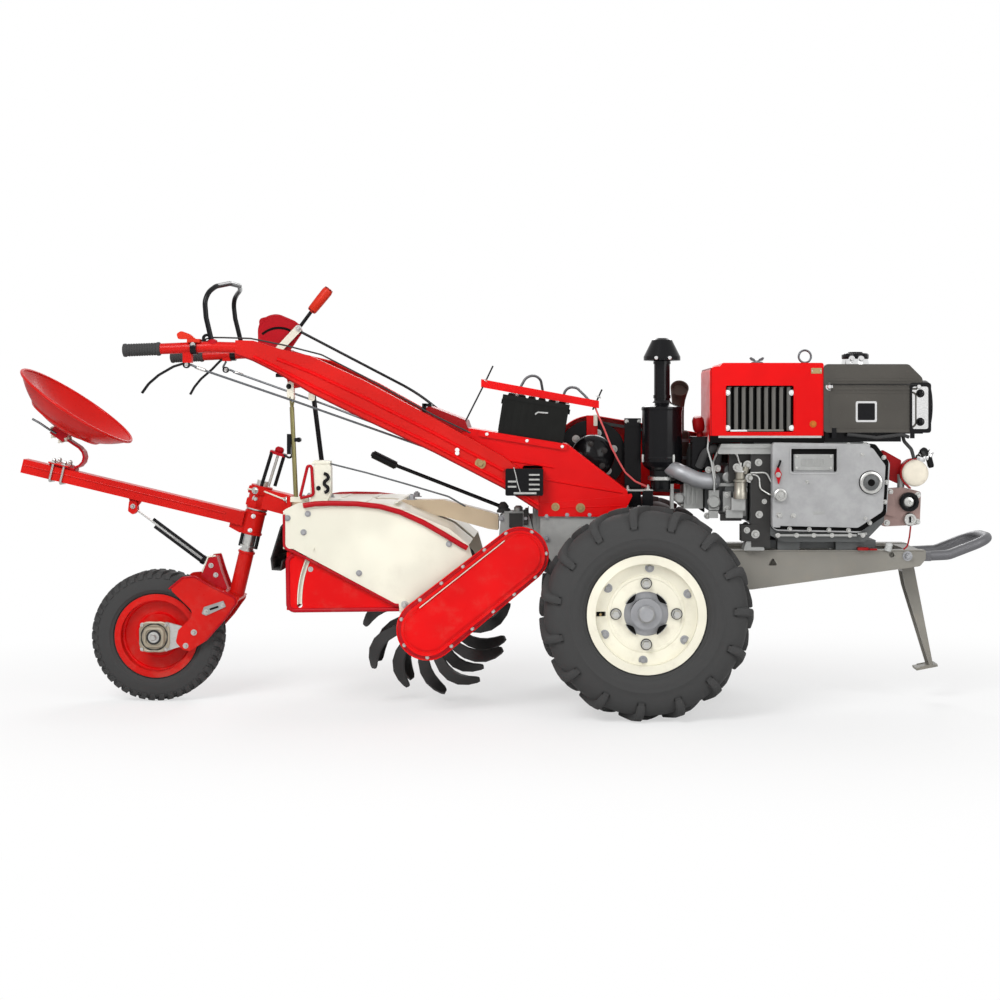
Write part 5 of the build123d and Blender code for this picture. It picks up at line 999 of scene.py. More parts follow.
class Look(Enum):
    """The machine's finishes by their use, each with the record's slot that it belongs to."""

    RED = Paint("red_enamel", (0.72, 0.002, 0.003), 0.34, coat=0.03, peel=0.08), "cowl_red"
    # the next two are darker copies of the red enamel, used where red parts, edges and bands look darker:
    # painted shade
    DARK_SHADE_RED = Paint("dark_shade_red_enamel", (0.30, 0.006, 0.008), 0.38, coat=0.03, peel=0.08), "console_red"
    SHADE_RED = Paint("shade_red_enamel", (0.44, 0.005, 0.012), 0.36, coat=0.03, peel=0.08), "handle_red"
    ARM_RED = Paint("arm_enamel", (0.60, 0.010, 0.007), 0.32, coat=0.05, peel=0.08), "handle_red"
    CREAM = Paint("cream_enamel", (0.80, 0.78, 0.66), 0.36, coat=0.2, dust=0.15), "tiller_cream"
    RIM_CREAM = Paint("wheel_cream", (0.83, 0.80, 0.665), 0.40, coat=0.15, dust=0.25), "rim_paint"
    RAIL_GREY = Paint("frame_grey", (0.235, 0.225, 0.200), 0.42, coat=0.1, dust=0.3), "rail_grey"
    SLAT = Paint("slat_grey", (0.135, 0.130, 0.120), 0.34, coat=0.1), "core_alloy"
    WHITE = Paint("white_plastic", (0.85, 0.86, 0.86), 0.35, coat=0.1, dust=0.05), "rim_paint"
    DARK_GREY = Paint("bumper_grey", (0.20, 0.21, 0.23), 0.30, coat=0.15), "bumper_grey"
    BLACK = Paint("black_enamel", (0.006, 0.006, 0.007), 0.20, coat=0.08, peel=0.05,
                  dust=0.04), "engine_black"
    TANK = Paint("tank_enamel", (0.072, 0.067, 0.059), 0.24, coat=0.15, peel=0.08, dust=0.04), "tank_dark"
    # cream darkened to tan for the tiller beam: painted shade
    SHADED_CREAM = Paint("shaded_beam_cream", (0.58, 0.47, 0.33), 0.42, coat=0.1), "tiller_cream"
    ORANGE = Paint("orange_zinc", (0.55, 0.16, 0.02), 0.35, coat=0.2), "clamp_red"
    CASE = Cast("case_casting", (0.33, 0.335, 0.325), 0.52, metallic=0.2), "case_grey"
    COVER = Cast("cover_casting", (0.355, 0.357, 0.36), 0.46, metallic=0.2, grain=0.15,
                 oil=0.08), "engine_grey"
    ENGINE = Cast("engine_casting", (0.105, 0.11, 0.11), 0.50, metallic=0.3), "engine_grey"
    OIL_DARK = Cast("oily_casting", (0.018, 0.017, 0.016), 0.45, metallic=0.2), "engine_black"
    # grey casting tinted pink: a painted reflection of the red paint nearby
    ROSE_GREY = Cast("pink_reflection_casting", (0.30, 0.20, 0.18), 0.50, metallic=0.15), "engine_grey"
    IRON = Cast("bare_iron", (0.34, 0.345, 0.36), 0.42, metallic=0.45), "hub_iron"
    ALLOY = Cast("die_cast", (0.36, 0.365, 0.355), 0.42, metallic=0.5, grain=0.2, oil=0.12), "core_alloy"
    TINE = Steel("tine_steel", (0.045, 0.043, 0.040), 0.42, metallic=0.6, tarnish=0.35,
                 tarnish_colour=(0.07, 0.05, 0.03)), "tine_steel"
    ZINC = Steel("zinc_plate", (0.58, 0.58, 0.56), 0.30, tarnish=0.12), "carrier_steel"
    CHROME = Steel("bright_chrome", (0.82, 0.82, 0.82), 0.08, tarnish=0.04), "lamp_chrome"
    DARK_METAL = Steel("blued_steel", (0.13, 0.14, 0.15), 0.32, metallic=0.8, tarnish=0.1), "strut_black"
    OLIVE = Steel("olive_plate", (0.26, 0.235, 0.10), 0.34, metallic=0.75, tarnish=0.15), "strut_black"
    BEARING = Cast("bearing_casting", (0.37, 0.325, 0.245), 0.40, metallic=0.3, grain=0.2,
                   oil=0.2), "carrier_steel"
    BRASS = Steel("brass_bolt", (0.46, 0.33, 0.16), 0.32, tarnish=0.2), "filter_metal"
    PALE_BRASS = Steel("pump_barrel", (0.34, 0.32, 0.27), 0.34, metallic=0.7, tarnish=0.15), "filter_metal"
    SOOT = Steel("sooty_steel", (0.10, 0.062, 0.05), 0.62, metallic=0.3, tarnish=0.6), "muffler_black"
    TYRE = Rubber("tyre_rubber", (0.030, 0.026, 0.014), 0.56, dust=0.12,
                  dust_colour=(0.085, 0.075, 0.050)), "tyre_rubber"
    BELT = Rubber("belt_rubber", (0.014, 0.014, 0.014), 0.60, dust=0.12), "belt_rubber"
    GRIP = Rubber("grip_rubber", (0.010, 0.010, 0.011), 0.45, dust=0.06), "grip_rubber"
    # black that stands in for shade in holes, slots, gaps and behind the grille: painted shade; it also
    # colours dark joints
    SHADOW = Rubber("shade_and_joint_black", (0.006, 0.006, 0.006), 0.75, dust=0.0), "engine_black"
    BLACK_PLASTIC = Plastic("black_plastic", (0.0065, 0.0068, 0.0060), 0.38), "battery_plastic"
    RED_PLASTIC = Plastic("red_plastic", (0.62, 0.03, 0.012), 0.34), "throttle_plastic"
    LEAD_RED = Plastic("lead_red", (0.62, 0.10, 0.10), 0.45), "clamp_red"
    PALE_GREY = Plastic("pale_grey_plastic", (0.50, 0.51, 0.50), 0.40), "filter_metal"
    MILKY = Plastic("milky_plastic", (0.78, 0.72, 0.60), 0.30, grain=0.05), "filter_metal"
    LENS = Glass("lamp_glass", (0.86, 0.90, 0.90), 0.06), "lamp_chrome"

    def __init__(self, finish: Finish, slot: str) -> None:
        """Keeps the finish and the slot's name."""
        self.finish = finish
        self.slot = slot

    @property
    def material(self) -> bpy.types.Material:
        """The Blender material of this finish."""
        return self.finish.material()


NODE_LOOKS: dict[Look, tuple[str, ...]] = {
    Look.TYRE: ("left_wheel_tyre", "right_wheel_tyre", "tail_tyre"),
    Look.RIM_CREAM: ("left_wheel_rim", "right_wheel_rim"),
    Look.IRON: ("left_wheel_hub", "right_wheel_hub", "flywheel"),
    Look.CASE: ("transmission_case", "tiller_gearcase"),
    Look.RAIL_GREY: ("frame_rails", "frame_cross_members", "front_stand"),
    Look.DARK_GREY: ("front_bumper", "handle_stays"),
    Look.ENGINE: ("engine_block", "cylinder_head"),
    Look.COVER: ("gear_cover",),
    Look.BLACK: ("air_cleaner", "guard_hoop", "steering_controls", "clutch_lever", "tiller_shift_lever",
                 "height_screw", "seat_strut", "seat_spring", "battery_rods", "clutch_pulley"),
    Look.SHADE_RED: ("clutch_quadrant",), Look.SOOT: ("exhaust_muffler",),
    Look.RED: ("radiator_cowl", "belt_guard", "gearbox_console", "chain_case", "hood_rim", "apron",
               "battery_clamp"),
    Look.ARM_RED: ("handlebar_frame", "tail_bracket", "tail_rim", "tail_fork", "seat_beam", "seat_pan"),
    # the radiator core takes the shade black: painted shade behind the grille
    Look.ALLOY: ("fuel_filter",), Look.SHADOW: ("radiator_core",),
    Look.TANK: ("fuel_tank",),
    Look.CHROME: ("headlamp",),
    Look.BELT: ("drive_belts", "rear_flap"),
    Look.BLACK_PLASTIC: ("battery",),
    Look.GRIP: ("hand_grips",),
    Look.RED_PLASTIC: ("throttle_lever",),
    Look.CREAM: ("tiller_hood", "rotor_arm"),
    Look.SHADED_CREAM: ("tiller_beam",),
    Look.TINE: ("tiller_rotor",),
    Look.ZINC: ("tail_axle", "tail_post"),
}


def dress_nodes() -> None:
    """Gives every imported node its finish."""
    for look, names in NODE_LOOKS.items():
        for name in names:
            found = frame["nodes"].get(name)
            if found is None:
                continue
            found.data.materials.clear()
            found.data.materials.append(look.material)
            log.info("dressed %s in %s", name, look.finish.name)


# --------------------------------------------------------------------------- wheels
@dataclass
class MainWheel:
    """One driving wheel: treaded tyre, rim ring, bolts, nuts and valve."""

    side: int
    radius: float = 0.318
    half: float = 0.080
    bead: float = 0.1565
    lugs: int = 15
    lug_width: float = 0.026
    disc_out: float = 0.029
    half: float = 0.0800
    nut_circle: float = 0.090
    bolt_circle: float = 0.137
    # (radius, out from the wheel's middle) of the tyre's outside, bead to crown
    section: tuple[Point, ...] = (
        (0.1565, 0.0575), (0.179, 0.0575), (0.1815, 0.0630), (0.187, 0.0655), (0.190, 0.0700),
        (0.198, 0.0722),
        (0.201, 0.0748), (0.213, 0.0766), (0.224, 0.0772), (0.2255, 0.0780), (0.228, 0.0780),
        (0.2295, 0.0772),
        (0.245, 0.0768), (0.262, 0.0742), (0.276, 0.0690), (0.288, 0.0610), (0.2965, 0.0500),
        (0.3015, 0.0330), (0.3035, 0.0110))
    # a lug's stations from the crown outward: (radius, out, step round, height)
    lug_line: tuple[Row, ...] = (
        (0.3180, -0.0100, -0.006, 0.018), (0.3180, 0.0080, 0.008, 0.018), (0.3178, 0.0260, 0.020, 0.018),
        (0.3170, 0.0420, 0.030, 0.019), (0.3140, 0.0560, 0.037, 0.020), (0.3060, 0.0680, 0.041, 0.018),
        (0.2940, 0.0762, 0.043, 0.014), (0.2800, 0.0792, 0.044, 0.010), (0.2640, 0.0798, 0.045, 0.006),
        (0.2560, 0.0785, 0.045, 0.003))

    @property
    def name(self) -> str:
        """The wheel's body."""
        return "left_wheel" if self.side > 0 else "right_wheel"

    @property
    def centre(self) -> Vector:
        """The tyre's middle."""
        low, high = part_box(f"{self.name}_tyre")
        return (Vector(low) + Vector(high)) / 2

    def carcass(self, kit: Kit) -> None:
        """The tyre without its lugs.

        Args:
            kit: the maker that names, dresses and attaches pieces.
        """
        profile = [(r, y) for r, y in self.section] + [(r, -y) for r, y in reversed(self.section)]
        form = Form().lathe(profile, toward((0, 1, 0), self.centre), steps=96, closed=True)
        kit.piece(form.mesh(f"{self.name}_carcass", smooth=40), Look.TYRE, self.name, [f"{self.name}_tyre"])

    def lug(self, out: int) -> Form:
        """One lug, from the crown over one shoulder.

        Args:
            out: 1 for the machine's outside shoulder, -1 for the inside.

        Returns:
            The lug, at the wheel's front.
        """
        centre = self.centre
        line = [Vector((r, y)) for r, y, _, _ in self.lug_line]
        rows = []
        for index, (radius, across, along, height) in enumerate(self.lug_line):
            before, after = line[max(index - 1, 0)], line[min(index + 1, len(line) - 1)]
            run = (after - before).normalized()
            inward = Vector((-run.y, run.x))
            if inward.x > 0:
                inward = -inward
            share = index / (len(self.lug_line) - 1)
            width = self.lug_width * (1.0 - 0.25 * abs(share - 0.4))
            row = []
            for sink, wide in ((height, 0.62), (0.0025, 0.50), (0.0, 0.38), (0.0, -0.38), (0.0025, -0.50),
                               (height, -0.62)):
                at = Vector((radius, across)) + inward * sink
                turn = (along + wide * width) / self.radius
                row.append((centre.x + at.x * math.cos(turn),
                            centre.y + self.side * out * min(at.y, self.half),
                            centre.z + at.x * math.sin(turn)))
            rows.append(row)
        form = Form().skin(rows, loop=True)
        return form.ends(rows[0], rows[-1])

    def tread(self, kit: Kit) -> None:
        """Two rings of lugs, half a pitch apart.

        Args:
            kit: the maker that names, dresses and attaches pieces.
        """
        for out, name in ((1, "outer"), (-1, "inner")):
            start = 0.10 if out > 0 else 0.10 + math.pi / self.lugs
            kit.ring_of(f"{self.name}_{name}_lugs", self.lug(out), self.lugs, self.centre, start,
                        Look.TYRE, self.name, smooth=46)

    def fittings(self, kit: Kit) -> None:
        """Rim ring, bolts, nuts and valve.

        Args:
            kit: the maker that names, dresses and attaches pieces.
        """
        centre = self.centre
        face = centre.y + self.side * self.disc_out
        aim = (0, self.side, 0)
        step = 0.0029
        ring = [(0.103, -step), (0.106, 0.0018), (0.110, 0.0024), (0.114, 0.0018), (0.117, -step)]
        form = Form().lathe(ring, toward(aim, (centre.x, face, centre.z)), steps=64, closed=True)
        edge = self.side * 0.058
        roll = [(0.1700, -0.001), (0.1735, 0.0045), (0.1757, 0.0048), (0.1759, 0.0020), (0.1757, -0.001)]
        form.lathe(roll, toward(aim, (centre.x, centre.y + edge, centre.z)), steps=72, closed=True)
        kit.piece(form.mesh(f"{self.name}_rim_rings"), Look.RIM_CREAM, self.name)
        small = circle((centre.x, face + self.side * 0.004, centre.z), self.bolt_circle, 6, 26)
        kit.bolts(f"{self.name}_disc_bolts", [(p, aim, 0.017) for p in small], Look.IRON, self.name,
                  Rise=0.45)
        nuts = circle((centre.x, face, centre.z), self.nut_circle, 4)
        kit.bolts(f"{self.name}_nut_washers", [(p, aim, 0.034) for p in nuts], Look.BLACK, self.name,
                  Sides=24, Head=0.46, Rise=0.14, Washer=0.5)
        kit.bolts(f"{self.name}_nuts", [((p[0], p[1] + self.side * 0.004, p[2]), aim, 0.026) for p in nuts],
                  Look.ZINC, self.name, Stud=0.16, Washer=0.56)
        # black sheets in the hub's four windows are painted shade seen through the holes
        lens, glint = Form(), Form()
        for turn in (45, 135, 225, 315):
            bow = [math.radians(turn + step) for step in (-18, -12, -6, 0, 6, 12, 18)]
            hollow = [(math.radians(turn + step), 0.0655 - 0.0115 * math.cos(math.radians(step * 5)))
                      for step in (15, 9, 3, -3, -9, -15)]
            line = [(centre.x + 0.0672 * math.cos(a), centre.z + 0.0672 * math.sin(a)) for a in bow]
            line += [(centre.x + r * math.cos(a), centre.z + r * math.sin(a)) for a, r in hollow]
            lens.press(line, face + self.side * 0.004, face + self.side * 0.0131)
            edge = [(centre.x + r * math.cos(a), centre.z + r * math.sin(a))
                    for r, order in ((0.0690, bow), (0.0674, bow[::-1])) for a in order]
            glint.press(edge, face + self.side * 0.002, face + self.side * 0.0126)
        kit.piece(lens.mesh(f"{self.name}_hub_windows"), Look.SHADOW, self.name)
        kit.piece(glint.mesh(f"{self.name}_hub_lips"), Look.ALLOY, self.name)
        # black sheet in the valve slot: painted shade in the hole
        back = 0.0012 if self.side > 0 else 0.001
        slit = Form().slab((centre.x - 0.158, face - back, centre.z - 0.0065),
                           (centre.x - 0.124, face + 0.0012, centre.z + 0.0065), 0.0008)
        kit.piece(slit.mesh(f"{self.name}_valve_slot"), Look.SHADOW, self.name)
        slot = Vector((centre.x - 0.134, face, centre.z))
        tip = slot + Vector((-0.002, self.side * 0.022, 0))
        kit.rods(f"{self.name}_valve", [[slot + Vector((-0.014, -self.side * 0.012, 0)), slot, tip]],
                 0.0035, Look.BRASS, self.name, bend=0.008)

    def build(self, kit: Kit) -> None:
        """Builds the wheel.

        Args:
            kit: the maker that names, dresses and attaches pieces.
        """
        self.carcass(kit)
        self.tread(kit)
        self.fittings(kit)


@dataclass
class TailWheel:
    """Steered tail wheel: block-treaded tyre, rim ring and bolts, and its bearing blocks."""

    radius: float = 0.207
    blocks: int = 42
    section: tuple[Point, ...] = (
        (0.1185, 0.0336), (0.1355, 0.0336), (0.1370, 0.0400), (0.1440, 0.0440), (0.1465, 0.0468),
        (0.1600, 0.0487),
        (0.1620, 0.0480), (0.1760, 0.0484), (0.1880, 0.0445), (0.1955, 0.0370), (0.1995, 0.0230),
        (0.2010, 0.0080))

    @property
    def centre(self) -> Vector:
        """The tyre's middle."""
        low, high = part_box("tail_tyre")
        return (Vector(low) + Vector(high)) / 2

    def tyre(self, kit: Kit) -> None:
        """Carcass, shoulder blocks and centre rib.

        Args:
            kit: the maker that names, dresses and attaches pieces.
        """
        centre = self.centre
        profile = list(self.section) + [(r, -y) for r, y in reversed(self.section)]
        form = Form().lathe(profile, toward((0, 1, 0), centre), steps=84, closed=True)
        rib = [(0.2000, -0.006), (0.2065, -0.004), (0.2065, 0.004), (0.2000, 0.006)]
        form.lathe(rib, toward((0, 1, 0), centre), steps=84, closed=True)
        kit.piece(form.mesh("tail_carcass", smooth=40), Look.TYRE, "tail_wheel", ["tail_tyre"])
        pitch = math.tau / self.blocks
        for sign, name in ((-1, "right"), (1, "left")):
            rows = []
            for radius, across, sink in ((0.2068, 0.012, 0.009), (0.2068, 0.026, 0.009),
                                         (0.2045, 0.037, 0.009),
                                         (0.1960, 0.0455, 0.008), (0.1840, 0.0487, 0.004)):
                row = []
                for deep, wide in ((sink, 0.34), (0.0, 0.27), (0.0, -0.27), (sink, -0.34)):
                    turn = wide * pitch + across * 2.2
                    reach = radius - deep * (1.0 if across < 0.04 else 0.4)
                    out = across - (deep * 0.9 if across >= 0.04 else 0.0)
                    row.append((centre.x + reach * math.cos(turn), centre.y + sign * out,
                                centre.z + reach * math.sin(turn)))
                rows.append(row)
            block = Form().skin(rows, loop=True).ends(rows[0], rows[-1])
            kit.ring_of(f"tail_{name}_blocks", block, self.blocks, centre, 0.0 if sign > 0 else pitch / 2,
                        Look.TYRE, "tail_wheel", smooth=46)

    def rim(self, kit: Kit) -> None:
        """Pressed rings on both faces of the rim.

        Args:
            kit: the maker that names, dresses and attaches pieces.
        """
        centre = self.centre
        form = Form()
        for sign in (-1, 1):
            place = toward((0, sign, 0), centre)
            form.lathe([(0.104, 0.004), (0.108, 0.0100), (0.113, 0.0110), (0.117, 0.004)], place, steps=56,
                       closed=True)
            form.lathe([(0.1275, 0.034), (0.1312, 0.0385), (0.1318, 0.036), (0.1318, 0.033)], place, 56,
                       closed=True)
            form.lathe([(0.062, 0.004), (0.066, 0.0065), (0.072, 0.0070), (0.076, 0.004)], place, steps=56,
                       closed=True)
        kit.piece(form.mesh("tail_rim_rings"), Look.RED, "tail_wheel")

    def bearings(self, kit: Kit) -> None:
        """Four-lobed bearing flange with its round nut, outside each carrier plate.

        Args:
            kit: the maker that names, dresses and attaches pieces.
        """
        centre = self.centre
        for sign, name in ((-1, "right"), (1, "left")):
            y = centre.y + sign * 0.0587
            place = toward((0, sign, 0), (centre.x, y, centre.z)) @ Matrix.Rotation(math.radians(45), 4,
                "Z")
            flange = Form().lathe([(0.0, -0.002), (0.0500, -0.002), (0.0520, 0.0), (0.0520, 0.0040),
                                   (0.0480, 0.0065), (0.0450, 0.0050),
                                   (0.0380, 0.0050), (0.0360, 0.0110), (0.0340, 0.0150), (0.0270, 0.0165),
                                   (0.0250, 0.0120), (0.0, 0.0120)],
                                  place, steps=64, wave=(4, 0.085))
            kit.piece(flange.mesh(f"tail_{name}_bearing", smooth=40), Look.BEARING, "sulky")
            rings = Form().lathe([(0.0390, 0.0042), (0.0440, 0.0042), (0.0440, 0.0056), (0.0390, 0.0056)],
                                 place, 48, closed=True)
            rings.lathe([(0.0, 0.0), (0.0235, 0.0), (0.0235, 0.0126), (0.0, 0.0126)], place, 40)
            kit.piece(rings.mesh(f"tail_{name}_bearing_seals"), Look.OIL_DARK, "sulky")
            corners = circle((centre.x, y + sign * 0.0035, centre.z), 0.0525, 4, 45)
            kit.bolts(f"tail_{name}_bearing_bolts", [(p, (0, sign, 0), 0.010) for p in corners], Look.ZINC,
                      "sulky")
            kit.bolts(f"tail_{name}_axle_nut",
                      [((centre.x, y + sign * 0.0125, centre.z), (0, sign, 0), 0.021)],
                      Look.ZINC, "sulky", Rise=0.5, Stud=0.2, Washer=0.6)

    def build(self, kit: Kit) -> None:
        """Builds the tail wheel.

        Args:
            kit: the maker that names, dresses and attaches pieces.
        """
        self.tyre(kit)
        self.rim(kit)
        self.bearings(kit)


# --------------------------------------------------------------------------- engine
def ring_press(form: Form, outer: Sequence[Point], inner: Sequence[Point], low: float, high: float,
               place: Matrix = SIDE, lift: float = 0.0) -> Form:
    """Adds a flat frame between two outlines of the same number of corners.

    Args:
        form: the form to add to.
        outer: the outer outline.
        inner: the inner outline.
        low: depth of the back.
        high: depth of the front.
        place: the frame; see SIDE.
        lift: how much further the inner edge stands forward.

    Returns:
        The form.
    """
    rows = [[tuple(place @ Vector((u, v, depth))) for u, v in line]
            for line, depth in ((outer, low), (outer, high), (inner, high + lift), (inner, low))]
    return form.skin(rows + [rows[0]], loop=True)


@dataclass
class GearCover:
    """Timing cover's fittings: window plate, gap line, flange bolts, sight port and lever."""

    face_y: float = -0.215
    step_y: float = -0.203
    # (x, z) corners of the raised face and of the whole cover
    face: tuple[Point, ...] = ((0.841, 0.806), (0.841, 0.568), (1.087, 0.562), (1.163, 0.612),
                               (1.171, 0.752), (1.131, 0.806))
    cover: tuple[Point, ...] = ((0.825, 0.822), (0.825, 0.552), (1.093, 0.546), (1.177, 0.604),
                                (1.187, 0.760), (1.139, 0.817))
    window: tuple[float, ...] = (0.883, 1.023, 0.730, 0.806)
    bolts: tuple[Point, ...] = ((0.8325, 0.700), (0.8325, 0.575), (0.880, 0.5575), (0.940, 0.556),
                                (1.000, 0.5545),
                                (1.060, 0.5535), (1.125, 0.5760), (1.172, 0.640), (1.1765, 0.700),
                                (1.168, 0.776), (1.060, 0.8145), (1.110, 0.8145))

    def grown(self, line: Sequence[Point], by: float) -> list[Point]:
        """An outline moved outward from its middle.

        Args:
            line: the outline's corners.
            by: how far each corner moves.

        Returns:
            The moved corners.
        """
        middle = sum((Vector(p) for p in line), Vector((0, 0))) / len(line)
        return [tuple(Vector(p) + Vector((math.copysign(by, p[0] - middle.x),
                                          math.copysign(by, p[1] - middle.y))))
                for p in line]

    def groove(self, kit: Kit) -> None:
        """Painted shade: a black sheet in the gap between the face and the flange; and the dark joint
        behind the cover.

        Args:
            kit: the maker that names, dresses and attaches pieces.
        """
        radii = [0.016] * 6
        inner = rounded(self.grown(self.face, -0.001), radii)
        outer = rounded(self.grown(self.face, 0.0115), radii)
        form = ring_press(Form(), outer, inner, self.step_y + 0.004, self.step_y - 0.0012)
        behind = [0.010, 0.022, 0.030, 0.024, 0.024, 0.016]
        ring_press(form, rounded(self.grown(self.cover, 0.0008), behind), rounded(self.cover, behind),
                   -0.1752, -0.1790)
        kit.piece(form.mesh("cover_gap"), Look.SHADOW, "chassis")
        cap = Form().press(rounded([(0.8262, 0.8200), (0.8262, 0.5630), (0.8500, 0.5630), (0.8500, 0.7300),
                                    (0.8500, 0.8030), (1.124, 0.8030), (1.124, 0.8180)],
                                   [0.008, 0.010, 0.003, 0.0, 0.003, 0.003, 0.006]), self.step_y + 0.004,
                                   self.face_y - 0.0006, bevel=0.0015)
        kit.piece(cap.mesh("cover_shoulder"), Look.COVER, "chassis")

    def plate(self, kit: Kit) -> None:
        """Silver plate sunk in the window, with painted shade above and at its sides, and a lighter border.

        Args:
            kit: the maker that names, dresses and attaches pieces.
        """
        x_low, x_high, z_low, z_high = self.window
        y = self.face_y + 0.009
        form = Form().slab((x_low + 0.011, y - 0.0045, z_low + 0.007),
                           (x_high - 0.011, y + 0.001, z_high - 0.020), 0.0015)
        kit.piece(form.mesh("window_plate"), Look.ALLOY, "chassis")
        # black strips above and beside the plate: painted shade in the window's recess
        dark = Form()
        dark.slab((x_low + 0.001, y - 0.0018, z_high - 0.020), (x_high - 0.001, y + 0.001, z_high + 0.006),
                  0.0006)
        for low, high in ((x_low + 0.001, x_low + 0.0085), (x_high - 0.0085, x_high - 0.001)):
            dark.slab((low, y - 0.0012, z_low + 0.003), (high, y + 0.001, z_high - 0.019), 0.0004)
        kit.piece(dark.mesh("window_painted_shade"), Look.SHADOW, "chassis")
        frame_in = rounded([(x_low, z_high), (x_low, z_low), (x_high, z_low), (x_high, z_high)], 0.008)
        frame_out = rounded([(x_low - 0.005, z_high + 0.004), (x_low - 0.005, z_low - 0.005),
                             (x_high + 0.005, z_low - 0.005), (x_high + 0.005, z_high + 0.004)], 0.011)
        lip = ring_press(Form(), frame_out, frame_in, self.face_y + 0.002, self.face_y - 0.0022, lift=0.001)
        kit.piece(lip.mesh("window_lip"), Look.COVER, "chassis")
        screws = [((x, y - 0.0045, z), (0, -1, 0), 0.008) for x in (x_low + 0.018, x_high - 0.018)
                  for z in (z_low + 0.014, z_high - 0.027)]
        kit.bolts("window_screws", screws, Look.ZINC, "chassis", Sides=16, Rise=0.3, Washer=0.52)
        vents = Form().slab((x_low + 0.032, y - 0.0062, z_low + 0.020),
                            (x_low + 0.036, y - 0.003, z_high - 0.034), 0.0008)
        kit.row_of("window_ribs", vents, 9, (0.0085, 0, 0), Look.ALLOY, "chassis")

    def ports(self, kit: Kit) -> None:
        """Sight port, crank boss and the red lever.

        Args:
            kit: the maker that names, dresses and attaches pieces.
        """
        y = self.face_y
        port = Form().lathe([(0.034, 0.006), (0.034, 0.0090), (0.0315, 0.0105), (0.0265, 0.0105),
                             (0.0245, 0.0085),
                             (0.0245, 0.004)], toward((0, -1, 0), (PORT_X, y, PORT_Z)), 48, closed=True)
        kit.piece(port.mesh("port_ring"), Look.ZINC, "chassis")
        glass = Form().lathe([(0.0, 0.0), (0.0238, 0.0), (0.0238, 0.005), (0.016, 0.0062), (0.012, 0.0085),
                              (0.0, 0.0095)],
                             toward((0, -1, 0), (PORT_X, y - 0.001, PORT_Z)), 40)
        kit.piece(glass.mesh("port_plug"), Look.ENGINE, "chassis")
        eye = Form().lathe([(0.0, 0.006), (0.0115, 0.006), (0.0105, 0.0100), (0.0, 0.0108)],
                           toward((0, -1, 0), (PORT_X, y - 0.001, PORT_Z)), 28)
        kit.piece(eye.mesh("port_eye"), Look.SHADOW, "chassis")
        # black ring round the port: painted shade in the gap
        ring = Form().lathe([(0.0365, -0.001), (0.0365, 0.0006), (0.0345, 0.0006), (0.0345, -0.001)],
                            toward((0, -1, 0), (PORT_X, y, PORT_Z)), 48, closed=True)
        kit.piece(ring.mesh("port_gap"), Look.SHADOW, "chassis")
        boss = Form().lathe([(0.0, 0.0), (0.0195, 0.0), (0.0195, 0.0030), (0.016, 0.0052), (0.013, 0.0052),
                             (0.012, 0.0035),
                             (0.0, 0.0035)], toward((0, -1, 0), (0.849, y - 0.010, 0.662)), 36)
        kit.piece(boss.mesh("crank_cap"), Look.ZINC, "chassis")
        kit.bolts("crank_cap_bolt", [((0.849, y - 0.0132, 0.662), (0, -1, 0), 0.015)], Look.ZINC, "chassis",
                  Rise=0.4)
        lever = Form().press(rounded([(0.8420, 0.756), (0.8480, 0.737), (0.8535, 0.726), (0.8490, 0.711),
                                      (0.8440, 0.690), (0.8385, 0.712),
                                      (0.8320, 0.726), (0.8365, 0.738)], 0.003), y + 0.001, y - 0.0085,
                                      bevel=0.0015)
        kit.piece(lever.mesh("speed_lever"), Look.SHADE_RED, "chassis")
        kit.rods("speed_handle", [[(0.8415, y - 0.008, 0.746), (0.846, y - 0.010, 0.756),
                                   (0.8495, y - 0.010, 0.768)]], 0.0036,
                 Look.BLACK, "chassis", bend=0.006)
        kit.bolts("lever_bolt", [((0.8425, y - 0.0085, 0.724), (0, -1, 0), 0.010)], Look.ZINC, "chassis")
        small = [((x, y, z), (0, -1, 0), s)
                 for x, z, s in ((0.8465, 0.6005, 0.015), (0.8900, 0.5985, 0.013),
                                                            (0.9320, 0.7015, 0.009), (1.100, 0.785, 0.009),
                                                            (1.110, 0.590, 0.009))]
        kit.bolts("cover_plugs", small, Look.ZINC, "chassis", Rise=0.4, Washer=0.62)
        tab = Form().slab((0.950, y - 0.0012, 0.6035), (0.985, y + 0.0004, 0.6110), 0.0004)
        kit.piece(tab.mesh("cover_tab"), Look.ALLOY, "chassis")

    def build(self, kit: Kit) -> None:
        """Builds the fittings of the timing cover.

        Args:
            kit: the maker that names, dresses and attaches pieces.
        """
        self.groove(kit)
        self.plate(kit)
        self.ports(kit)
        rows = [((x, self.step_y, z), (0, -1, 0), 0.011) for x, z in self.bolts]
        kit.bolts("cover_bolts", rows, Look.ZINC, "chassis", Washer=0.66)
        sump = Form().slab((0.836, -0.1995, 0.5345), (1.086, -0.178, 0.5410), 0.0012)
        sump.slab((1.0895, -0.1985, 0.5390), (1.118, -0.178, 0.5455), 0.001)
        kit.piece(sump.mesh("sump_flange"), Look.ALLOY, "chassis")
        heads = [((x, -0.1995, 0.5378), (0, -1, 0), 0.009)
                 for x in (0.845, 0.902, 0.955, 1.010, 1.065, 1.105)]
        kit.bolts("sump_bolts", heads, Look.ZINC, "chassis", Rise=0.35)


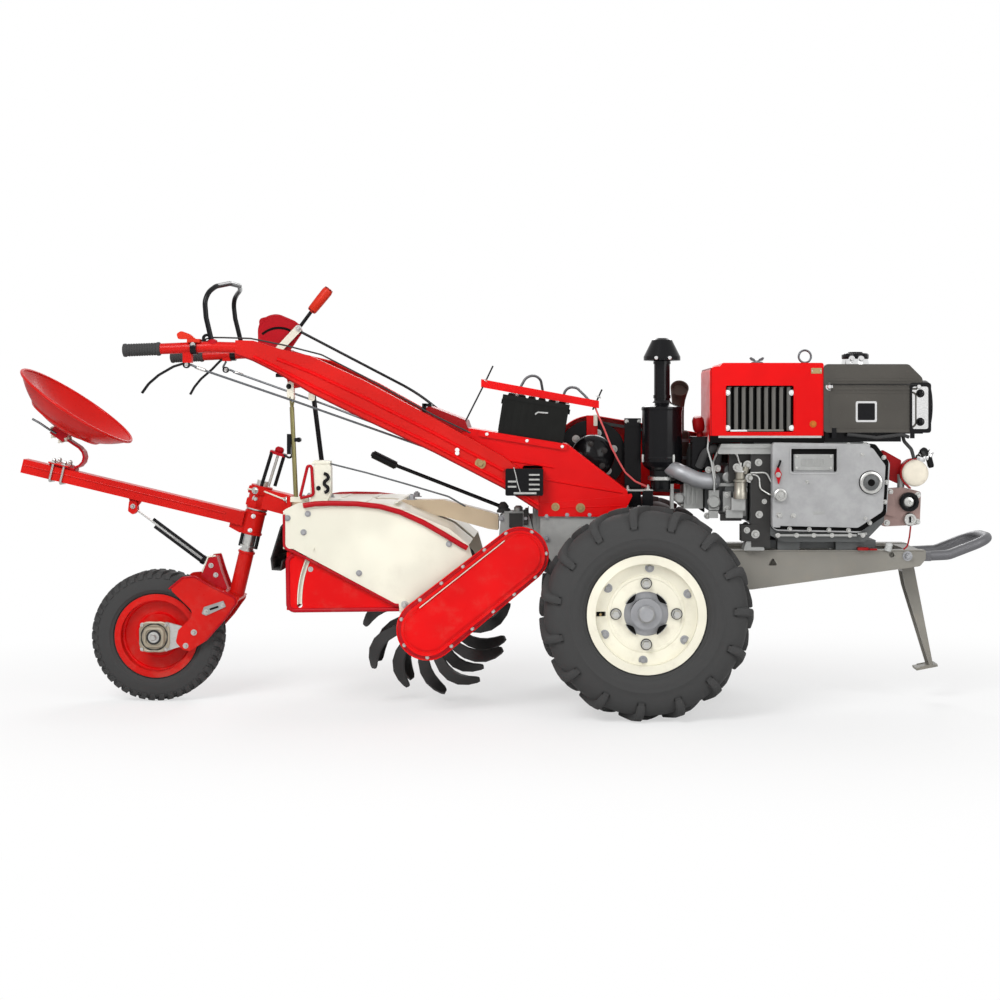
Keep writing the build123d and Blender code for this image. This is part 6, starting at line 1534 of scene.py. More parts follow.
@dataclass
class Crankcase:
    """Block and head fittings: intake elbow, pump, pipes, core plugs and feet."""

    head_y: float = -0.118

    def intake(self, kit: Kit) -> None:
        """Bright elbow from the cleaner to the head, with clamps and flange.

        Args:
            kit: the maker that names, dresses and attaches pieces.
        """
        path = [(0.520, -0.085, 0.742), (0.552, -0.128, 0.728), (0.604, -0.140, 0.704),
                (0.640, -0.128, 0.700), (0.658, -0.110, 0.700)]
        kit.rods("intake_elbow", [path], 0.0250, Look.IRON, "chassis", bend=0.05, sides=22)
        form = Form()
        for place in (toward((0.7, -0.5, -0.28), (0.536, -0.108, 0.735)),
                      toward((0.9, 0.35, -0.1), (0.632, -0.131, 0.7015))):
            form.lathe([(0.0208, -0.006), (0.0232, -0.006), (0.0232, 0.006), (0.0208, 0.006)], place, 28,
                       closed=True)
        kit.piece(form.mesh("intake_clamps"), Look.ZINC, "chassis")

    def head(self, kit: Kit) -> None:
        """Cast pads, cover joint, nuts and water outlet of the head.

        Args:
            kit: the maker that names, dresses and attaches pieces.
        """
        y = self.head_y
        form = Form()
        form.slab((0.640, y - 0.010, 0.610), (0.672, y + 0.002, 0.672), 0.004)
        form.slab((0.684, y - 0.014, 0.606), (0.708, y + 0.002, 0.668), 0.004)
        form.slab((0.716, y - 0.009, 0.592), (0.756, y + 0.002, 0.652), 0.005)
        form.slab((0.628, y - 0.004, 0.684), (0.764, y + 0.002, 0.694), 0.002)
        form.lathe([(0.0, 0.0), (0.020, 0.0), (0.020, 0.012), (0.016, 0.016), (0.0, 0.016)],
                   toward((0, -1, 0), (0.655, y - 0.008, 0.636)), 28)
        form.slab((0.566, -0.080, 0.612), (0.630, 0.070, 0.716), 0.012)
        for x in (0.576, 0.590, 0.604):
            form.slab((x, -0.086, 0.626), (x + 0.005, -0.078, 0.700), 0.002)
        form.slab((0.524, -0.088, 0.612), (0.534, -0.046, 0.690), 0.003)
        form.lathe([(0.0, 0.0), (0.013, 0.0), (0.013, 0.034), (0.0, 0.034)],
                   toward((1, 0, 0), (0.534, -0.064, 0.648)), 24)
        form.lathe([(0.0, 0.0), (0.0165, 0.0), (0.0165, 0.014), (0.012, 0.019), (0.0, 0.019)],
                   toward((0, -1, 0), (0.552, -0.074, 0.645)), 28)
        form.slab((0.640, y - 0.020, 0.586), (0.668, y + 0.002, 0.608), 0.004)
        form.lathe([(0.0, 0.0), (0.017, 0.0), (0.017, 0.010), (0.013, 0.013), (0.0, 0.013)],
                   toward((0, -1, 0), (0.700, y, 0.712)), 28)
        kit.piece(form.mesh("head_pads"), Look.ALLOY, "chassis")
        rows = [((x, y, z), (0, -1, 0), 0.013)
                for x, z in ((0.640, 0.735), (0.668, 0.740), (0.752, 0.735), (0.752, 0.672),
                                                            (0.636, 0.592), (0.700, 0.590))]
        rows += [((0.566, yy, z), (-1, 0, 0), 0.012) for yy in (-0.062, -0.005, 0.052)
                 for z in (0.622, 0.706)]
        rows += [((0.696, y - 0.014, z), (0, -1, 0), 0.011) for z in (0.616, 0.658)]
        kit.bolts("head_nuts", rows, Look.ZINC, "chassis", Stud=0.3)
        joint = Form().slab((0.7610, -0.122, 0.578), (0.7675, 0.112, 0.753), 0.0012)
        joint.slab((0.6265, -0.088, 0.6015), (0.6305, 0.078, 0.7265), 0.001)
        kit.piece(joint.mesh("head_joints"), Look.SHADOW, "chassis")

    def ledge(self, kit: Kit) -> None:
        """Top ledge of the block and the lower sump foot.

        Args:
            kit: the maker that names, dresses and attaches pieces.
        """
        form = Form().press(rounded([(0.660, 0.786), (0.832, 0.786), (0.832, 0.817), (0.672, 0.817)],
                                    0.006), -0.186, -0.120,
                            bevel=0.003)
        form.slab((0.672, -0.190, 0.8045), (0.836, -0.184, 0.8125), 0.002)
        form.press(rounded([(0.742, 0.489), (0.808, 0.489), (0.800, 0.512), (0.752, 0.520)], 0.004), -0.176,
                   -0.112, bevel=0.002)
        kit.piece(form.mesh("block_ledge"), Look.ALLOY, "chassis")
        kit.bolts("foot_bolts", [((x, -0.148, 0.5155), (0, 0, 1), 0.018) for x in (0.762, 0.786)] +
                  [((0.752, -0.182, 0.552), (0, -1, 0), 0.012), ((0.778, -0.182, 0.540), (0, -1, 0), 0.016),
                   ((0.790, -0.1785, 0.600), (0, -1, 0), 0.014),
                   ((0.806, -0.1785, 0.640), (0, -1, 0), 0.010),
                   ((0.788, -0.1785, 0.760), (0, -1, 0), 0.014)], Look.ZINC, "chassis", Stud=0.3)
        dark = Form().slab((0.700, -0.150, 0.700), (0.823, -0.120, 0.786), 0.004)
        dark.slab((0.766, -0.1785, 0.500), (0.8235, -0.120, 0.786), 0.004)
        dark.slab((0.735, -0.182, 0.518), (0.790, -0.128, 0.568), 0.005)
        dark.slab((0.676, -0.142, 0.578), (0.740, -0.116, 0.600), 0.003)
        kit.piece(dark.mesh("pump_bay"), Look.OIL_DARK, "chassis")

    def pump(self, kit: Kit) -> None:
        """Injection pump with its unions and pipes.

        Args:
            kit: the maker that names, dresses and attaches pieces.
        """
        x, y = 0.733, -0.168
        form = Form().lathe([(0.0, 0.648), (0.021, 0.648), (0.021, 0.668), (0.0185, 0.672), (0.0185, 0.698),
                             (0.0205, 0.700),
                             (0.0205, 0.706), (0.014, 0.710), (0.014, 0.730), (0.0, 0.730)],
                            Matrix.Translation(Vector((x, y, 0))), 32)
        form.lathe([(0.0, 0.0), (0.009, 0.0), (0.009, 0.022), (0.006, 0.030), (0.0, 0.030)],
                   toward((0.3, -0.2, 1), (x + 0.014, y, 0.726)), 16)
        kit.piece(form.mesh("pump_barrel"), Look.PALE_BRASS, "chassis")
        kit.bolts("pump_unions", [((x, y, 0.730), (0, 0, 1), 0.024),
                                  ((x + 0.030, y - 0.002, 0.712), (0, -1, 0), 0.018),
                                  ((x - 0.012, y - 0.010, 0.745), (0, -1, 0), 0.015),
                                  ((x + 0.022, y - 0.004, 0.752), (0, -1, 0), 0.017)],
                  Look.ZINC, "chassis", Stud=0.6)
        plate = Form().slab((0.706, -0.172, 0.612), (0.748, -0.132, 0.650), 0.004)
        plate.slab((0.690, -0.160, 0.588), (0.742, -0.126, 0.613), 0.005)
        kit.piece(plate.mesh("pump_flange"), Look.ALLOY, "chassis")
        pipes = [[(x, y, 0.752), (0.720, -0.176, 0.790), (0.668, -0.160, 0.800), (0.652, -0.140, 0.760),
                  (0.662, -0.136, 0.690)],
                 [(x + 0.024, y - 0.006, 0.722), (0.790, -0.178, 0.722), (0.792, -0.182, 0.680),
                  (0.822, -0.196, 0.660), (0.830, -0.206, 0.664)],
                 [(0.764, -0.176, 0.728), (0.812, -0.184, 0.729), (0.826, -0.190, 0.700)]]
        kit.rods("fuel_pipes", pipes, 0.0032, Look.ZINC, "chassis", bend=0.018)
        dark_pipes = [[(0.640, -0.134, 0.845), (0.634, -0.150, 0.800), (0.646, -0.152, 0.760),
                       (0.655, -0.150, 0.700), (0.656, -0.140, 0.668)]]
        kit.rods("breather_wire", dark_pipes, 0.0028, Look.PALE_GREY, "chassis", bend=0.02)
        hoses = [[(0.592, -0.020, 0.726), (0.592, -0.020, 0.800), (0.640, -0.060, 0.826)],
                 [(0.668, -0.100, 0.750), (0.672, -0.120, 0.800), (0.700, -0.120, 0.823)],
                 [(0.610, -0.120, 0.744), (0.628, -0.136, 0.790), (0.664, -0.132, 0.806)]]
        kit.rods("water_hoses", hoses, 0.013, Look.BELT, "chassis", bend=0.03, sides=16)

    def feet(self, kit: Kit) -> None:
        """Bolts through the engine's feet on both rails and the red clip on the rail.

        Args:
            kit: the maker that names, dresses and attaches pieces.
        """
        rows = [((x, y, 0.5345), (0, 0, 1), 0.022) for x in (0.868, 0.902, 1.048, 1.082)
                for y in (-0.150, 0.119)]
        kit.bolts("mount_bolts", rows, Look.ZINC, "chassis", Stud=0.4)
        clip = Form().slab((1.096, -0.168, 0.4885), (1.128, -0.140, 0.4970), 0.002)
        clip.slab((1.132, -0.164, 0.4885), (1.156, -0.146, 0.4935), 0.0015)
        kit.piece(clip.mesh("rail_clip"), Look.DARK_SHADE_RED, "chassis")
        socket = Form().lathe([(0.0, 0.0), (0.011, 0.0), (0.011, 0.020), (0.008, 0.024), (0.0, 0.024)],
                              toward((0.2, -0.3, 1), (1.190, -0.155, 0.4885)), 20)
        kit.piece(socket.mesh("drain_cap"), Look.PALE_GREY, "chassis")

    def build(self, kit: Kit) -> None:
        """Builds the fittings of block and head.

        Args:
            kit: the maker that names, dresses and attaches pieces.
        """
        self.intake(kit)
        self.head(kit)
        self.ledge(kit)
        self.pump(kit)
        self.feet(kit)


@dataclass
class Cowl:
    """Radiator cowl's fittings: slats, window frame, trim, cap, lifting eye and bolts."""

    right_y: float = -0.186
    left_y: float = 0.116
    window: tuple[float, ...] = (0.687, 0.895, 0.854, 0.996)
    slats: int = 9

    def grille(self, kit: Kit, sign: int, name: str) -> None:
        """One side's slats, frame and bolts.

        Args:
            kit: the trees.
            sign: -1 for the right side, 1 for the left.
            name: the side's name.
        """
        y = self.right_y if sign < 0 else self.left_y
        x_low, x_high, z_low, z_high = self.window
        pitch = (x_high - x_low) / self.slats
        x = x_low + pitch / 2
        mould = rounded([(x - 0.0085, y - sign * 0.019), (x - 0.0075, y - sign * 0.0105),
                         (x, y - sign * 0.0075),
                         (x + 0.0075, y - sign * 0.0105), (x + 0.0085, y - sign * 0.019)], 0.003)
        slat = Form().press(mould, z_low + 0.004, z_high - 0.004, TOP)
        kit.row_of(f"{name}_slats", slat, self.slats, (pitch, 0, 0), Look.SLAT, "chassis")
        # black panel behind the slats: painted shade
        panel = Form().slab((x_low - 0.004, y - sign * 0.0285, z_low - 0.004),
                            (x_high + 0.004, y - sign * 0.0265, z_high + 0.004), 0.0005)
        kit.piece(panel.mesh(f"{name}_core_shade"), Look.SHADOW, "chassis")
        lip_in = rounded([(x_low, z_high), (x_low, z_low), (x_high, z_low), (x_high, z_high)], 0.006)
        lip_out = rounded([(x_low - 0.005, z_high + 0.005), (x_low - 0.005, z_low - 0.005),
                           (x_high + 0.005, z_low - 0.005), (x_high + 0.005, z_high + 0.005)], 0.010)
        lip = ring_press(Form(), lip_out, lip_in, y - sign * 0.012, y + sign * 0.0014)
        kit.piece(lip.mesh(f"{name}_window_edge"), Look.RED, "chassis")
        aim = (0, sign, 0)
        corners = [((px, y - sign * 0.004, pz), aim, 0.011) for px in (x_low + 0.0055, x_high - 0.0055)
                   for pz in (z_low + 0.012, z_high - 0.022)]
        kit.bolts(f"{name}_window_bolts", corners, Look.WHITE, "chassis", Sides=18, Rise=0.5)
        rail = Form().slab((x_low + 0.014, y - sign * 0.010, z_low + 0.001),
                           (x_low + 0.066, y - sign * 0.004, z_low + 0.0065), 0.002)
        kit.piece(rail.mesh(f"{name}_window_bar"), Look.WHITE, "chassis")
        tail = Form().slab((x_low + 0.068, y - sign * 0.012, z_low + 0.002),
                           (x_high - 0.030, y - sign * 0.007, z_low + 0.0075), 0.002)
        kit.piece(tail.mesh(f"{name}_window_sill"), Look.RAIL_GREY, "chassis")

    def top(self, kit: Kit) -> None:
        """Filler cap with wings, lifting eye and name-free plate.

        Args:
            kit: the maker that names, dresses and attaches pieces.
        """
        place = Matrix.Translation(Vector((0.800, -0.040, 1.0655)))
        cap = Form().lathe([(0.0, 0.0), (0.021, 0.0), (0.021, 0.005), (0.018, 0.008), (0.007, 0.0095),
                            (0.006, 0.013), (0.0, 0.014)], place, 32)
        for sign in (-1, 1):
            wing = [(0.800 + sign * 0.005, 1.074), (0.800 + sign * 0.019, 1.078),
                    (0.800 + sign * 0.024, 1.0865),
                    (0.800 + sign * 0.018, 1.0885), (0.800 + sign * 0.006, 1.082)]
            cap.press(rounded(wing, 0.003), -0.043, -0.037, bevel=0.001)
        kit.piece(cap.mesh("water_cap"), Look.DARK_METAL, "chassis")
        ring = [(0.952 + 0.0195 * math.cos(a), -0.040, 1.0905 + 0.0195 * math.sin(a))
                for a in [math.tau * i / 24 - 1.4 for i in range(24)]]
        kit.rods("lifting_eye", [ring + [ring[0]], [(0.952, -0.040, 1.064), (0.952, -0.040, 1.071)]],
                 0.0034, Look.DARK_METAL, "chassis", bend=0.001)
        plate = Form().slab((0.9485, self.right_y - 0.0016, 1.0330),
                            (0.9810, self.right_y + 0.0004, 1.0500), 0.0008)
        kit.piece(plate.mesh("cowl_plate"), Look.BRASS, "chassis")
        kit.bolts("cowl_plate_rivets",
                  [((x, self.right_y - 0.0016, 1.0415), (0, -1, 0), 0.0045) for x in (0.9515, 0.978)],
                  Look.ZINC, "chassis", Sides=12, Rise=0.35, Washer=0.5)
        kit.bolts("cowl_bolt", [((0.9545, self.right_y, 0.8780), (0, -1, 0), 0.013)], Look.ORANGE,
                  "chassis", Sides=18, Rise=0.5)

    def trim(self, kit: Kit) -> None:
        """Bright strips under the cowl and the dark joint below them.

        Args:
            kit: the maker that names, dresses and attaches pieces.
        """
        form = Form()
        dark = Form()
        for sign, y in ((-1, self.right_y), (1, self.left_y)):
            low, high = sorted((y + sign * 0.0026, y - sign * 0.001))
            form.slab((0.664, low, 0.8355), (0.980, high, 0.8420), 0.0012)
            deep = sorted((y + sign * 0.0018, y - sign * 0.001))
            dark.slab((0.6375, deep[0], 0.8210), (0.988, deep[1], 0.8420), 0.0006)
        kit.piece(form.mesh("cowl_trim"), Look.ZINC, "chassis")
        kit.piece(dark.mesh("cowl_joint"), Look.SHADOW, "chassis")
        # darker red strips at the cowl's front and rear edges: painted shade
        edge = Form()
        for x in (0.6405, 0.9845):
            edge.slab((x, self.right_y - 0.0012, 0.826), (x + 0.0022, self.left_y + 0.0012, 1.0510), 0.0008)
        kit.piece(edge.mesh("cowl_edges"), Look.DARK_SHADE_RED, "chassis")

    def build(self, kit: Kit) -> None:
        """Builds the cowl's fittings.

        Args:
            kit: the maker that names, dresses and attaches pieces.
        """
        self.grille(kit, -1, "right")
        self.grille(kit, 1, "left")
        self.top(kit)
        self.trim(kit)


@dataclass
class Tank:
    """Fuel tank's filler cap, bare badge frame, straps and pressed lines."""

    right_y: float = -0.186
    left_y: float = 0.116
    seam_z: float = 1.000
    badge: tuple[float, ...] = (1.085, 1.150, 0.884, 0.948)

    def build(self, kit: Kit) -> None:
        """Builds the tank's fittings.

        Args:
            kit: the maker that names, dresses and attaches pieces.
        """
        place = Matrix.Translation(Vector((1.111, -0.040, 1.0845)))
        cap = Form().lathe([(0.0, -0.002), (0.041, -0.002), (0.042, 0.002), (0.042, 0.011), (0.038, 0.0155),
                            (0.024, 0.0165), (0.022, 0.020), (0.0, 0.021)], place, 60, wave=(20, 0.018))
        kit.piece(cap.mesh("fuel_cap", smooth=46), Look.BLACK, "chassis")
        kit.bolts("fuel_cap_hinges", [((x, -0.080, 1.081), (0, -1, 0), 0.013) for x in (1.093, 1.122)],
                  Look.CHROME, "chassis", Sides=14, Rise=0.6)
        collar = Form().lathe([(0.0385, -0.022), (0.043, -0.022), (0.043, -0.017), (0.0405, -0.003),
                               (0.0385, -0.003)], place, 48, closed=True)
        kit.piece(collar.mesh("filler_collar"), Look.CHROME, "chassis")
        x_low, x_high, z_low, z_high = self.badge
        for sign, y, name in ((-1, self.right_y, "right"), (1, self.left_y, "left")):
            inner = rounded([(x_low + 0.006, z_high - 0.006), (x_low + 0.006, z_low + 0.006),
                             (x_high - 0.006, z_low + 0.006), (x_high - 0.006, z_high - 0.006)], 0.004)
            outer = rounded([(x_low, z_high), (x_low, z_low), (x_high, z_low), (x_high, z_high)], 0.006)
            rim = ring_press(Form(), outer, inner, y - sign * 0.001, y + sign * 0.0022)
            kit.piece(rim.mesh(f"{name}_badge_frame"), Look.CHROME, "chassis")
            field_ = Form().press(inner, y + sign * 0.0006, y - sign * 0.001)
            kit.piece(field_.mesh(f"{name}_badge_field"), Look.BLACK, "chassis")
            rib = Form()
            for z, deep in ((0.986, 0.0022), (1.0135, 0.0020)):
                line = rounded([(1.000, z - 0.003), (1.274, z - 0.003), (1.274, z + 0.003),
                                (1.000, z + 0.003)], 0.003)
                rib.press(line, y - sign * 0.001, y + sign * deep, bevel=0.001)
            panel = rounded([(1.004, 0.866), (1.262, 0.866), (1.272, 0.876), (1.272, 0.972), (1.262, 0.978),
                             (1.004, 0.978)], 0.012)
            small = rounded([(1.009, 0.871), (1.258, 0.871), (1.267, 0.880), (1.267, 0.968), (1.258, 0.973),
                             (1.009, 0.973)], 0.012)
            ring_press(rib, panel, small, y - sign * 0.001, y + sign * 0.0016)
            kit.piece(rib.mesh(f"{name}_tank_ribs"), Look.TANK, "chassis")
            kit.bolts(f"{name}_tank_bolts", [((x, y, 0.9925), (0, sign, 0), 0.014) for x in (1.004, 1.278)],
                      Look.CHROME, "chassis", Sides=16)
        seam = Form()
        line = rounded([(0.9885, self.right_y - 0.0048), (1.2942, self.right_y - 0.0048),
                        (1.2942, self.left_y + 0.0048), (0.9885, self.left_y + 0.0048)], 0.018)
        seam.press(line, self.seam_z - 0.0014, self.seam_z + 0.0014, TOP)
        kit.piece(seam.mesh("tank_seam"), Look.BLACK, "chassis")
        straps = Form()
        for x in (1.012, 1.252):
            for sign, y in ((-1, self.right_y), (1, self.left_y)):
                low, high = sorted((y - sign * 0.001, y + sign * 0.0012))
                straps.slab((x, low, 0.834), (x + 0.014, high, 0.868), 0.0006)
        straps.slab((0.994, -0.160, 0.8235), (1.230, -0.128, 0.8515), 0.003)
        kit.piece(straps.mesh("tank_feet"), Look.BLACK, "chassis")
        ear = ring_press(Form(), rounded([(1.251, 1.005), (1.251, 0.851), (1.316, 0.851), (1.316, 1.005)],
                                         0.010),
                         rounded([(1.258, 0.993), (1.258, 0.863), (1.308, 0.863), (1.308, 0.993)], 0.008),
                         self.right_y + 0.016, self.right_y - 0.0045)
        kit.piece(ear.mesh("lamp_ear"), Look.BLACK, "chassis")
        shell = Form().press(rounded([(1.257, 0.994), (1.257, 0.862), (1.309, 0.862), (1.309, 0.994)],
                                     0.008), self.right_y + 0.014, self.right_y - 0.0015,
                             bevel=0.004)
        kit.piece(shell.mesh("lamp_ear_plate"), Look.CHROME, "chassis")
        kit.bolts("lamp_ear_bolts", [((1.283, self.right_y - 0.0015, z), (0, -1, 0), 0.016)
                                     for z in (0.885, 0.972)], Look.BLACK, "chassis")
        hose = [[(1.235, -0.150, 0.853), (1.240, -0.156, 0.825), (1.262, -0.160, 0.800),
                 (1.270, -0.158, 0.772)],
                [(1.060, -0.183, 0.846), (1.150, -0.184, 0.836), (1.228, -0.182, 0.846),
                 (1.250, -0.176, 0.838)]]
        kit.rods("fuel_hose", hose, 0.0055, Look.BELT, "chassis", bend=0.02, sides=12)


@dataclass
class Headlamp:
    """Round lamp: bowl, bezel, fluted glass, bulb and bracket."""

    x: float = 1.2913
    z: float = 0.934

    def build(self, kit: Kit) -> None:
        """Builds the lamp in place of its plain node.

        Args:
            kit: the maker that names, dresses and attaches pieces.
        """
        place = toward((1, 0, 0), (self.x, 0.0, self.z))
        bowl = Form().lathe([(0.0, 0.0006), (0.047, 0.0006), (0.060, 0.008), (0.073, 0.021), (0.079, 0.031),
                             (0.079, 0.036),
                             (0.076, 0.036), (0.070, 0.023), (0.057, 0.011), (0.045, 0.004), (0.0, 0.004)],
                             place, 64)
        kit.piece(bowl.mesh("lamp_bowl", smooth=50), Look.CHROME, "chassis", ["headlamp"])
        bezel = Form().lathe([(0.0775, 0.030), (0.0818, 0.031), (0.0822, 0.040), (0.0822, 0.050),
                              (0.079, 0.056), (0.073, 0.0575),
                              (0.071, 0.054), (0.073, 0.047), (0.0775, 0.043)], place, 64, closed=True)
        kit.piece(bezel.mesh("lamp_bezel", smooth=50), Look.BLACK, "chassis")
        glass = Form().lathe([(0.0, 0.0645), (0.020, 0.0640), (0.042, 0.0615), (0.060, 0.0570),
                              (0.0725, 0.0505), (0.0725, 0.0480),
                              (0.058, 0.0545), (0.040, 0.0590), (0.0, 0.0615)], place, 56)
        kit.piece(glass.mesh("lamp_lens", smooth=60), Look.LENS, "chassis")
        bulb = Form().lathe([(0.0, 0.006), (0.010, 0.006), (0.010, 0.020), (0.014, 0.028), (0.014, 0.038),
                             (0.008, 0.046), (0.0, 0.048)], place, 24)
        kit.piece(bulb.mesh("lamp_bulb", smooth=50), Look.MILKY, "chassis")
        strap = Form().lathe([(0.0790, 0.018), (0.0812, 0.018), (0.0812, 0.026), (0.0790, 0.026)], place,
                             56, closed=True)
        strap.slab((1.262, -0.020, 0.846), (1.330, 0.020, 0.8515), 0.0015)
        strap.slab((1.324, -0.020, 0.846), (1.3285, 0.020, 0.860), 0.001)
        kit.piece(strap.mesh("lamp_bracket"), Look.BLACK, "chassis")
        kit.bolts("lamp_bolts", [((1.326, 0.0, 0.8605), (0, 0, 1), 0.014)] +
                  [((1.3195, s * 0.0812, self.z), (0, s, 0), 0.010) for s in (-1, 1)], Look.ZINC, "chassis")


@dataclass
class FuelFilter:
    """Milky settling bowl in its red bracket, taps, and the pump plate ahead of the crankcase."""

    x: float = 1.275
    y: float = -0.150
    z: float = 0.726

    def build(self, kit: Kit) -> None:
        """Builds the filter in place of its plain node.

        Args:
            kit: the maker that names, dresses and attaches pieces.
        """
        place = toward((0, -1, 0), (self.x, self.y, self.z))
        bowl = Form().lathe([(0.0, -0.020), (0.030, -0.020), (0.0395, -0.010), (0.0415, 0.0),
                             (0.0400, 0.010), (0.034, 0.0165), (0.020, 0.0195), (0.0, 0.0200)], place, 48)
        kit.piece(bowl.mesh("settling_bowl", smooth=60), Look.MILKY, "chassis", ["fuel_filter"])
        guard = Form()
        rows = []
        for step in range(15):
            angle = math.radians(58 + step * 14)
            row = []
            for radius, deep in ((0.0425, -0.026), (0.0425, 0.006), (0.0465, 0.006), (0.0465, -0.026)):
                swell = radius + (0.004 if step in (0, 14) else 0)
                row.append((self.x + swell * math.cos(angle), self.y - deep,
                            self.z + swell * math.sin(angle)))
            rows.append(row)
        guard.skin(rows, loop=True).ends(rows[0], rows[-1])
        guard.press(rounded([(1.1755, 0.715), (1.232, 0.690), (1.238, 0.765), (1.1755, 0.800)], 0.006),
                    -0.128, -0.120, bevel=0.001)
        guard.slab((1.1755, -0.128, 0.700), (1.1805, -0.090, 0.790), 0.001)
        kit.piece(guard.mesh("bowl_bracket"), Look.DARK_SHADE_RED, "chassis")
        knob = Form()
        for at, aim, r, length in (((1.290, -0.146, 0.764), (0.35, -0.1, 1), 0.014, 0.026),
                                   ((1.310, -0.142, 0.770), (0.6, -0.1, 0.8), 0.012, 0.030)):
            knob.lathe([(0.0, 0.0), (r, 0.0), (r * 1.12, 0.004), (r * 1.12, length * 0.5),
                        (r * 0.8, length * 0.72), (r * 0.8, length), (0.0, length)],
                       toward(aim, at), 20, wave=(10, 0.03))
        kit.piece(knob.mesh("bleed_knobs"), Look.CHROME, "chassis")
        plug = Form().lathe([(0.0, 0.0), (0.010, 0.0), (0.010, 0.030), (0.007, 0.036), (0.0, 0.036)],
                            toward((0.25, 0, -1), (1.318, -0.146, 0.778)), 18)
        plug.lathe([(0.0, 0.0), (0.013, 0.0), (0.013, 0.010), (0.0, 0.012)],
                   toward((0.3, -0.9, 0.4), (1.300, -0.152, 0.790)), 18)
        kit.piece(plug.mesh("tap_handles"), Look.BLACK, "chassis")
        # the plate's pink tint is a painted reflection of the red paint nearby
        plate = Form().press(rounded([(1.1755, 0.560), (1.292, 0.566), (1.296, 0.668), (1.240, 0.682),
                                      (1.1755, 0.676)], 0.010),
                             -0.142, -0.112, bevel=0.003)
        plate.press(rounded([(1.1755, 0.600), (1.216, 0.590), (1.210, 0.660), (1.1755, 0.664)], 0.006),
                    -0.152, -0.140, bevel=0.002)
        kit.piece(plate.mesh("pump_plate"), Look.ROSE_GREY, "chassis")
        black = Form().lathe([(0.017, 0.0), (0.030, 0.0), (0.030, 0.013), (0.026, 0.016), (0.020, 0.016),
                              (0.017, 0.012)],
                             toward((0, -1, 0), (1.257, -0.142, 0.637)), 44, closed=True)
        kit.piece(black.mesh("pump_ring"), Look.BLACK, "chassis")
        hub = Form().lathe([(0.0, 0.0), (0.017, 0.0), (0.017, 0.008), (0.012, 0.011), (0.005, 0.011),
                            (0.004, 0.007), (0.0, 0.007)],
                           toward((0, -1, 0), (1.257, -0.142, 0.637)), 32)
        hub.lathe([(0.0, 0.0), (0.020, 0.0), (0.021, 0.006), (0.018, 0.014), (0.012, 0.014), (0.011, 0.010),
                   (0.0, 0.010)],
                  toward((0, -1, 0), (1.260, -0.142, 0.583)), 32)
        kit.piece(hub.mesh("pump_hubs"), Look.ZINC, "chassis")
        # black bar in the hub: painted shade in its slot
        bar = Form().slab((1.258, -0.158, 0.574), (1.262, -0.152, 0.592), 0.001)
        kit.piece(bar.mesh("hub_slot"), Look.SHADOW, "chassis")
        neck = Form().lathe([(0.0, 0.0), (0.011, 0.0), (0.011, 0.060), (0.0, 0.060)],
                            toward((0, 0, 1), (1.236, -0.128, 0.662)), 18)
        kit.piece(neck.mesh("bowl_neck"), Look.ALLOY, "chassis")
        wire = [[(1.262, -0.150, 0.562), (1.258, -0.152, 0.530), (1.252, -0.150, 0.500),
                 (1.240, -0.150, 0.4905)]]
        kit.rods("pump_wire", wire, 0.0026, Look.DARK_SHADE_RED, "chassis", bend=0.02)
        kit.bolts("pump_plate_bolts", [((x, -0.142, z), (0, -1, 0), 0.012)
                                       for x, z in ((1.190, 0.572), (1.284, 0.575), (1.286, 0.658),
                                                    (1.200, 0.668))],
                  Look.ZINC, "chassis")


@dataclass
class AirCleaner:
    """Bands, clips and cap screws of the oil-bath cleaner."""

    x: float = 0.499
    y: float = -0.062

    def build(self, kit: Kit) -> None:
        """Builds the cleaner's fittings.

        Args:
            kit: the maker that names, dresses and attaches pieces.
        """
        place = Matrix.Translation(Vector((self.x, self.y, 0.0)))
        bands = Form()
        for z, r in ((0.770, 0.0645), (0.925, 0.0645)):
            bands.lathe([(r - 0.002, z - 0.005), (r, z - 0.005), (r + 0.0008, z), (r, z + 0.005),
                         (r - 0.002, z + 0.005)], place, 56, closed=True)
        bands.lathe([(0.0245, 0.958), (0.0275, 0.958), (0.0275, 0.968), (0.0245, 0.968)], place, 40,
                    closed=True)
        bands.lathe([(0.0245, 1.066), (0.0275, 1.066), (0.0275, 1.074), (0.0245, 1.074)], place, 40,
                    closed=True)
        kit.piece(bands.mesh("cleaner_bands"), Look.BLACK, "chassis")
        screws = [((self.x + dx, self.y - 0.057, 1.083), (0, -1, 0), 0.012) for dx in (-0.022, 0.020)]
        kit.bolts("cap_screws", screws, Look.CHROME, "chassis", Sides=16, Rise=0.6, Washer=0.5)
        clips = Form()
        for turn in (200, 300, 60):
            a = math.radians(turn)
            at = Vector((self.x + 0.0655 * math.cos(a), self.y + 0.0655 * math.sin(a), 0.770))
            clips.lathe([(0.0, -0.012), (0.004, -0.012), (0.005, 0.0), (0.004, 0.012), (0.0, 0.012)],
                        Matrix.Translation(at), 12)
        kit.piece(clips.mesh("cleaner_clips"), Look.ZINC, "chassis")
        low = Form().lathe([(0.0405, 0.700), (0.0445, 0.702), (0.0445, 0.712), (0.0405, 0.714)], place, 44,
                           closed=True)
        kit.piece(low.mesh("cleaner_foot_ring"), Look.ZINC, "chassis")


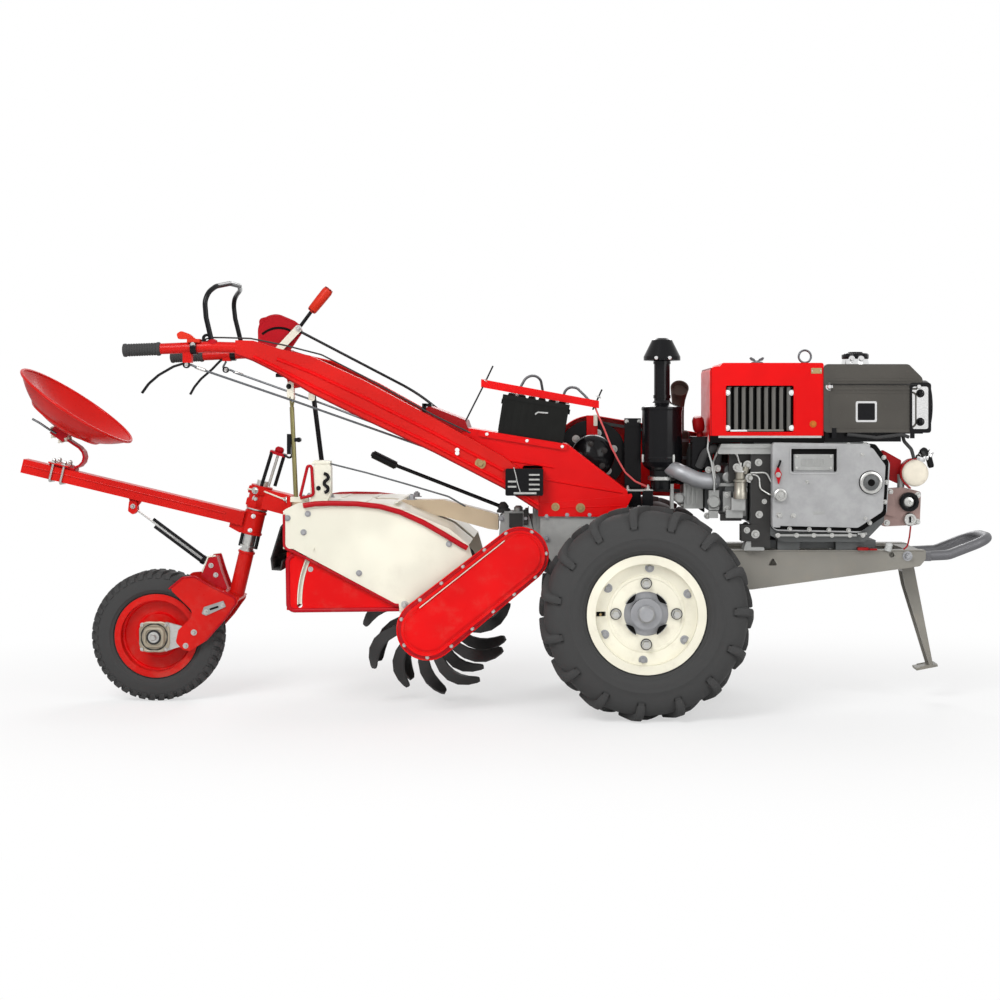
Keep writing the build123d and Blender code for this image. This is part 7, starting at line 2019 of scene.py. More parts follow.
# --------------------------------------------------------------------------- console and battery
@dataclass
class Console:
    """Valve block, bolts and beads on the pressed cover, and the black box between it and the air cleaner,
    which is painted shade.
    """

    half: float = 0.1027
    clutch_y: float = 0.0115
    block: tuple[float, ...] = (0.009, 0.126, 0.656, 0.740)

    def valve_block(self, kit: Kit) -> None:
        """Black block in the cover's side window, with its bright spools.

        Args:
            kit: the maker that names, dresses and attaches pieces.
        """
        x_low, x_high, z_low, z_high = self.block
        for sign, name in ((-1, "right"), (1, "left")):
            y = sign * self.half
            form = Form().press(rounded([(x_low, z_high), (x_low, z_low), (x_high, z_low),
                                         (x_high, z_high)], 0.006),
                                y - sign * 0.014, y + sign * 0.0480, bevel=0.001)
            kit.piece(form.mesh(f"{name}_valve_block"), Look.BLACK, "chassis")
            bars = Form()
            y += sign * 0.0465
            low, high = sorted((y, y + sign * 0.0042))
            for z in (0.6975, 0.6815):
                bars.slab((x_low + 0.008, low, z), (x_low + 0.034, high, z + 0.0052), 0.0016)
            for z in (0.7205, 0.7060, 0.6905, 0.6755):
                bars.slab((x_low + 0.073, low, z - 0.0022), (x_low + 0.106, high, z + 0.0028), 0.0016)
            bars.slab((x_low + 0.026, low, 0.6610), (x_low + 0.096, high, 0.6672), 0.0016)
            kit.piece(bars.mesh(f"{name}_valve_spools"), Look.ZINC, "chassis")
            wire = [[(x_low + 0.026, y + sign * 0.003, 0.744), (x_low + 0.032, y + sign * 0.0055, 0.722),
                     (x_low + 0.038, y + sign * 0.0055, 0.694), (x_low + 0.046, y + sign * 0.003, 0.668)]]
            kit.rods(f"{name}_valve_wire", wire, 0.0015, Look.PALE_GREY, "chassis", bend=0.01)

    def cover(self, kit: Kit) -> None:
        """Bolts, rivets and pressed beads of the cover.

        Args:
            kit: the maker that names, dresses and attaches pieces.
        """
        rows, dark = [], []
        for sign in (-1, 1):
            y = sign * self.half
            rows += [((0.1640, y + sign * 0.002, 0.6190), (0, sign, 0), 0.016),
                     ((0.2420, y + sign * 0.002, 0.6160), (0, sign, 0), 0.018),
                     ((-0.0680, sign * 0.1512, 0.7560), (0, sign, 0), 0.021)]
            dark += [((-0.139, sign * 0.1602, z), (0, sign, 0), 0.013) for z in (0.7880, 0.7980)]
            dark += [((x, sign * (self.half + 0.008), z), (0, sign, 0), 0.010)
                     for x, z in ((-0.050, 0.846), (0.075, 0.8255), (0.185, 0.8075))]
        kit.bolts("cover_screws", rows, Look.BRASS, "chassis", Rise=0.35)
        kit.bolts("cover_rivets", dark, Look.WHITE, "chassis", Sides=16, Rise=0.3, Washer=0.52)
        beads = []
        for sign in (-1, 1):
            y = sign * (self.half + 0.0004)
            beads += [[(0.133, y, 0.7035), (0.250, y, 0.683), (0.374, y, 0.6625)],
                      [(-0.040, y, 0.772), (0.120, y, 0.748), (0.160, y, 0.741)],
                      [(0.150, y, 0.6155), (0.368, y, 0.6215)]]
        kit.rods("cover_beads", beads, 0.0028, Look.RED, "chassis", bend=0.02)
        seam = Form()
        for sign in (-1, 1):
            low, high = sorted((sign * self.half, sign * (self.half + 0.0012)))
            seam.slab((0.115, low, 0.6100), (0.352, high, 0.6135), 0.0005)
        kit.piece(seam.mesh("cover_hem"), Look.DARK_SHADE_RED, "chassis")
        skirt = Form()
        for sign in (-1, 1):
            skirt.press(rounded([(0.110, 0.630), (0.110, 0.5895), (0.352, 0.5880), (0.378, 0.602),
                                 (0.4035, 0.651), (0.4025, 0.661), (0.352, 0.650)],
                                [0.002, 0.003, 0.012, 0.012, 0.004, 0.004, 0.02]), sign * self.half,
                                sign * (self.half + 0.0022), bevel=0.0008)
        kit.piece(skirt.mesh("cover_skirt"), Look.RED, "chassis")
        inner = Form().press(rounded([(-0.242, 0.925), (-0.232, 0.9345), (-0.118, 0.890), (-0.108, 0.862),
                                      (-0.150, 0.846), (-0.236, 0.884)], 0.004),
                             -0.108, 0.108, bevel=0.002)
        kit.piece(inner.mesh("cover_brace"), Look.DARK_SHADE_RED, "chassis")
        clip = Form().slab((-0.252, -0.1095, 0.893), (-0.240, -0.086, 0.942), 0.002)
        clip.slab((-0.246, -0.1095, 0.932), (-0.222, -0.086, 0.9415), 0.002)
        kit.piece(clip.mesh("brace_clip"), Look.BLACK, "chassis")
        dish = Form().lathe([(0.0, 0.0), (0.020, 0.0), (0.030, -0.006), (0.052, -0.012), (0.066, -0.024),
                             (0.070, -0.040), (0.0, -0.040)],
                            toward((0, -1, 0), (0.283, self.clutch_y, 0.772)), 48)
        kit.piece(dish.mesh("clutch_dish", smooth=50), Look.BLACK, "chassis")
        kit.bolts("clutch_dish_bolts",
                  [(p, (0, -1, 0), 0.012) for p in circle((0.283, self.clutch_y + 0.0085, 0.772), 0.042, 5,
                                                          100)], Look.OIL_DARK, "chassis")

    def shade_box_and_terminal(self, kit: Kit) -> None:
        """Tall black box ahead of the cover, painted shade for the dark inside of the far belt guard; its
        bright strap and the terminal under the air cleaner.

        Args:
            kit: the maker that names, dresses and attaches pieces.
        """
        # the tall box is painted shade: black where the far belt guard's inside lies in shadow
        box = Form().slab((0.386, 0.040, 0.600), (0.438, 0.104, 0.895), 0.006)
        box.slab((0.392, 0.034, 0.870), (0.432, 0.040, 0.882), 0.001)
        box.slab((0.438, -0.078, 0.600), (0.470, -0.046, 0.668), 0.004)
        kit.piece(box.mesh("shade_box_and_terminal"), Look.BLACK, "chassis")
        strap = Form().slab((0.378, -0.078, 0.6665), (0.470, -0.046, 0.6715), 0.0015)
        kit.piece(strap.mesh("lead_strap"), Look.ZINC, "chassis")
        kit.bolts("strap_bolts", [((0.391, -0.062, 0.6715), (0, 0, 1), 0.012),
                                  ((0.455, -0.062, 0.6715), (0, 0, 1), 0.015)],
                  Look.ZINC, "chassis", Stud=0.4)
        screws = [((x, 0.040, z), (0, -1, 0), 0.008) for x in (0.392, 0.432) for z in (0.610, 0.885)]
        kit.bolts("switch_box_screws", screws, Look.ZINC, "chassis", Sides=12, Rise=0.3)

    def build(self, kit: Kit) -> None:
        """Builds the console's fittings.

        Args:
            kit: the maker that names, dresses and attaches pieces.
        """
        self.valve_block(kit)
        self.cover(kit)
        self.shade_box_and_terminal(kit)


@dataclass
class Battery:
    """Ribs, caps, terminals and leads of the battery on its sloping tray."""

    origin: Point = (-0.145, 0.0, 0.871)
    tilt: float = 9.2198
    rear: float = 0.130
    length: float = 0.206
    half: float = 0.088
    height: float = 0.122

    @property
    def tray(self) -> Matrix:
        """The tray's frame: ahead, left, up from it."""
        return Matrix.Translation(Vector(self.origin)) @ Matrix.Rotation(math.radians(self.tilt), 4, "Y")

    def at(self, along: float, across: float, up: float) -> tuple[float, ...]:
        """A point of the tray's frame in the model's."""
        return tuple(self.tray @ Vector((along, across, up)))

    def build(self, kit: Kit) -> None:
        """Builds the battery's fittings.

        Args:
            kit: the maker that names, dresses and attaches pieces.
        """
        ribs = Form()
        steps = 9
        for sign in (-1, 1):
            for step in range(steps):
                x = self.rear + 0.012 + step * (self.length - 0.024) / (steps - 1)
                low, high = sorted((sign * self.half, sign * (self.half + 0.0016)))
                ribs.slab((x - 0.0022, low, 0.008), (x + 0.0022, high, self.height - 0.018), 0.0008,
                          self.tray)
        for x in (self.rear - 0.0016, self.rear + self.length):
            for step in range(6):
                y = -self.half + 0.014 + step * (2 * self.half - 0.028) / 5
                ribs.slab((x, y - 0.002, 0.008), (x + 0.0016, y + 0.002, self.height - 0.018), 0.0007,
                          self.tray)
        ribs.slab((self.rear - 0.007, -0.030, self.height - 0.030),
                  (self.rear + 0.001, 0.030, self.height - 0.014), 0.003, self.tray)
        ribs.slab((self.rear + self.length - 0.001, -0.030, self.height - 0.030),
                  (self.rear + self.length + 0.007, 0.030, self.height - 0.014), 0.003, self.tray)
        kit.piece(ribs.mesh("battery_ribs"), Look.BLACK_PLASTIC, "chassis")
        up = tuple(self.tray.to_3x3() @ Vector((0, 0, 1)))
        caps = [(self.at(self.rear + 0.022 + 0.0324 * step, 0.058, self.height), up, 0.021)
                for step in range(6)]
        caps += [(self.at(self.rear + 0.022 + 0.0324 * step, -0.030, self.height), up, 0.021)
                 for step in range(6)]
        kit.bolts("battery_caps", caps, Look.GRIP, "chassis", Sides=20, Rise=0.3, Washer=0.56)
        clips = Form()
        for along in (self.rear + 0.030, self.rear + self.length - 0.030):
            place = self.tray @ Matrix.Translation(Vector((along, 0.030, self.height)))
            clips.lathe([(0.0095, 0.001), (0.0145, 0.001), (0.0150, 0.010), (0.0140, 0.013),
                         (0.0095, 0.013)], place, 28, closed=True)
            clips.slab((along + 0.010, 0.024, self.height + 0.002),
                       (along + 0.030, 0.036, self.height + 0.011), 0.002, self.tray)
        kit.piece(clips.mesh("battery_clamps"), Look.ZINC, "chassis")
        kit.bolts("clamp_bolts", [(self.at(along + 0.023, 0.030, self.height + 0.011), up, 0.010)
                                  for along in (self.rear + 0.030, self.rear + self.length - 0.030)],
                  Look.ZINC, "chassis", Stud=0.4)
        leads = [[(0.050, 0.030, 0.968), (0.052, 0.030, 0.996), (0.068, 0.030, 1.024),
                  (0.095, 0.034, 1.036), (0.116, 0.045, 1.019),
                  (0.122, 0.066, 0.985), (0.121, 0.090, 0.950), (0.120, 0.0945, 0.900),
                  (0.120, 0.0945, 0.836)],
                 [(0.192, 0.030, 0.944), (0.190, 0.029, 0.975), (0.205, 0.025, 0.996),
                  (0.232, 0.012, 0.992), (0.256, -0.020, 0.968),
                  (0.276, -0.046, 0.945), (0.2885, -0.060, 0.930)]]
        kit.rods("battery_leads", leads, 0.0043, Look.DARK_GREY, "chassis", bend=0.030, sides=12)
        starter = [[(0.2885, -0.060, 0.930), (0.300, -0.080, 0.900), (0.318, -0.088, 0.858),
                    (0.338, -0.090, 0.807), (0.360, -0.086, 0.764),
                    (0.382, -0.080, 0.726), (0.414, -0.074, 0.697), (0.452, -0.064, 0.680)]]
        kit.rods("starter_lead", starter, 0.0030, Look.LEAD_RED, "chassis", bend=0.04, sides=12)
        rods = [[(-0.1380, -0.106, 0.822), (-0.1440, -0.108, 0.832), (-0.0600, -0.068, 1.003),
                 (-0.0328, -0.064, 1.060)],
                [(0.2810, -0.062, 0.922), (0.3100, -0.066, 0.986)]]
        kit.rods("clamp_rods", rods, 0.0026, Look.BLACK, "chassis", bend=0.004, sides=8)
        nuts = [((-0.0560, -0.066, 1.012), (0.43, 0.03, 0.90), 0.011),
                ((0.2985, -0.064, 0.961), (0.40, 0, 0.92), 0.011)]
        kit.bolts("clamp_rod_nuts", nuts, Look.ZINC, "chassis", Rise=0.4)
        lug = Form().slab((-0.149, -0.112, 0.822), (-0.133, -0.102, 0.836), 0.002)
        kit.piece(lug.mesh("clamp_rod_feet"), Look.CREAM, "chassis", ["battery_rods"])
        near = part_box("battery_clamp")[0][1]
        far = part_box("battery_clamp")[1][1]
        strap = Form().press(rounded([(-0.0700, 0.9930), (-0.0700, 1.0185), (0.3006, 0.9500),
                                      (0.3006, 0.9265)], 0.002), near, far, bevel=0.001)
        kit.piece(strap.mesh("battery_strap"), Look.RED, "chassis", ["battery_clamp"])
        # pale line on the battery's side: a painted glint on the handle
        mark = [[self.at(0.236, -self.half - 0.0025, 0.075), self.at(0.243, -self.half - 0.0025, 0.083),
                 self.at(0.275, -self.half - 0.0025, 0.086)]]
        kit.rods("battery_cord", mark, 0.0026, Look.PALE_GREY, "chassis", bend=0.01)


# --------------------------------------------------------------------------- handlebar
@dataclass
class Handlebar:
    """Beads, grips, throttle, steering levers, clutch grip and stays of the handlebar."""

    # (x, y of the arm's outer face, underside, top), from the console to the grip tube
    arm: tuple[Point, ...] = (
        (0.111, 0.1330, 0.610, 0.694), (0.003, 0.1416, 0.680, 0.776), (-0.207, 0.1684, 0.790, 0.894),
        (-0.422, 0.2072, 0.894, 1.012), (-0.578, 0.2392, 0.973, 1.085), (-0.677, 0.2598, 1.034, 1.108),
        (-0.747, 0.2731, 1.070, 1.130), (-0.799, 0.2812, 1.089, 1.131))
    tip: Point = (-1.134, 0.290, 1.100)
    knee: Point = (-0.879, 0.278, 1.111)
    tube: float = 0.0165
    grip: float = 0.0192
    stay_y: float = 0.2047

    def beads(self, kit: Kit) -> None:
        """Pressed beads along both faces' edges.

        Args:
            kit: the maker that names, dresses and attaches pieces.
        """
        paths = []
        for sign in (-1, 1):
            for share, first, last in ((0.20, 0, 7), (0.56, 1, 6)):
                paths.append([(x, sign * (y - 0.0006), low + share * (high - low))
                              for x, y, low, high in self.arm[first:last]])
        kit.rods("arm_beads", paths, 0.0058, Look.RED, "chassis", bend=0.05, sides=14)
        # darker red lines along the arms' lower edges: painted shade
        edge = [[(x, sign * (y - 0.002), low + 0.001) for x, y, low, _ in self.arm] for sign in (-1, 1)]
        kit.rods("arm_edges", edge, 0.0030, Look.DARK_SHADE_RED, "chassis", bend=0.05)

    def grips(self, kit: Kit) -> None:
        """Ribbed grips in place of the plain ones.

        Args:
            kit: the maker that names, dresses and attaches pieces.
        """
        rows = [(0.0, 0.0), (0.014, 0.0), (0.019, 0.0018), (self.grip + 0.0010, 0.005),
                (self.grip + 0.0010, 0.010)]
        ribs = 11
        for rib in range(ribs):
            start = 0.014 + rib * 0.0076
            rows += [(self.grip - 0.0014, start), (self.grip - 0.0014, start + 0.0016),
                     (self.grip, start + 0.0026), (self.grip, start + 0.0060)]
        rows += [(self.grip - 0.001, 0.1000), (self.grip + 0.0015, 0.1020), (self.grip + 0.0015, 0.1090),
                 (self.grip - 0.001, 0.1120), (self.tube, 0.1120)]
        form = Form()
        for sign in (-1, 1):
            tip = Vector((self.tip[0], sign * self.tip[1], self.tip[2]))
            knee = Vector((self.knee[0], sign * self.knee[1], self.knee[2]))
            form.lathe(rows, toward(knee - tip, tip), 32)
        kit.piece(form.mesh("ribbed_grips", smooth=44), Look.GRIP, "chassis", ["hand_grips"])

    def throttle(self, kit: Kit) -> None:
        """Orange thumb lever, its clamp ring and the black rings on the tube.

        Args:
            kit: the maker that names, dresses and attaches pieces.
        """
        tongue = rounded([(-0.969, 1.134), (-0.974, 1.150), (-0.960, 1.1585), (-0.934, 1.149),
                          (-0.908, 1.127), (-0.920, 1.122), (-0.943, 1.134)],
                         [0.006, 0.008, 0.010, 0.02, 0.004, 0.004, 0.02])
        lever = Form().press(tongue, -0.290, -0.274, bevel=0.003)
        lever.slab((-0.940, -0.300, 1.1235), (-0.902, -0.264, 1.134), 0.004)
        kit.piece(lever.mesh("thumb_throttle"), Look.RED_PLASTIC, "chassis", ["throttle_lever"])
        rings = Form()
        for sign in (-1, 1):
            y = sign * 0.282
            rings.lathe([(0.0166, -0.009), (0.0215, -0.009), (0.0215, 0.009), (0.0166, 0.009)],
                        toward((1, 0, 0), (-0.922, y, 1.109)), 32, closed=True)
        rings.lathe([(0.0065, -0.004), (0.0145, -0.004), (0.0145, 0.004), (0.0065, 0.004)],
                    toward((0, 1, 0), (-0.886, -0.272, 1.1365)), 28, closed=True)
        kit.piece(rings.mesh("tube_rings"), Look.BLACK, "chassis")
        kit.bolts("throttle_bolt", [((-0.926, -0.282, 1.134), (0, 0, 1), 0.009)] +
                  [((-0.922, s * 0.3015, 1.118), (0, s, 0), 0.008) for s in (-1, 1)], Look.ZINC, "chassis")
        cable = [[(-0.905, -0.270, 1.128), (-0.880, -0.262, 1.140), (-0.84, -0.255, 1.140),
                  (-0.76, -0.244, 1.138), (-0.66, -0.232, 1.118),
                  (-0.55, -0.212, 1.090), (-0.42, -0.185, 1.022), (-0.207, -0.150, 0.902),
                  (-0.10, -0.132, 0.850)]]
        kit.rods("throttle_cable", cable, 0.0026, Look.GRIP, "chassis", bend=0.06)

    def steering(self, kit: Kit) -> None:
        """Thin curved levers on red hangers and their pull rods.

        Args:
            kit: the maker that names, dresses and attaches pieces.
        """
        blades, rods, lugs, hangers, eyes = [], [], Form(), Form(), Form()
        bows = {-1: ((-0.945, 1.064), (-0.985, 1.052), (-1.030, 1.026), (-1.060, 1.000), (-1.080, 0.972)),
                1: ((-0.948, 1.098), (-0.966, 1.086), (-0.993, 1.058), (-1.030, 1.026), (-1.052, 0.999),
                    (-1.066, 0.974))}
        arms = []
        for sign in (-1, 1):
            y = sign * 0.278
            for shift in (-0.003, 0.003):
                blades.append([(x, y + shift, z) for x, z in bows[sign]])
            rods.append([(-0.921, y, 1.050), (-0.600, y - sign * 0.048, 0.938),
                         (0.103, sign * 0.0427, 0.680)])
            low = 1.063 if sign < 0 else 1.086
            hangers.slab((-0.955, y - 0.012, low), (-0.929, y + 0.012, 1.0985), 0.003)
            arms.append([(-0.945, y, low - 0.001), (-0.958, y, 1.062), (-0.930, y, 1.056),
                         (-0.905, y, 1.045)])
            lugs.lathe([(0.0, 0.0), (0.0052, 0.0), (0.0052, 0.026), (0.0, 0.026)],
                       toward((0.92, 0, -0.32), (-0.914, y, 1.0485)), 14)
            eyes.lathe([(0.0065, -0.006), (0.0105, -0.006), (0.0105, 0.006), (0.0065, 0.006)],
                       toward((0, 1, 0), (-0.946, y, 1.057)), 24, closed=True)
        kit.rods("lever_arms", arms, 0.0036, Look.DARK_METAL, "chassis", bend=0.006, sides=8)
        kit.rods("lever_blades", blades, 0.0036, Look.BLACK, "chassis", bend=0.05, sides=10)
        kit.rods("pull_rods", rods, 0.0036, Look.DARK_METAL, "chassis", bend=0.3, sides=10)
        kit.piece(hangers.mesh("lever_hangers"), Look.ARM_RED, "chassis", ["steering_controls"])
        kit.piece(lugs.mesh("rod_clevises"), Look.ZINC, "chassis")
        kit.piece(eyes.mesh("lever_eyes"), Look.BLACK, "chassis")
        kit.bolts("lever_pins", [((-0.944, s * 0.278 + t * 0.010, 1.058), (0, t, 0), 0.007)
                                 for s in (-1, 1) for t in (-1, 1)],
                  Look.ZINC, "chassis", Rise=0.4)

    def clutch(self, kit: Kit) -> None:
        """Red grip, pale lever plate, rolled quadrant edge and pins of the main clutch.

        Args:
            kit: the maker that names, dresses and attaches pieces.
        """
        low, high = Vector((-0.639, 0.162, 1.248)), Vector((-0.581, 0.162, 1.320))
        length = (high - low).length
        profile = [(0.0, -0.003), (0.0125, -0.003), (0.0158, 0.004), (0.0172, length * 0.45),
                   (0.0176, length - 0.012), (0.0150, length - 0.002),
                   (0.010, length + 0.0015), (0.0, length + 0.0015)]
        form = Form().lathe(profile, toward(high - low, low), 24, wave=(6, 0.035))
        kit.piece(form.mesh("clutch_grip", smooth=40), Look.RED_PLASTIC, "chassis")
        plate = Form().press(rounded([(-0.686, 1.202), (-0.669, 1.185), (-0.752, 1.098), (-0.769, 1.113)],
                                     0.006), 0.1562, 0.1535, bevel=0.001)
        kit.piece(plate.mesh("clutch_plate"), Look.CREAM, "chassis")
        kit.bolts("clutch_pins", [((-0.681, 0.1535, 1.190), (0, -1, 0), 0.013),
                                  ((-0.756, 0.1535, 1.108), (0, -1, 0), 0.016)], Look.ZINC, "chassis")
        edge = [[(-0.812, 0.172, 1.116), (-0.814, 0.172, 1.221), (-0.754, 0.172, 1.235),
                 (-0.680, 0.172, 1.204), (-0.674, 0.172, 1.176)]]
        kit.rods("quadrant_edge", edge, 0.0050, Look.SHADE_RED, "chassis", bend=0.05)
        # black sheet in the quadrant's slot: painted shade
        slot = Form().skin([[(-0.748 + r * math.cos(a), 0.1674, 1.110 + r * math.sin(a))
                             for r in (0.078, 0.086)]
                            for a in [math.radians(62 + 7 * i) for i in range(11)]])
        kit.piece(slot.mesh("quadrant_slot"), Look.SHADOW, "chassis")

    def stays(self, kit: Kit) -> None:
        """Olive and black struts, their clips, and the brackets on the hood.

        Args:
            kit: the maker that names, dresses and attaches pieces.
        """
        y = self.stay_y
        kit.rods("near_stay", [[(-0.629, -y, 0.655), (-0.6415, -y, 0.930)]], 0.0070, Look.OLIVE, "chassis",
                 bend=0.001, sides=14)
        forks = [[(-0.6415, -y, 0.920), (-0.6455, -y - 0.010, 0.962)],
                 [(-0.6415, -y, 0.920), (-0.6360, -y + 0.010, 0.962)]]
        kit.rods("stay_forks", forks, 0.0034, Look.OLIVE, "chassis", bend=0.001)
        kit.rods("far_stay", [[(-0.600, y, 0.655), (-0.648, y, 1.034)]], 0.0080, Look.BLACK, "chassis",
                 bend=0.001, sides=14)
        block = Form().press(rounded([(-0.582, 0.6405), (-0.582, 0.704), (-0.578, 0.742), (-0.562, 0.766),
                                      (-0.528, 0.764), (-0.520, 0.748), (-0.520, 0.668), (-0.532, 0.6405)],
                                      [0.004, 0.02, 0.02, 0.012, 0.010, 0.008, 0.01, 0.006]), -y - 0.020,
                                      -y + 0.020, bevel=0.003)
        block.press(rounded([(-0.582, 0.752), (-0.570, 0.768), (-0.522, 0.766), (-0.522, 0.758),
                             (-0.566, 0.758)], 0.002), -y - 0.023, -y + 0.023, bevel=0.001)
        kit.piece(block.mesh("stay_block"), Look.CREAM, "chassis", ["handle_stays"])
        plate = Form()
        for sign in (-1, 1):
            low, high = sorted((sign * (y - 0.010), sign * (y + 0.012)))
            plate.press(rounded([(-0.655, 0.9560), (-0.655, 1.0010), (-0.646, 1.0100), (-0.634, 1.0100),
                                 (-0.634, 0.9560), (-0.640, 0.9500)], 0.004),
                        low, high, bevel=0.002)
            plate.slab((-0.645, low + 0.004, 0.6405), (-0.590, high - 0.004, 0.656), 0.003)
        kit.piece(plate.mesh("stay_lugs"), Look.CREAM, "chassis")
        gusset = Form()
        for sign in (-1, 1):
            low, high = sorted((sign * (y - 0.004), sign * (y + 0.008)))
            gusset.press(rounded([(-0.665, 1.048), (-0.651, 0.998), (-0.640, 0.986), (-0.604, 0.992),
                                  (-0.596, 1.010), (-0.600, 1.030)],
                                 [0.01, 0.01, 0.006, 0.006, 0.006, 0.01]), low, high, bevel=0.002)
        kit.piece(gusset.mesh("stay_gussets"), Look.ARM_RED, "chassis")
        clips = Form().slab((-0.6555, -y - 0.008, 0.786), (-0.6435, -y + 0.008, 0.848), 0.0035)
        clips.slab((-0.650, -y - 0.006, 0.824), (-0.616, -y + 0.006, 0.836), 0.0035)
        clips.lathe([(0.0, -0.008), (0.0075, -0.008), (0.0075, 0.008), (0.0, 0.008)],
                    toward((0, 1, 0), (-0.620, -y, 0.830)), 18)
        clips.slab((-0.690, -y - 0.006, 1.0215), (-0.666, -y + 0.006, 1.0325), 0.004)
        kit.piece(clips.mesh("stay_clips"), Look.BLACK, "chassis")
        outer = -y - 0.023
        wires = [[(-0.612, outer, 0.658), (-0.590, outer, 0.750), (-0.578, outer, 0.752),
                  (-0.572, outer, 0.662), (-0.612, outer, 0.653)]]
        kit.rods("stay_wires", wires, 0.0048, Look.SHADE_RED, "chassis", bend=0.010)
        springs = [[(-0.540, outer, 0.728), (-0.529, outer, 0.724), (-0.526, outer, 0.712),
                    (-0.538, outer, 0.704), (-0.540, outer, 0.694),
                    (-0.527, outer, 0.686), (-0.529, outer, 0.674), (-0.538, outer, 0.670)]]
        kit.rods("lock_springs", springs, 0.0052, Look.BLACK, "chassis", bend=0.008)
        kit.bolts("stay_bolts", [((-0.557, -y - 0.020, 0.683), (0, -1, 0), 0.009),
                                 ((-0.649, -y - 0.012, 0.9930), (0, -1, 0), 0.010),
                                 ((-0.644, y + 0.012, 0.990), (0, 1, 0), 0.012)], Look.BLACK, "chassis",
                                 Stud=0.25)
        lock = [[(-0.534, -0.196, 0.759), (-0.420, -0.160, 0.728), (-0.300, -0.120, 0.691),
                 (-0.172, -0.080, 0.650), (-0.120, -0.060, 0.618)]]
        kit.rods("lock_rod", lock, 0.0028, Look.DARK_METAL, "chassis", bend=0.05)

    def hoop(self, kit: Kit) -> None:
        """Bowed hoop over the arms, in place of the plain one.

        Args:
            kit: the maker that names, dresses and attaches pieces.
        """
        rail = [(-0.864, -0.278, 1.100), (-0.887, -0.279, 1.200), (-0.891, -0.278, 1.246),
                (-0.884, -0.268, 1.276), (-0.868, -0.232, 1.297),
                (-0.846, -0.130, 1.314), (-0.848, 0.020, 1.3185), (-0.878, 0.180, 1.3170),
                (-0.905, 0.252, 1.306), (-0.921, 0.277, 1.286),
                (-0.915, 0.279, 1.230), (-0.895, 0.278, 1.150), (-0.888, 0.278, 1.100)]
        kit.rods("hoop_rail", [rail], 0.0078, Look.BLACK, "chassis", bend=0.06, sides=16)
        feet = Form()
        for x, y in ((-0.866, -0.278), (-0.890, 0.278)):
            feet.lathe([(0.008, 0.0), (0.0135, 0.0), (0.0135, 0.010), (0.008, 0.014)],
                       toward((0, 0, 1), (x - 0.001, y, 1.120)), 24, closed=True)
        kit.piece(feet.mesh("hoop_feet"), Look.SHADE_RED, "chassis", ["guard_hoop"])

    def build(self, kit: Kit) -> None:
        """Builds the handlebar's fittings.

        Args:
            kit: the maker that names, dresses and attaches pieces.
        """
        self.beads(kit)
        self.grips(kit)
        self.throttle(kit)
        self.steering(kit)
        self.clutch(kit)
        self.stays(kit)
        self.hoop(kit)


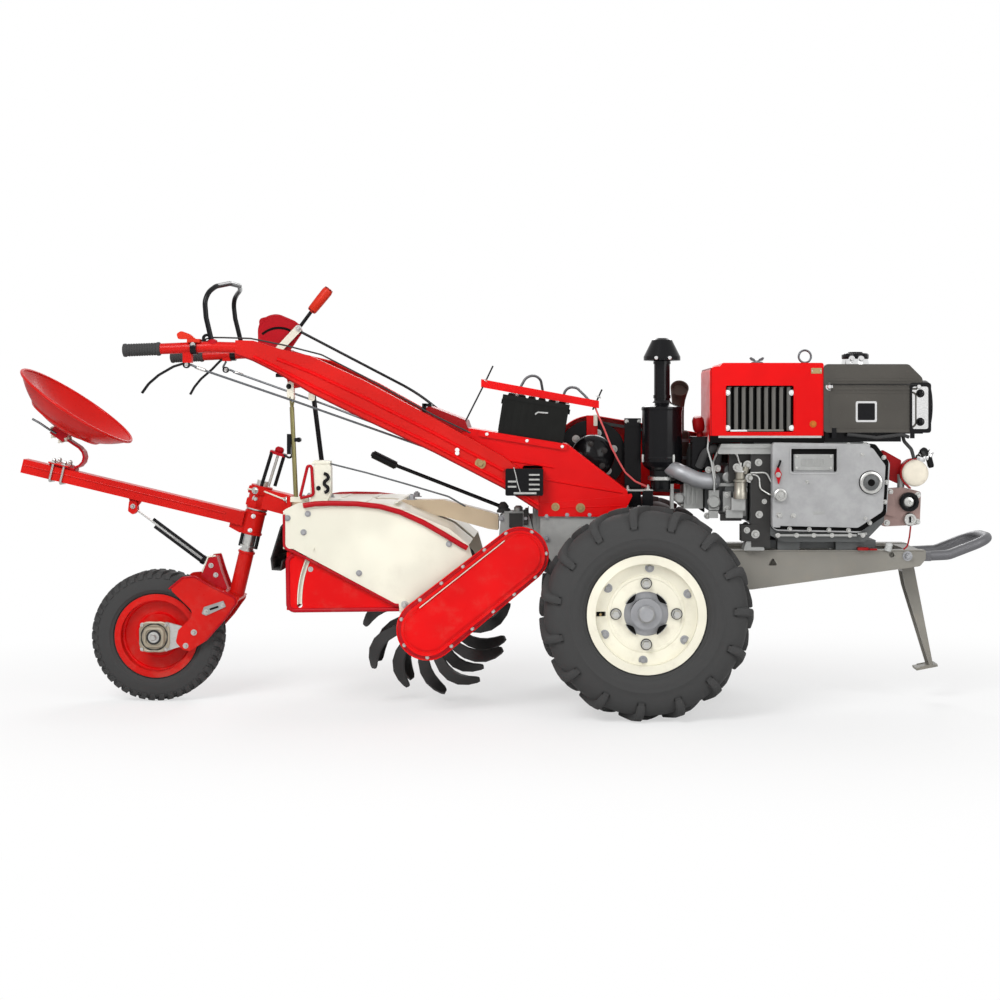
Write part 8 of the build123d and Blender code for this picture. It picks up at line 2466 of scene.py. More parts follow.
# --------------------------------------------------------------------------- tiller
@dataclass
class Tiller:
    """Chain case bolts, hood and apron fittings, lever and rotor bolts."""

    cross: Point = (0.059, 0.486)
    rotor: Point = (-0.219, 0.264)
    hood_half: float = 0.268
    pivot: Point = (-0.291, 0.345)
    slot: float = 0.318
    flanges: int = 5
    flange_span: float = 0.328
    upper_run: tuple[tuple[int, int], ...] = ((49, 76),)

    def hull(self, upper: float, lower: float) -> list[Vector]:
        """Outline round both shafts with its own radius at each end.

        Args:
            upper: radius round the cross shaft.
            lower: radius round the rotor shaft.

        Returns:
            (x, z) points, evenly spaced.
        """
        cloud = [Vector((x + r * math.cos(math.tau * i / 96), z + r * math.sin(math.tau * i / 96)))
                 for (x, z), r in ((self.cross, upper), (self.rotor, lower)) for i in range(96)]
        line = [cloud[i] for i in geometry.convex_hull_2d(cloud)]
        sides = [(line[i], line[(i + 1) % len(line)]) for i in range(len(line))]
        lengths = [(b - a).length for a, b in sides]
        total, count, points, spent, index = sum(lengths), 90, [], 0.0, 0
        for step in range(count):
            goal = total * step / count
            while spent + lengths[index] < goal:
                spent += lengths[index]
                index += 1
            a, b = sides[index]
            points.append(a.lerp(b, (goal - spent) / lengths[index]))
        return points

    def case(self, kit: Kit) -> None:
        """Rim, shell edge and bolts of the chain case, and the far arm's bolts.

        Args:
            kit: the maker that names, dresses and attaches pieces.
        """
        y = -0.3043
        rim = self.hull(0.0850, 0.0925)
        skirt = Form().press(rim, y + 0.0135, y - 0.0012, bevel=0.002)
        kit.piece(skirt.mesh("case_rim"), Look.SHADE_RED, "chassis")
        lips = [[(p.x, y - 0.0012, p.y) for p in self.hull(0.0835, 0.0910)]]
        lips[0].append(lips[0][0])
        kit.rods("case_lip", lips, 0.0022, Look.RED, "chassis", bend=0.001, sides=8)
        path = self.hull(0.0785, 0.0835)
        picks = [path[int(len(path) * i / 15)] for i in range(15)]
        kit.bolts("case_bolts", [((p.x, y - 0.0012, p.y), (0, -1, 0), 0.0105) for p in picks], Look.ZINC,
                  "chassis", Rise=0.5, Washer=0.56)
        body = ring_press(Form(), self.hull(0.0745, 0.0780), self.hull(0.0690, 0.0700), y + 0.001, -0.3175)
        kit.piece(body.mesh("case_shell", smooth=60), Look.RED, "chassis")
        # thin cream line along the case's upper edge: a painted highlight
        streak = [[(p.x, -0.3178, p.y) for p in self.hull(0.0640, 0.0660)[lo:hi]]
                  for lo, hi in self.upper_run]
        kit.rods("case_streak", streak, 0.0016, Look.CREAM, "chassis", bend=0.001, sides=6)
        arm = [((x, self.hood_half + 0.0143, z), (0, 1, 0), 0.017) for x, z in
               [(self.cross[0] + 0.030 * math.cos(a), self.cross[1] + 0.030 * math.sin(a))
                for a in (0.4, 1.97, 3.54, 5.11)]]
        arm += [((self.rotor[0] + 0.034 * math.cos(a), self.hood_half + 0.0343,
                  self.rotor[1] + 0.034 * math.sin(a)), (0, 1, 0), 0.012)
                for a in (0.8, 2.37, 3.94, 5.51)]
        kit.bolts("arm_bolts", arm, Look.ZINC, "chassis")
        cap = Form().lathe([(0.0, 0.0), (0.040, 0.0), (0.040, 0.003), (0.026, 0.005), (0.022, 0.014),
                            (0.0, 0.016)],
                           toward((0, 1, 0), (self.rotor[0], self.hood_half + 0.0343, self.rotor[1])), 40)
        kit.piece(cap.mesh("rotor_cap"), Look.RED, "chassis")

    def hood(self, kit: Kit) -> None:
        """Bolts, edge rolls and stiffeners of the hood.

        Args:
            kit: the maker that names, dresses and attaches pieces.
        """
        rows = []
        for sign in (-1, 1):
            y = sign * self.hood_half
            rows += [((x, y, z), (0, sign, 0), 0.014)
                     for x, z in ((-0.6435, 0.5953), (-0.5823, 0.6080), (-0.5953, 0.5525),
                                                                  (-0.1570, 0.5170), (-0.4280, 0.4290))]
        kit.bolts("hood_bolts", rows, Look.IRON, "chassis", Rise=0.4, Washer=0.66)
        edges = []
        for sign in (-1, 1):
            y = sign * (self.hood_half + 0.0005)
            edges.append([(-0.6545, y, 0.606), (-0.6545, y, 0.504), (-0.6270, y, 0.4945),
                          (-0.320, y, 0.3335), (-0.266, y, 0.331),
                          (-0.139, y, 0.345), (-0.070, y, 0.420)])
        kit.rods("hood_edges", edges, 0.0040, Look.SHADE_RED, "chassis", bend=0.02)
        bars = [[(x, sign * 0.2745, z)
                 for x, z in ((-0.5950, 0.6330), (-0.5600, 0.6385), (-0.5100, 0.6400), (-0.4334, 0.6385),
                              (-0.3635, 0.6305),
                                                     (-0.3024, 0.6131), (-0.2325, 0.5816),
                                                     (-0.1714, 0.5467), (-0.1190, 0.5144),
                                                     (-0.1010, 0.5050))] for sign in (-1, 1)]
        kit.rods("rim_bars", bars, 0.0082, Look.SHADE_RED, "chassis", bend=0.06, sides=14)
        ribs = Form()
        for x in (-0.520, -0.420, -0.320):
            for low, high in ((-0.240, -0.050), (0.050, 0.240)):
                ribs.press(rounded([(x - 0.007, low), (x + 0.007, low), (x + 0.007, high),
                                    (x - 0.007, high)], 0.0065), 0.6396, 0.6420, TOP, bevel=0.001)
        kit.piece(ribs.mesh("hood_ribs"), Look.CREAM, "chassis")
        kit.bolts("hood_top_bolts", [((-0.286, y, 0.6402), (0, 0, 1), 0.020) for y in (-0.085, 0.085)] +
                  [((x, y, 0.6402), (0, 0, 1), 0.016) for x in (-0.630, -0.560) for y in (-0.060, 0.060)],
                  Look.IRON, "chassis", Stud=0.3)
        plate = rounded([(-0.309, 0.350), (-0.305, 0.309), (-0.277, 0.302), (-0.272, 0.342),
                         (-0.288, 0.352)], 0.004)
        latch = Form()
        for side in (-1, 1):
            latch.press(plate, side * self.hood_half, side * (self.hood_half + 0.0045), bevel=0.001)
        kit.piece(latch.mesh("apron_latch"), Look.CREAM, "chassis", ["hood_rim"])
        kit.bolts("apron_pins", [((*((self.pivot[0] + 0.001), s * (self.hood_half + 0.0045)),
                                   self.pivot[1] - 0.010), (0, s, 0), 0.014)
                                 for s in (-1, 1)], Look.ZINC, "chassis")

    def apron(self, kit: Kit) -> None:
        """Rolled border, bright slot guide and bolt of each apron cheek.

        Args:
            kit: the maker that names, dresses and attaches pieces.
        """
        borders, rows = [], []
        guide = Form()
        for sign in (-1, 1):
            y = sign * 0.2570
            borders.append([(-0.628, y, 0.4840), (-0.6455, y, 0.4700), (-0.6430, y, 0.3150),
                            (-0.302, y, 0.3190), (-0.268, y, 0.332),
                            (-0.284, y, 0.364)])
            rows.append(((-0.5760, sign * 0.2581, 0.4400), (0, sign, 0), 0.010))
            spread = [math.radians(150.5 + 31.5 * i / 12) for i in range(13)]
            low, high = sorted((sign * 0.2555, sign * 0.2592))
            for radius_in, radius_out in ((self.slot - 0.0070, self.slot - 0.0042),
                                          (self.slot + 0.0042, self.slot + 0.0070)):
                line = [(self.pivot[0] + r * math.cos(a), self.pivot[1] + r * math.sin(a))
                        for r, order in ((radius_out, spread), (radius_in, spread[::-1])) for a in order]
                guide.press(line, low, high)
            back = [(self.pivot[0] + r * math.cos(a), self.pivot[1] + r * math.sin(a))
                    for r, order in ((self.slot + 0.0060, spread), (self.slot - 0.0060, spread[::-1]))
                    for a in order]
            deep, shallow = sorted((sign * 0.2498, sign * 0.2510))
            guide.press(back, deep, shallow)
        kit.rods("apron_border", borders, 0.0068, Look.SHADE_RED, "curtain", bend=0.020, sides=12)
        kit.piece(guide.mesh("slot_guide"), Look.CREAM, "curtain")
        kit.bolts("apron_bolts", rows, Look.ZINC, "curtain", Rise=0.35)
        bar = Form()
        for z in (0.345, 0.400):
            bar.slab((-0.6505, -0.236, z - 0.006), (-0.6475, 0.236, z + 0.006), 0.0012)
        kit.piece(bar.mesh("apron_ribs"), Look.RED, "curtain")

    def gears(self, kit: Kit) -> None:
        """Bolts and fittings of the tiller's gear casing and the shift lever's grip.

        Args:
            kit: the maker that names, dresses and attaches pieces.
        """
        rows = [((x, s * 0.054, z), (0, s, 0), 0.013) for s in (-1, 1) for x, z in
                ((-0.002, 0.450), (0.040, 0.440), (0.088, 0.446), (0.094, 0.496), (0.070, 0.580),
                 (0.030, 0.586), (-0.006, 0.580), (-0.008, 0.515))]
        rows += [((0.0775, y, z), (-1, 0, 0), 0.016) for y in (-0.035, 0.035) for z in (0.530, 0.600)]
        kit.bolts("gearcase_bolts", rows, Look.IRON, "chassis")
        top = Form().slab((0.002, -0.040, 0.5948), (0.062, 0.040, 0.6010), 0.002)
        top.lathe([(0.0, 0.0), (0.014, 0.0), (0.014, 0.012), (0.008, 0.018), (0.0, 0.018)],
                  toward((0, 0, 1), (0.046, -0.024, 0.6005)), 20)
        kit.piece(top.mesh("gearcase_lid"), Look.ALLOY, "chassis")
        dark = Form().slab((0.018, -0.064, 0.552), (0.060, -0.054, 0.596), 0.003)
        dark.slab((0.064, -0.060, 0.560), (0.078, -0.046, 0.608), 0.003)
        kit.piece(dark.mesh("shift_fork_cover"), Look.OIL_DARK, "chassis")
        base, end = Vector((-0.342, -0.020, 0.744)), Vector((-0.418, -0.0242, 0.7820))
        grip = Form().lathe([(0.0, -0.002), (0.0082, -0.002), (0.0096, 0.004), (0.0104, 0.040),
                             (0.0100, 0.078), (0.0070, 0.0865), (0.0, 0.088)],
                            toward(end - base, base), 24, wave=(8, 0.03))
        kit.piece(grip.mesh("shift_grip", smooth=40), Look.GRIP, "chassis")
        boot = Form().lathe([(0.0145, 0.0), (0.022, 0.002), (0.022, 0.008), (0.016, 0.014), (0.018, 0.018),
                             (0.011, 0.030), (0.0065, 0.034)],
                            toward((-0.1, 0, 1), (-0.001, 0.0, 0.595)), 28)
        kit.piece(boot.mesh("shift_boot", smooth=50), Look.BELT, "chassis")

    def tine(self, place: Matrix, hand: int, form: Form) -> None:
        """One slim scimitar tine.

        Args:
            place: frame whose X runs out from the shaft, Y with the turn and Z along it.
            hand: the side that its tip bends to.
            form: the form that it joins.
        """
        # (out, round, half width, sideways, degrees of twist)
        stations = ((0.030, 0.000, 0.0150, 0.0, 0), (0.080, 0.000, 0.0150, 0.0, 0),
                    (0.115, 0.004, 0.0165, 0.0, 0), (0.145, 0.014, 0.0185, 0.001, 4),
                    (0.170, 0.031, 0.0200, 0.005, 12), (0.188, 0.054, 0.0205, 0.013, 24),
                    (0.198, 0.080, 0.0195, 0.025, 36),
                    (0.2025, 0.104, 0.0160, 0.038, 46), (0.2040, 0.1130, 0.0100, 0.044, 50))
        rows = []
        for index, (out, turn, half, side, twist) in enumerate(stations):
            before, after = stations[max(index - 1, 0)], stations[min(index + 1, len(stations) - 1)]
            run = Vector((after[0] - before[0], after[1] - before[1],
                          hand * (after[3] - before[3]))).normalized()
            flat = Vector((run.y, -run.x, 0)).normalized()
            wide = flat * math.cos(math.radians(twist)) + Vector((0, 0,
                hand)) * math.sin(math.radians(twist))
            thick = run.cross(wide).normalized() * 0.0038
            middle = Vector((out, turn, hand * side))
            rows.append([tuple(place @ (middle + wide * (half * w) + thick * t)) for w, t in
                         ((-1, 0.0), (-0.8, 1.0), (0.9, 1.0), (1, 0.6), (1, -0.6), (0.9, -1.0),
                          (-0.8, -1.0))])
        form.skin(rows, loop=True).ends(rows[0], rows[-1])

    def tines(self, kit: Kit) -> None:
        """Shaft, flanges, slim tines and their bolts, in place of the plain rotor.

        Args:
            kit: the maker that names, dresses and attaches pieces.
        """
        x, z = self.rotor
        tines, hubs, rows = Form(), Form(), []
        for index in range(self.flanges):
            y = -self.flange_span / 2 + index * self.flange_span / (self.flanges - 1)
            hubs.lathe([(0.026, -0.005), (0.062, -0.005), (0.062, 0.005), (0.026, 0.005)],
                       toward((0, 1, 0), (x, y, z)), 48, closed=True)
            for number in range(4):
                angle = math.radians(10 + 90 * number + 30 * index)
                hand = 1 if (number + index) % 2 else -1
                if index in (0, self.flanges - 1):
                    hand = 1 if index == 0 else -1
                axes = Matrix(((math.cos(angle), -math.sin(angle), 0), (0, 0, 1),
                               (math.sin(angle), math.cos(angle), 0))).to_4x4()
                self.tine(Matrix.Translation(Vector((x, y + hand * 0.0088, z))) @ axes, hand, tines)
                for reach in (0.036, 0.053):
                    head = (x + reach * math.cos(angle), y + hand * 0.0126, z + reach * math.sin(angle))
                    rows.append((head, (0, hand, 0), 0.012))
        hubs.lathe([(0.0, -0.2500), (0.024, -0.2500), (0.024, -0.2250), (0.028, -0.2200), (0.028, 0.2200),
                    (0.024, 0.2250), (0.024, 0.2500), (0.0, 0.2500)],
                   toward((0, 1, 0), (x, 0, z)), 36)
        for sign in (-1, 1):
            hubs.lathe([(0.026, 0.2200), (0.046, 0.2200), (0.046, 0.2290), (0.026, 0.2290)],
                       toward((0, sign, 0), (x, 0, z)), 40, closed=True)
        kit.piece(tines.mesh("rotor_tines", smooth=30), Look.TINE, "rotor", ["tiller_rotor"])
        kit.piece(hubs.mesh("rotor_shaft"), Look.TINE, "rotor")
        kit.bolts("tine_bolts", rows, Look.IRON, "rotor", Rise=0.5)

    def build(self, kit: Kit) -> None:
        """Builds the tiller's fittings.

        Args:
            kit: the maker that names, dresses and attaches pieces.
        """
        self.case(kit)
        self.hood(kit)
        self.apron(kit)
        self.gears(kit)
        self.tines(kit)


# --------------------------------------------------------------------------- tail and seat
@dataclass
class Tail:
    """Height screw, clamp, post rings, fork plate and strut of the tail."""

    top: Point = (-0.741, 0.806)
    tilt: float = 13.3

    def post(self, z: float, across: float = 0.0, ahead: float = 0.0) -> Vector:
        """A point on the steering axis at a height, moved across and square to it ahead.

        Args:
            z: height of the point.
            across: how far it moves sideways.
            ahead: how far it moves ahead, square to the axis.

        Returns:
            The point.
        """
        lean = math.tan(math.radians(self.tilt))
        x = self.top[0] - (self.top[1] - z) * lean
        c, s = math.cos(math.radians(self.tilt)), math.sin(math.radians(self.tilt))
        return Vector((x + ahead * c, across, z - ahead * s))

    @property
    def aim(self) -> Vector:
        """The direction of the steering axis."""
        return Vector((math.sin(math.radians(self.tilt)), 0, math.cos(math.radians(self.tilt))))

    def screw(self, kit: Kit) -> None:
        """Two black guide rods, bright screw, red yoke and knob.

        Args:
            kit: the maker that names, dresses and attaches pieces.
        """
        rods = [[(-0.7700, -0.018, 0.680), (-0.7370, -0.018, 0.7880)],
                [(-0.7340, 0.018, 0.678), (-0.7035, 0.018, 0.7780)]]
        kit.rods("guide_rods", rods, 0.0056, Look.BLACK, "chassis", bend=0.001, sides=14)
        low, high = Vector((-0.7520, 0.0, 0.676)), Vector((-0.7180, 0.0, 0.7860))
        threads = [(0.0, 0.0)]
        for turn in range(25):
            threads += [(0.0052, 0.002 + turn * 0.0044), (0.0042, 0.004 + turn * 0.0044)]
        threads.append((0.0, 0.1140))
        screw = Form().lathe(threads, toward(high - low, low), 16)
        kit.piece(screw.mesh("depth_screw", smooth=60), Look.ZINC, "chassis", ["height_screw"])
        yoke = Form()
        place = toward(high - low, high + (high - low).normalized() * -0.008)
        yoke.press(rounded([(-0.022, -0.026), (0.022, -0.026), (0.022, 0.026), (-0.022, 0.026)], 0.008),
                   0.0, 0.009, place, bevel=0.002)
        yoke.lathe([(0.0, 0.008), (0.012, 0.008), (0.014, 0.012), (0.014, 0.020), (0.009, 0.026),
                    (0.0, 0.0275)], place, 32, wave=(6, 0.05))
        kit.piece(yoke.mesh("depth_knob", smooth=40), Look.SHADE_RED, "chassis")
        hook = [[(-0.6990, -0.020, 0.780), (-0.6800, -0.024, 0.768), (-0.6720, -0.024, 0.776),
                 (-0.6740, -0.024, 0.800)]]
        kit.rods("clamp_hook", hook, 0.0036, Look.BLACK, "chassis", bend=0.010)

    def clamp(self, kit: Kit) -> None:
        """Six-sided clamp bands on the barrel, their bolts and the bracket's flange.

        Args:
            kit: the maker that names, dresses and attaches pieces.
        """
        bands = Form()
        for z, reach in ((0.652, 0.0415), (0.614, 0.0395)):
            place = toward(self.aim, self.post(z))
            bands.lathe([(0.030, 0.0), (reach, 0.0), (reach + 0.001, 0.004), (reach + 0.001, 0.019),
                         (reach, 0.023), (0.030, 0.023)], place, 6, closed=True)
        bands.slab((-0.684, -0.050, 0.588), (-0.6715, 0.050, 0.650), 0.003)
        kit.piece(bands.mesh("barrel_bands", smooth=25), Look.ARM_RED, "chassis")
        rows = [((self.post(0.664, s * 0.037, -0.012)), (-0.3, s, 0), 0.014) for s in (-1, 1)]
        rows += [((-0.684, y, z), (-1, 0, 0), 0.014) for y in (-0.042, 0.042) for z in (0.600, 0.638)]
        rows += [((-0.790 + 0.005, s * 0.0302, 0.640), (0, s, 0), 0.015) for s in (-1, 1)]
        kit.bolts("clamp_screws", rows, Look.ZINC, "chassis", Stud=0.3)
        # thin cream lines along the bracket's edges: painted highlights
        edge = [[(-0.812, s * 0.0315, 0.672), (-0.760, s * 0.0315, 0.664), (-0.700, s * 0.0315, 0.640),
                 (-0.676, s * 0.0315, 0.648)] for s in (-1, 1)]
        kit.rods("bracket_edges", edge, 0.0026, Look.CREAM, "chassis", bend=0.02)
        guides = [[(-0.7700 + shift - 0.2364 * (0.680 - z), s * 0.012, z) for z in (0.664, 0.610)]
                  for shift, s in ((0.0, -1), (0.036, 1))]
        kit.rods("guide_sockets", guides, 0.0075, Look.SHADE_RED, "chassis", bend=0.001)

    def rings(self, kit: Kit) -> None:
        """Rings and bolts on the post and the seat beam's sleeve.

        Args:
            kit: the maker that names, dresses and attaches pieces.
        """
        rings = Form()
        for z, r in ((0.486, 0.0255), (0.604, 0.0335)):
            rings.lathe([(0.0195, 0.0), (r, 0.0), (r, 0.005), (0.0195, 0.005)],
                        toward(self.aim, self.post(z)), 40, closed=True)
        kit.piece(rings.mesh("post_rings"), Look.ZINC, "sulky")
        cups = Form()
        for z, r in ((0.5275, 0.0335), (0.5925, 0.0335), (0.4660, 0.0262)):
            cups.lathe([(r - 0.004, 0.0), (r, 0.0), (r + 0.001, 0.003), (r, 0.007), (r - 0.004, 0.007)],
                       toward(self.aim, self.post(z)), 44, closed=True)
        kit.piece(cups.mesh("sleeve_rolls"), Look.ARM_RED, "sulky")
        rows = [(self.post(z, s * 0.0305), (0, s, 0), 0.009) for s in (-1, 1) for z in (0.540, 0.585)]
        kit.bolts("sleeve_bolts", rows, Look.WHITE, "sulky", Rise=0.5)
        bars = [[self.post(0.530, 0, side * 0.0255), self.post(0.484, 0, side * 0.0255)]
                for side in (-1, 1)]
        kit.rods("post_bars", bars, 0.0058, Look.BLACK, "sulky", bend=0.001)

    def fork(self, kit: Kit) -> None:
        """Slotted plate, bolts and edges of the fork.

        Args:
            kit: the maker that names, dresses and attaches pieces.
        """
        plate, slots = Form(), Form()
        rows = []
        for sign in (-1, 1):
            y = sign * 0.067
            plate.press(rounded([(-0.948, 0.281), (-0.941, 0.302), (-0.880, 0.322), (-0.872, 0.303),
                                 (-0.934, 0.275)], 0.003),
                        y, y + sign * 0.0035, bevel=0.0008)
            # black sheets in the slots: painted shade
            slots.press(rounded([(-0.922, 0.2915), (-0.924, 0.2975), (-0.896, 0.3065), (-0.894, 0.3005)],
                                0.0025), y, y + sign * 0.0039)
            rows += [((-0.973, y, 0.2220), (0, sign, 0), 0.012), ((-0.999, y, 0.1800), (0, sign, 0), 0.011),
                     ((-0.934, y + sign * 0.0035, 0.287), (0, sign, 0), 0.010),
                     ((-0.882, y + sign * 0.0035, 0.308), (0, sign, 0), 0.008)]
        kit.piece(plate.mesh("fork_plate"), Look.ALLOY, "sulky")
        kit.piece(slots.mesh("fork_slots"), Look.SHADOW, "sulky")
        kit.bolts("fork_bolts", rows, Look.ZINC, "sulky", Stud=0.25)
        edges = [[(-1.0520, s * 0.0675, 0.358), (-1.008, s * 0.0675, 0.395), (-0.972, s * 0.0675, 0.398),
                  (-0.914, s * 0.0675, 0.364), (-0.832, s * 0.0675, 0.3265), (-0.8745, s * 0.0675, 0.2660),
                  (-0.936, s * 0.0675, 0.1960)] for s in (-1, 1)]
        kit.rods("fork_edges", edges, 0.0030, Look.SHADE_RED, "sulky", bend=0.02)

    def strut(self, kit: Kit) -> None:
        """Strut of a bright rod that slides between two black tubes, with a red foot.

        Args:
            kit: the maker that names, dresses and attaches pieces.
        """
        head, foot = Vector((-1.180, 0.0, 0.610)), Vector((-0.9505, 0.0, 0.439))
        run = foot - head
        across = Vector((run.z, 0, -run.x)).normalized()
        inner = [[head - run * 0.02, head + run * 0.55]]
        kit.rods("strut_rod", inner, 0.0030, Look.ZINC, "sulky", bend=0.001, sides=10)
        outer = [[head + run * (0.31 if s > 0 else 0.25) + across * (s * 0.0085),
                  foot + across * (s * 0.0085)] for s in (-1, 1)]
        kit.rods("strut_tubes", outer, 0.0050, Look.BLACK, "sulky", bend=0.001, sides=14)
        web = [[head + run * 0.32, foot]]
        kit.rods("strut_web", web, 0.0030, Look.ALLOY, "sulky", bend=0.001, sides=8)
        ears = Form()
        for sign in (-1, 1):
            low, high = sorted((sign * 0.0045, sign * 0.012))
            ears.press(rounded([(-1.192, 0.634), (-1.168, 0.634), (-1.166, 0.600), (-1.180, 0.588),
                                (-1.196, 0.600)], 0.007), low, high, bevel=0.001)
        kit.piece(ears.mesh("strut_ears"), Look.ARM_RED, "sulky", ["seat_strut"])
        collars = Form()
        for share, r in ((0.97, 0.0150),):
            collars.lathe([(0.005, -0.005), (r, -0.005), (r, 0.005), (0.005, 0.005)],
                          toward(run, head + run * share), 24, closed=True)
        kit.piece(collars.mesh("strut_collars"), Look.BLACK, "sulky")
        rows = [((-1.180, s * 0.012, 0.615), (0, s, 0), 0.010) for s in (-1, 1)]
        rows += [((x, s * 0.0405, z), (0, s, 0), 0.010) for s in (-1, 1)
                 for x, z in ((-0.925, 0.430), (-0.910, 0.400))]
        kit.bolts("strut_bolts", rows, Look.ZINC, "sulky", Stud=0.3)
        fold = Form()
        for sign in (-1, 1):
            low, high = sorted((sign * 0.036, sign * 0.041))
            fold.press(rounded([(-0.957, 0.402), (-0.935, 0.458), (-0.909, 0.462), (-0.893, 0.410),
                                (-0.872, 0.352), (-0.904, 0.360), (-0.950, 0.392)],
                               0.006), low, high, bevel=0.001)
        kit.piece(fold.mesh("strut_bracket_sides"), Look.SHADE_RED, "sulky")
        # thin cream lines along the bracket's rim: painted highlights
        kit.rods("bracket_rim", [[(-0.953, s * 0.0415, 0.409), (-0.934, s * 0.0415, 0.4575),
                                  (-0.910, s * 0.0415, 0.4605)] for s in (-1, 1)], 0.0026,
                 Look.CREAM, "sulky", bend=0.006)

    def build(self, kit: Kit) -> None:
        """Builds the tail's fittings.

        Args:
            kit: the maker that names, dresses and attaches pieces.
        """
        self.screw(kit)
        self.clamp(kit)
        self.rings(kit)
        self.fork(kit)
        self.strut(kit)


@dataclass
class Seat:
    """Rolled pan edge, C spring, its clamps and the beam's end."""

    front: Point = (-0.8268, 0.576)
    angle: float = 13.5
    half: float = 0.022
    rim: Point = (-1.3608, 0.9345)
    tilt: float = 35.0

    def beam(self, along: float, above: float = 0.0) -> tuple[float, float]:
        """(x, z) on the beam, from its front end and above its middle line."""
        c, s = math.cos(math.radians(self.angle)), math.sin(math.radians(self.angle))
        return self.front[0] - along * c + above * s, self.front[1] + along * s + above * c

    def spring(self, kit: Kit) -> None:
        """C-shaped leaf from the beam's top up to the pan's pad.

        Args:
            kit: the maker that names, dresses and attaches pieces.
        """
        top = self.half + 0.004
        line = [self.beam(0.640, top), self.beam(0.600, top), self.beam(0.556, top), (-1.3640, 0.7385),
                (-1.3490, 0.7440), (-1.3380, 0.7560),
                (-1.3340, 0.7720), (-1.3380, 0.7880), (-1.3500, 0.8020), (-1.3680, 0.8140),
                (-1.3860, 0.8260)]
        rows = []
        for index, here in enumerate(line):
            before, after = Vector(line[max(index - 1, 0)]), Vector(line[min(index + 1, len(line) - 1)])
            run = (after - before).normalized()
            square = Vector((-run.y, run.x)) * 0.0036
            row = []
            for across, lift in ((-0.021, -0.6), (-0.0195, -1), (0.0195, -1), (0.021, -0.6), (0.021, 0.6),
                                 (0.0195, 1), (-0.0195, 1), (-0.021, 0.6)):
                row.append((here[0] + square.x * lift, across, here[1] + square.y * lift))
            rows.append(row)
        form = Form().skin(rows, loop=True).ends(rows[0], rows[-1])
        down = Vector((-math.sin(math.radians(self.tilt)), 0, -math.cos(math.radians(self.tilt))))
        place = toward(-down, Vector((-1.3990, 0, 0.8640)) + down * 0.016)
        form.press(rounded([(-0.028, -0.026), (0.028, -0.026), (0.028, 0.026), (-0.028, 0.026)], 0.006),
                   -0.020, 0.010, place, bevel=0.003)
        form.press(rounded([(-0.036, -0.020), (0.036, -0.020), (0.036, 0.020), (-0.036, 0.020)], 0.008),
                   0.006, 0.0165, place, bevel=0.002)
        kit.piece(form.mesh("seat_leaf", smooth=40), Look.SHADE_RED, "sulky", ["seat_spring"])
        heads = [(place @ Vector((x, y, -0.020)), tuple(down), 0.011) for x in (-0.016, 0.016)
                 for y in (-0.014, 0.014)]
        heads += [(place @ Vector((x, s * 0.026, -0.007)), (0, s, 0), 0.012) for s in (-1, 1)
                  for x in (-0.014, 0.014)]
        kit.bolts("leaf_bolts", heads, Look.CREAM, "sulky", Stud=0.5)
        lever = [[(-1.4180, -0.030, 0.8470), (-1.4330, -0.034, 0.8560), (-1.4700, -0.034, 0.8810),
                  (-1.4920, -0.034, 0.8930)]]
        kit.rods("seat_latch", lever, 0.0036, Look.DARK_METAL, "sulky", bend=0.01)

    def clamps(self, kit: Kit) -> None:
        """U bolts round the beam with their nuts, a clamp plate and the end plug.

        Args:
            kit: the maker that names, dresses and attaches pieces.
        """
        paths, nuts = [], []
        plate = Form()
        for along in (0.590, 0.625):
            low, high = self.beam(along, -self.half - 0.0045), self.beam(along, self.half + 0.026)
            paths.append([(high[0], -0.0285, high[1]), (low[0], -0.0285, low[1]), (low[0], 0.0285, low[1]),
                          (high[0], 0.0285, high[1])])
            seat = self.beam(along, self.half + 0.0115)
            aim = (math.sin(math.radians(self.angle)), 0, math.cos(math.radians(self.angle)))
            nuts += [((seat[0], s * 0.0285, seat[1]), aim, 0.014) for s in (-1, 1)]
        kit.rods("u_bolts", paths, 0.0040, Look.ZINC, "sulky", bend=0.008)
        kit.bolts("u_bolt_nuts", nuts, Look.ZINC, "sulky", Rise=0.7)
        corners = [self.beam(0.575, self.half + 0.0078), self.beam(0.640, self.half + 0.0078),
                   self.beam(0.640, self.half + 0.0118), self.beam(0.575, self.half + 0.0118)]
        plate.press(corners, -0.036, 0.036, bevel=0.001)
        kit.piece(plate.mesh("clamp_plate"), Look.ARM_RED, "sulky")
        end = Form()
        outline = [self.beam(0.7225, -self.half + 0.0045), self.beam(0.7225, self.half - 0.0045),
                   self.beam(0.712, self.half - 0.0045), self.beam(0.712, -self.half + 0.0045)]
        end.press(outline, -0.0195, 0.0195, bevel=0.001)
        kit.piece(end.mesh("beam_plug"), Look.BLACK_PLASTIC, "sulky")
        seams = []
        for sign in (-1, 1):
            for above in (0.004,):
                a, b = self.beam(0.060, above), self.beam(0.715, above)
                seams.append([(a[0], sign * 0.0238, a[1]), (b[0], sign * 0.0238, b[1])])
        kit.rods("beam_seam", seams, 0.0030, Look.ARM_RED, "sulky", bend=0.001)

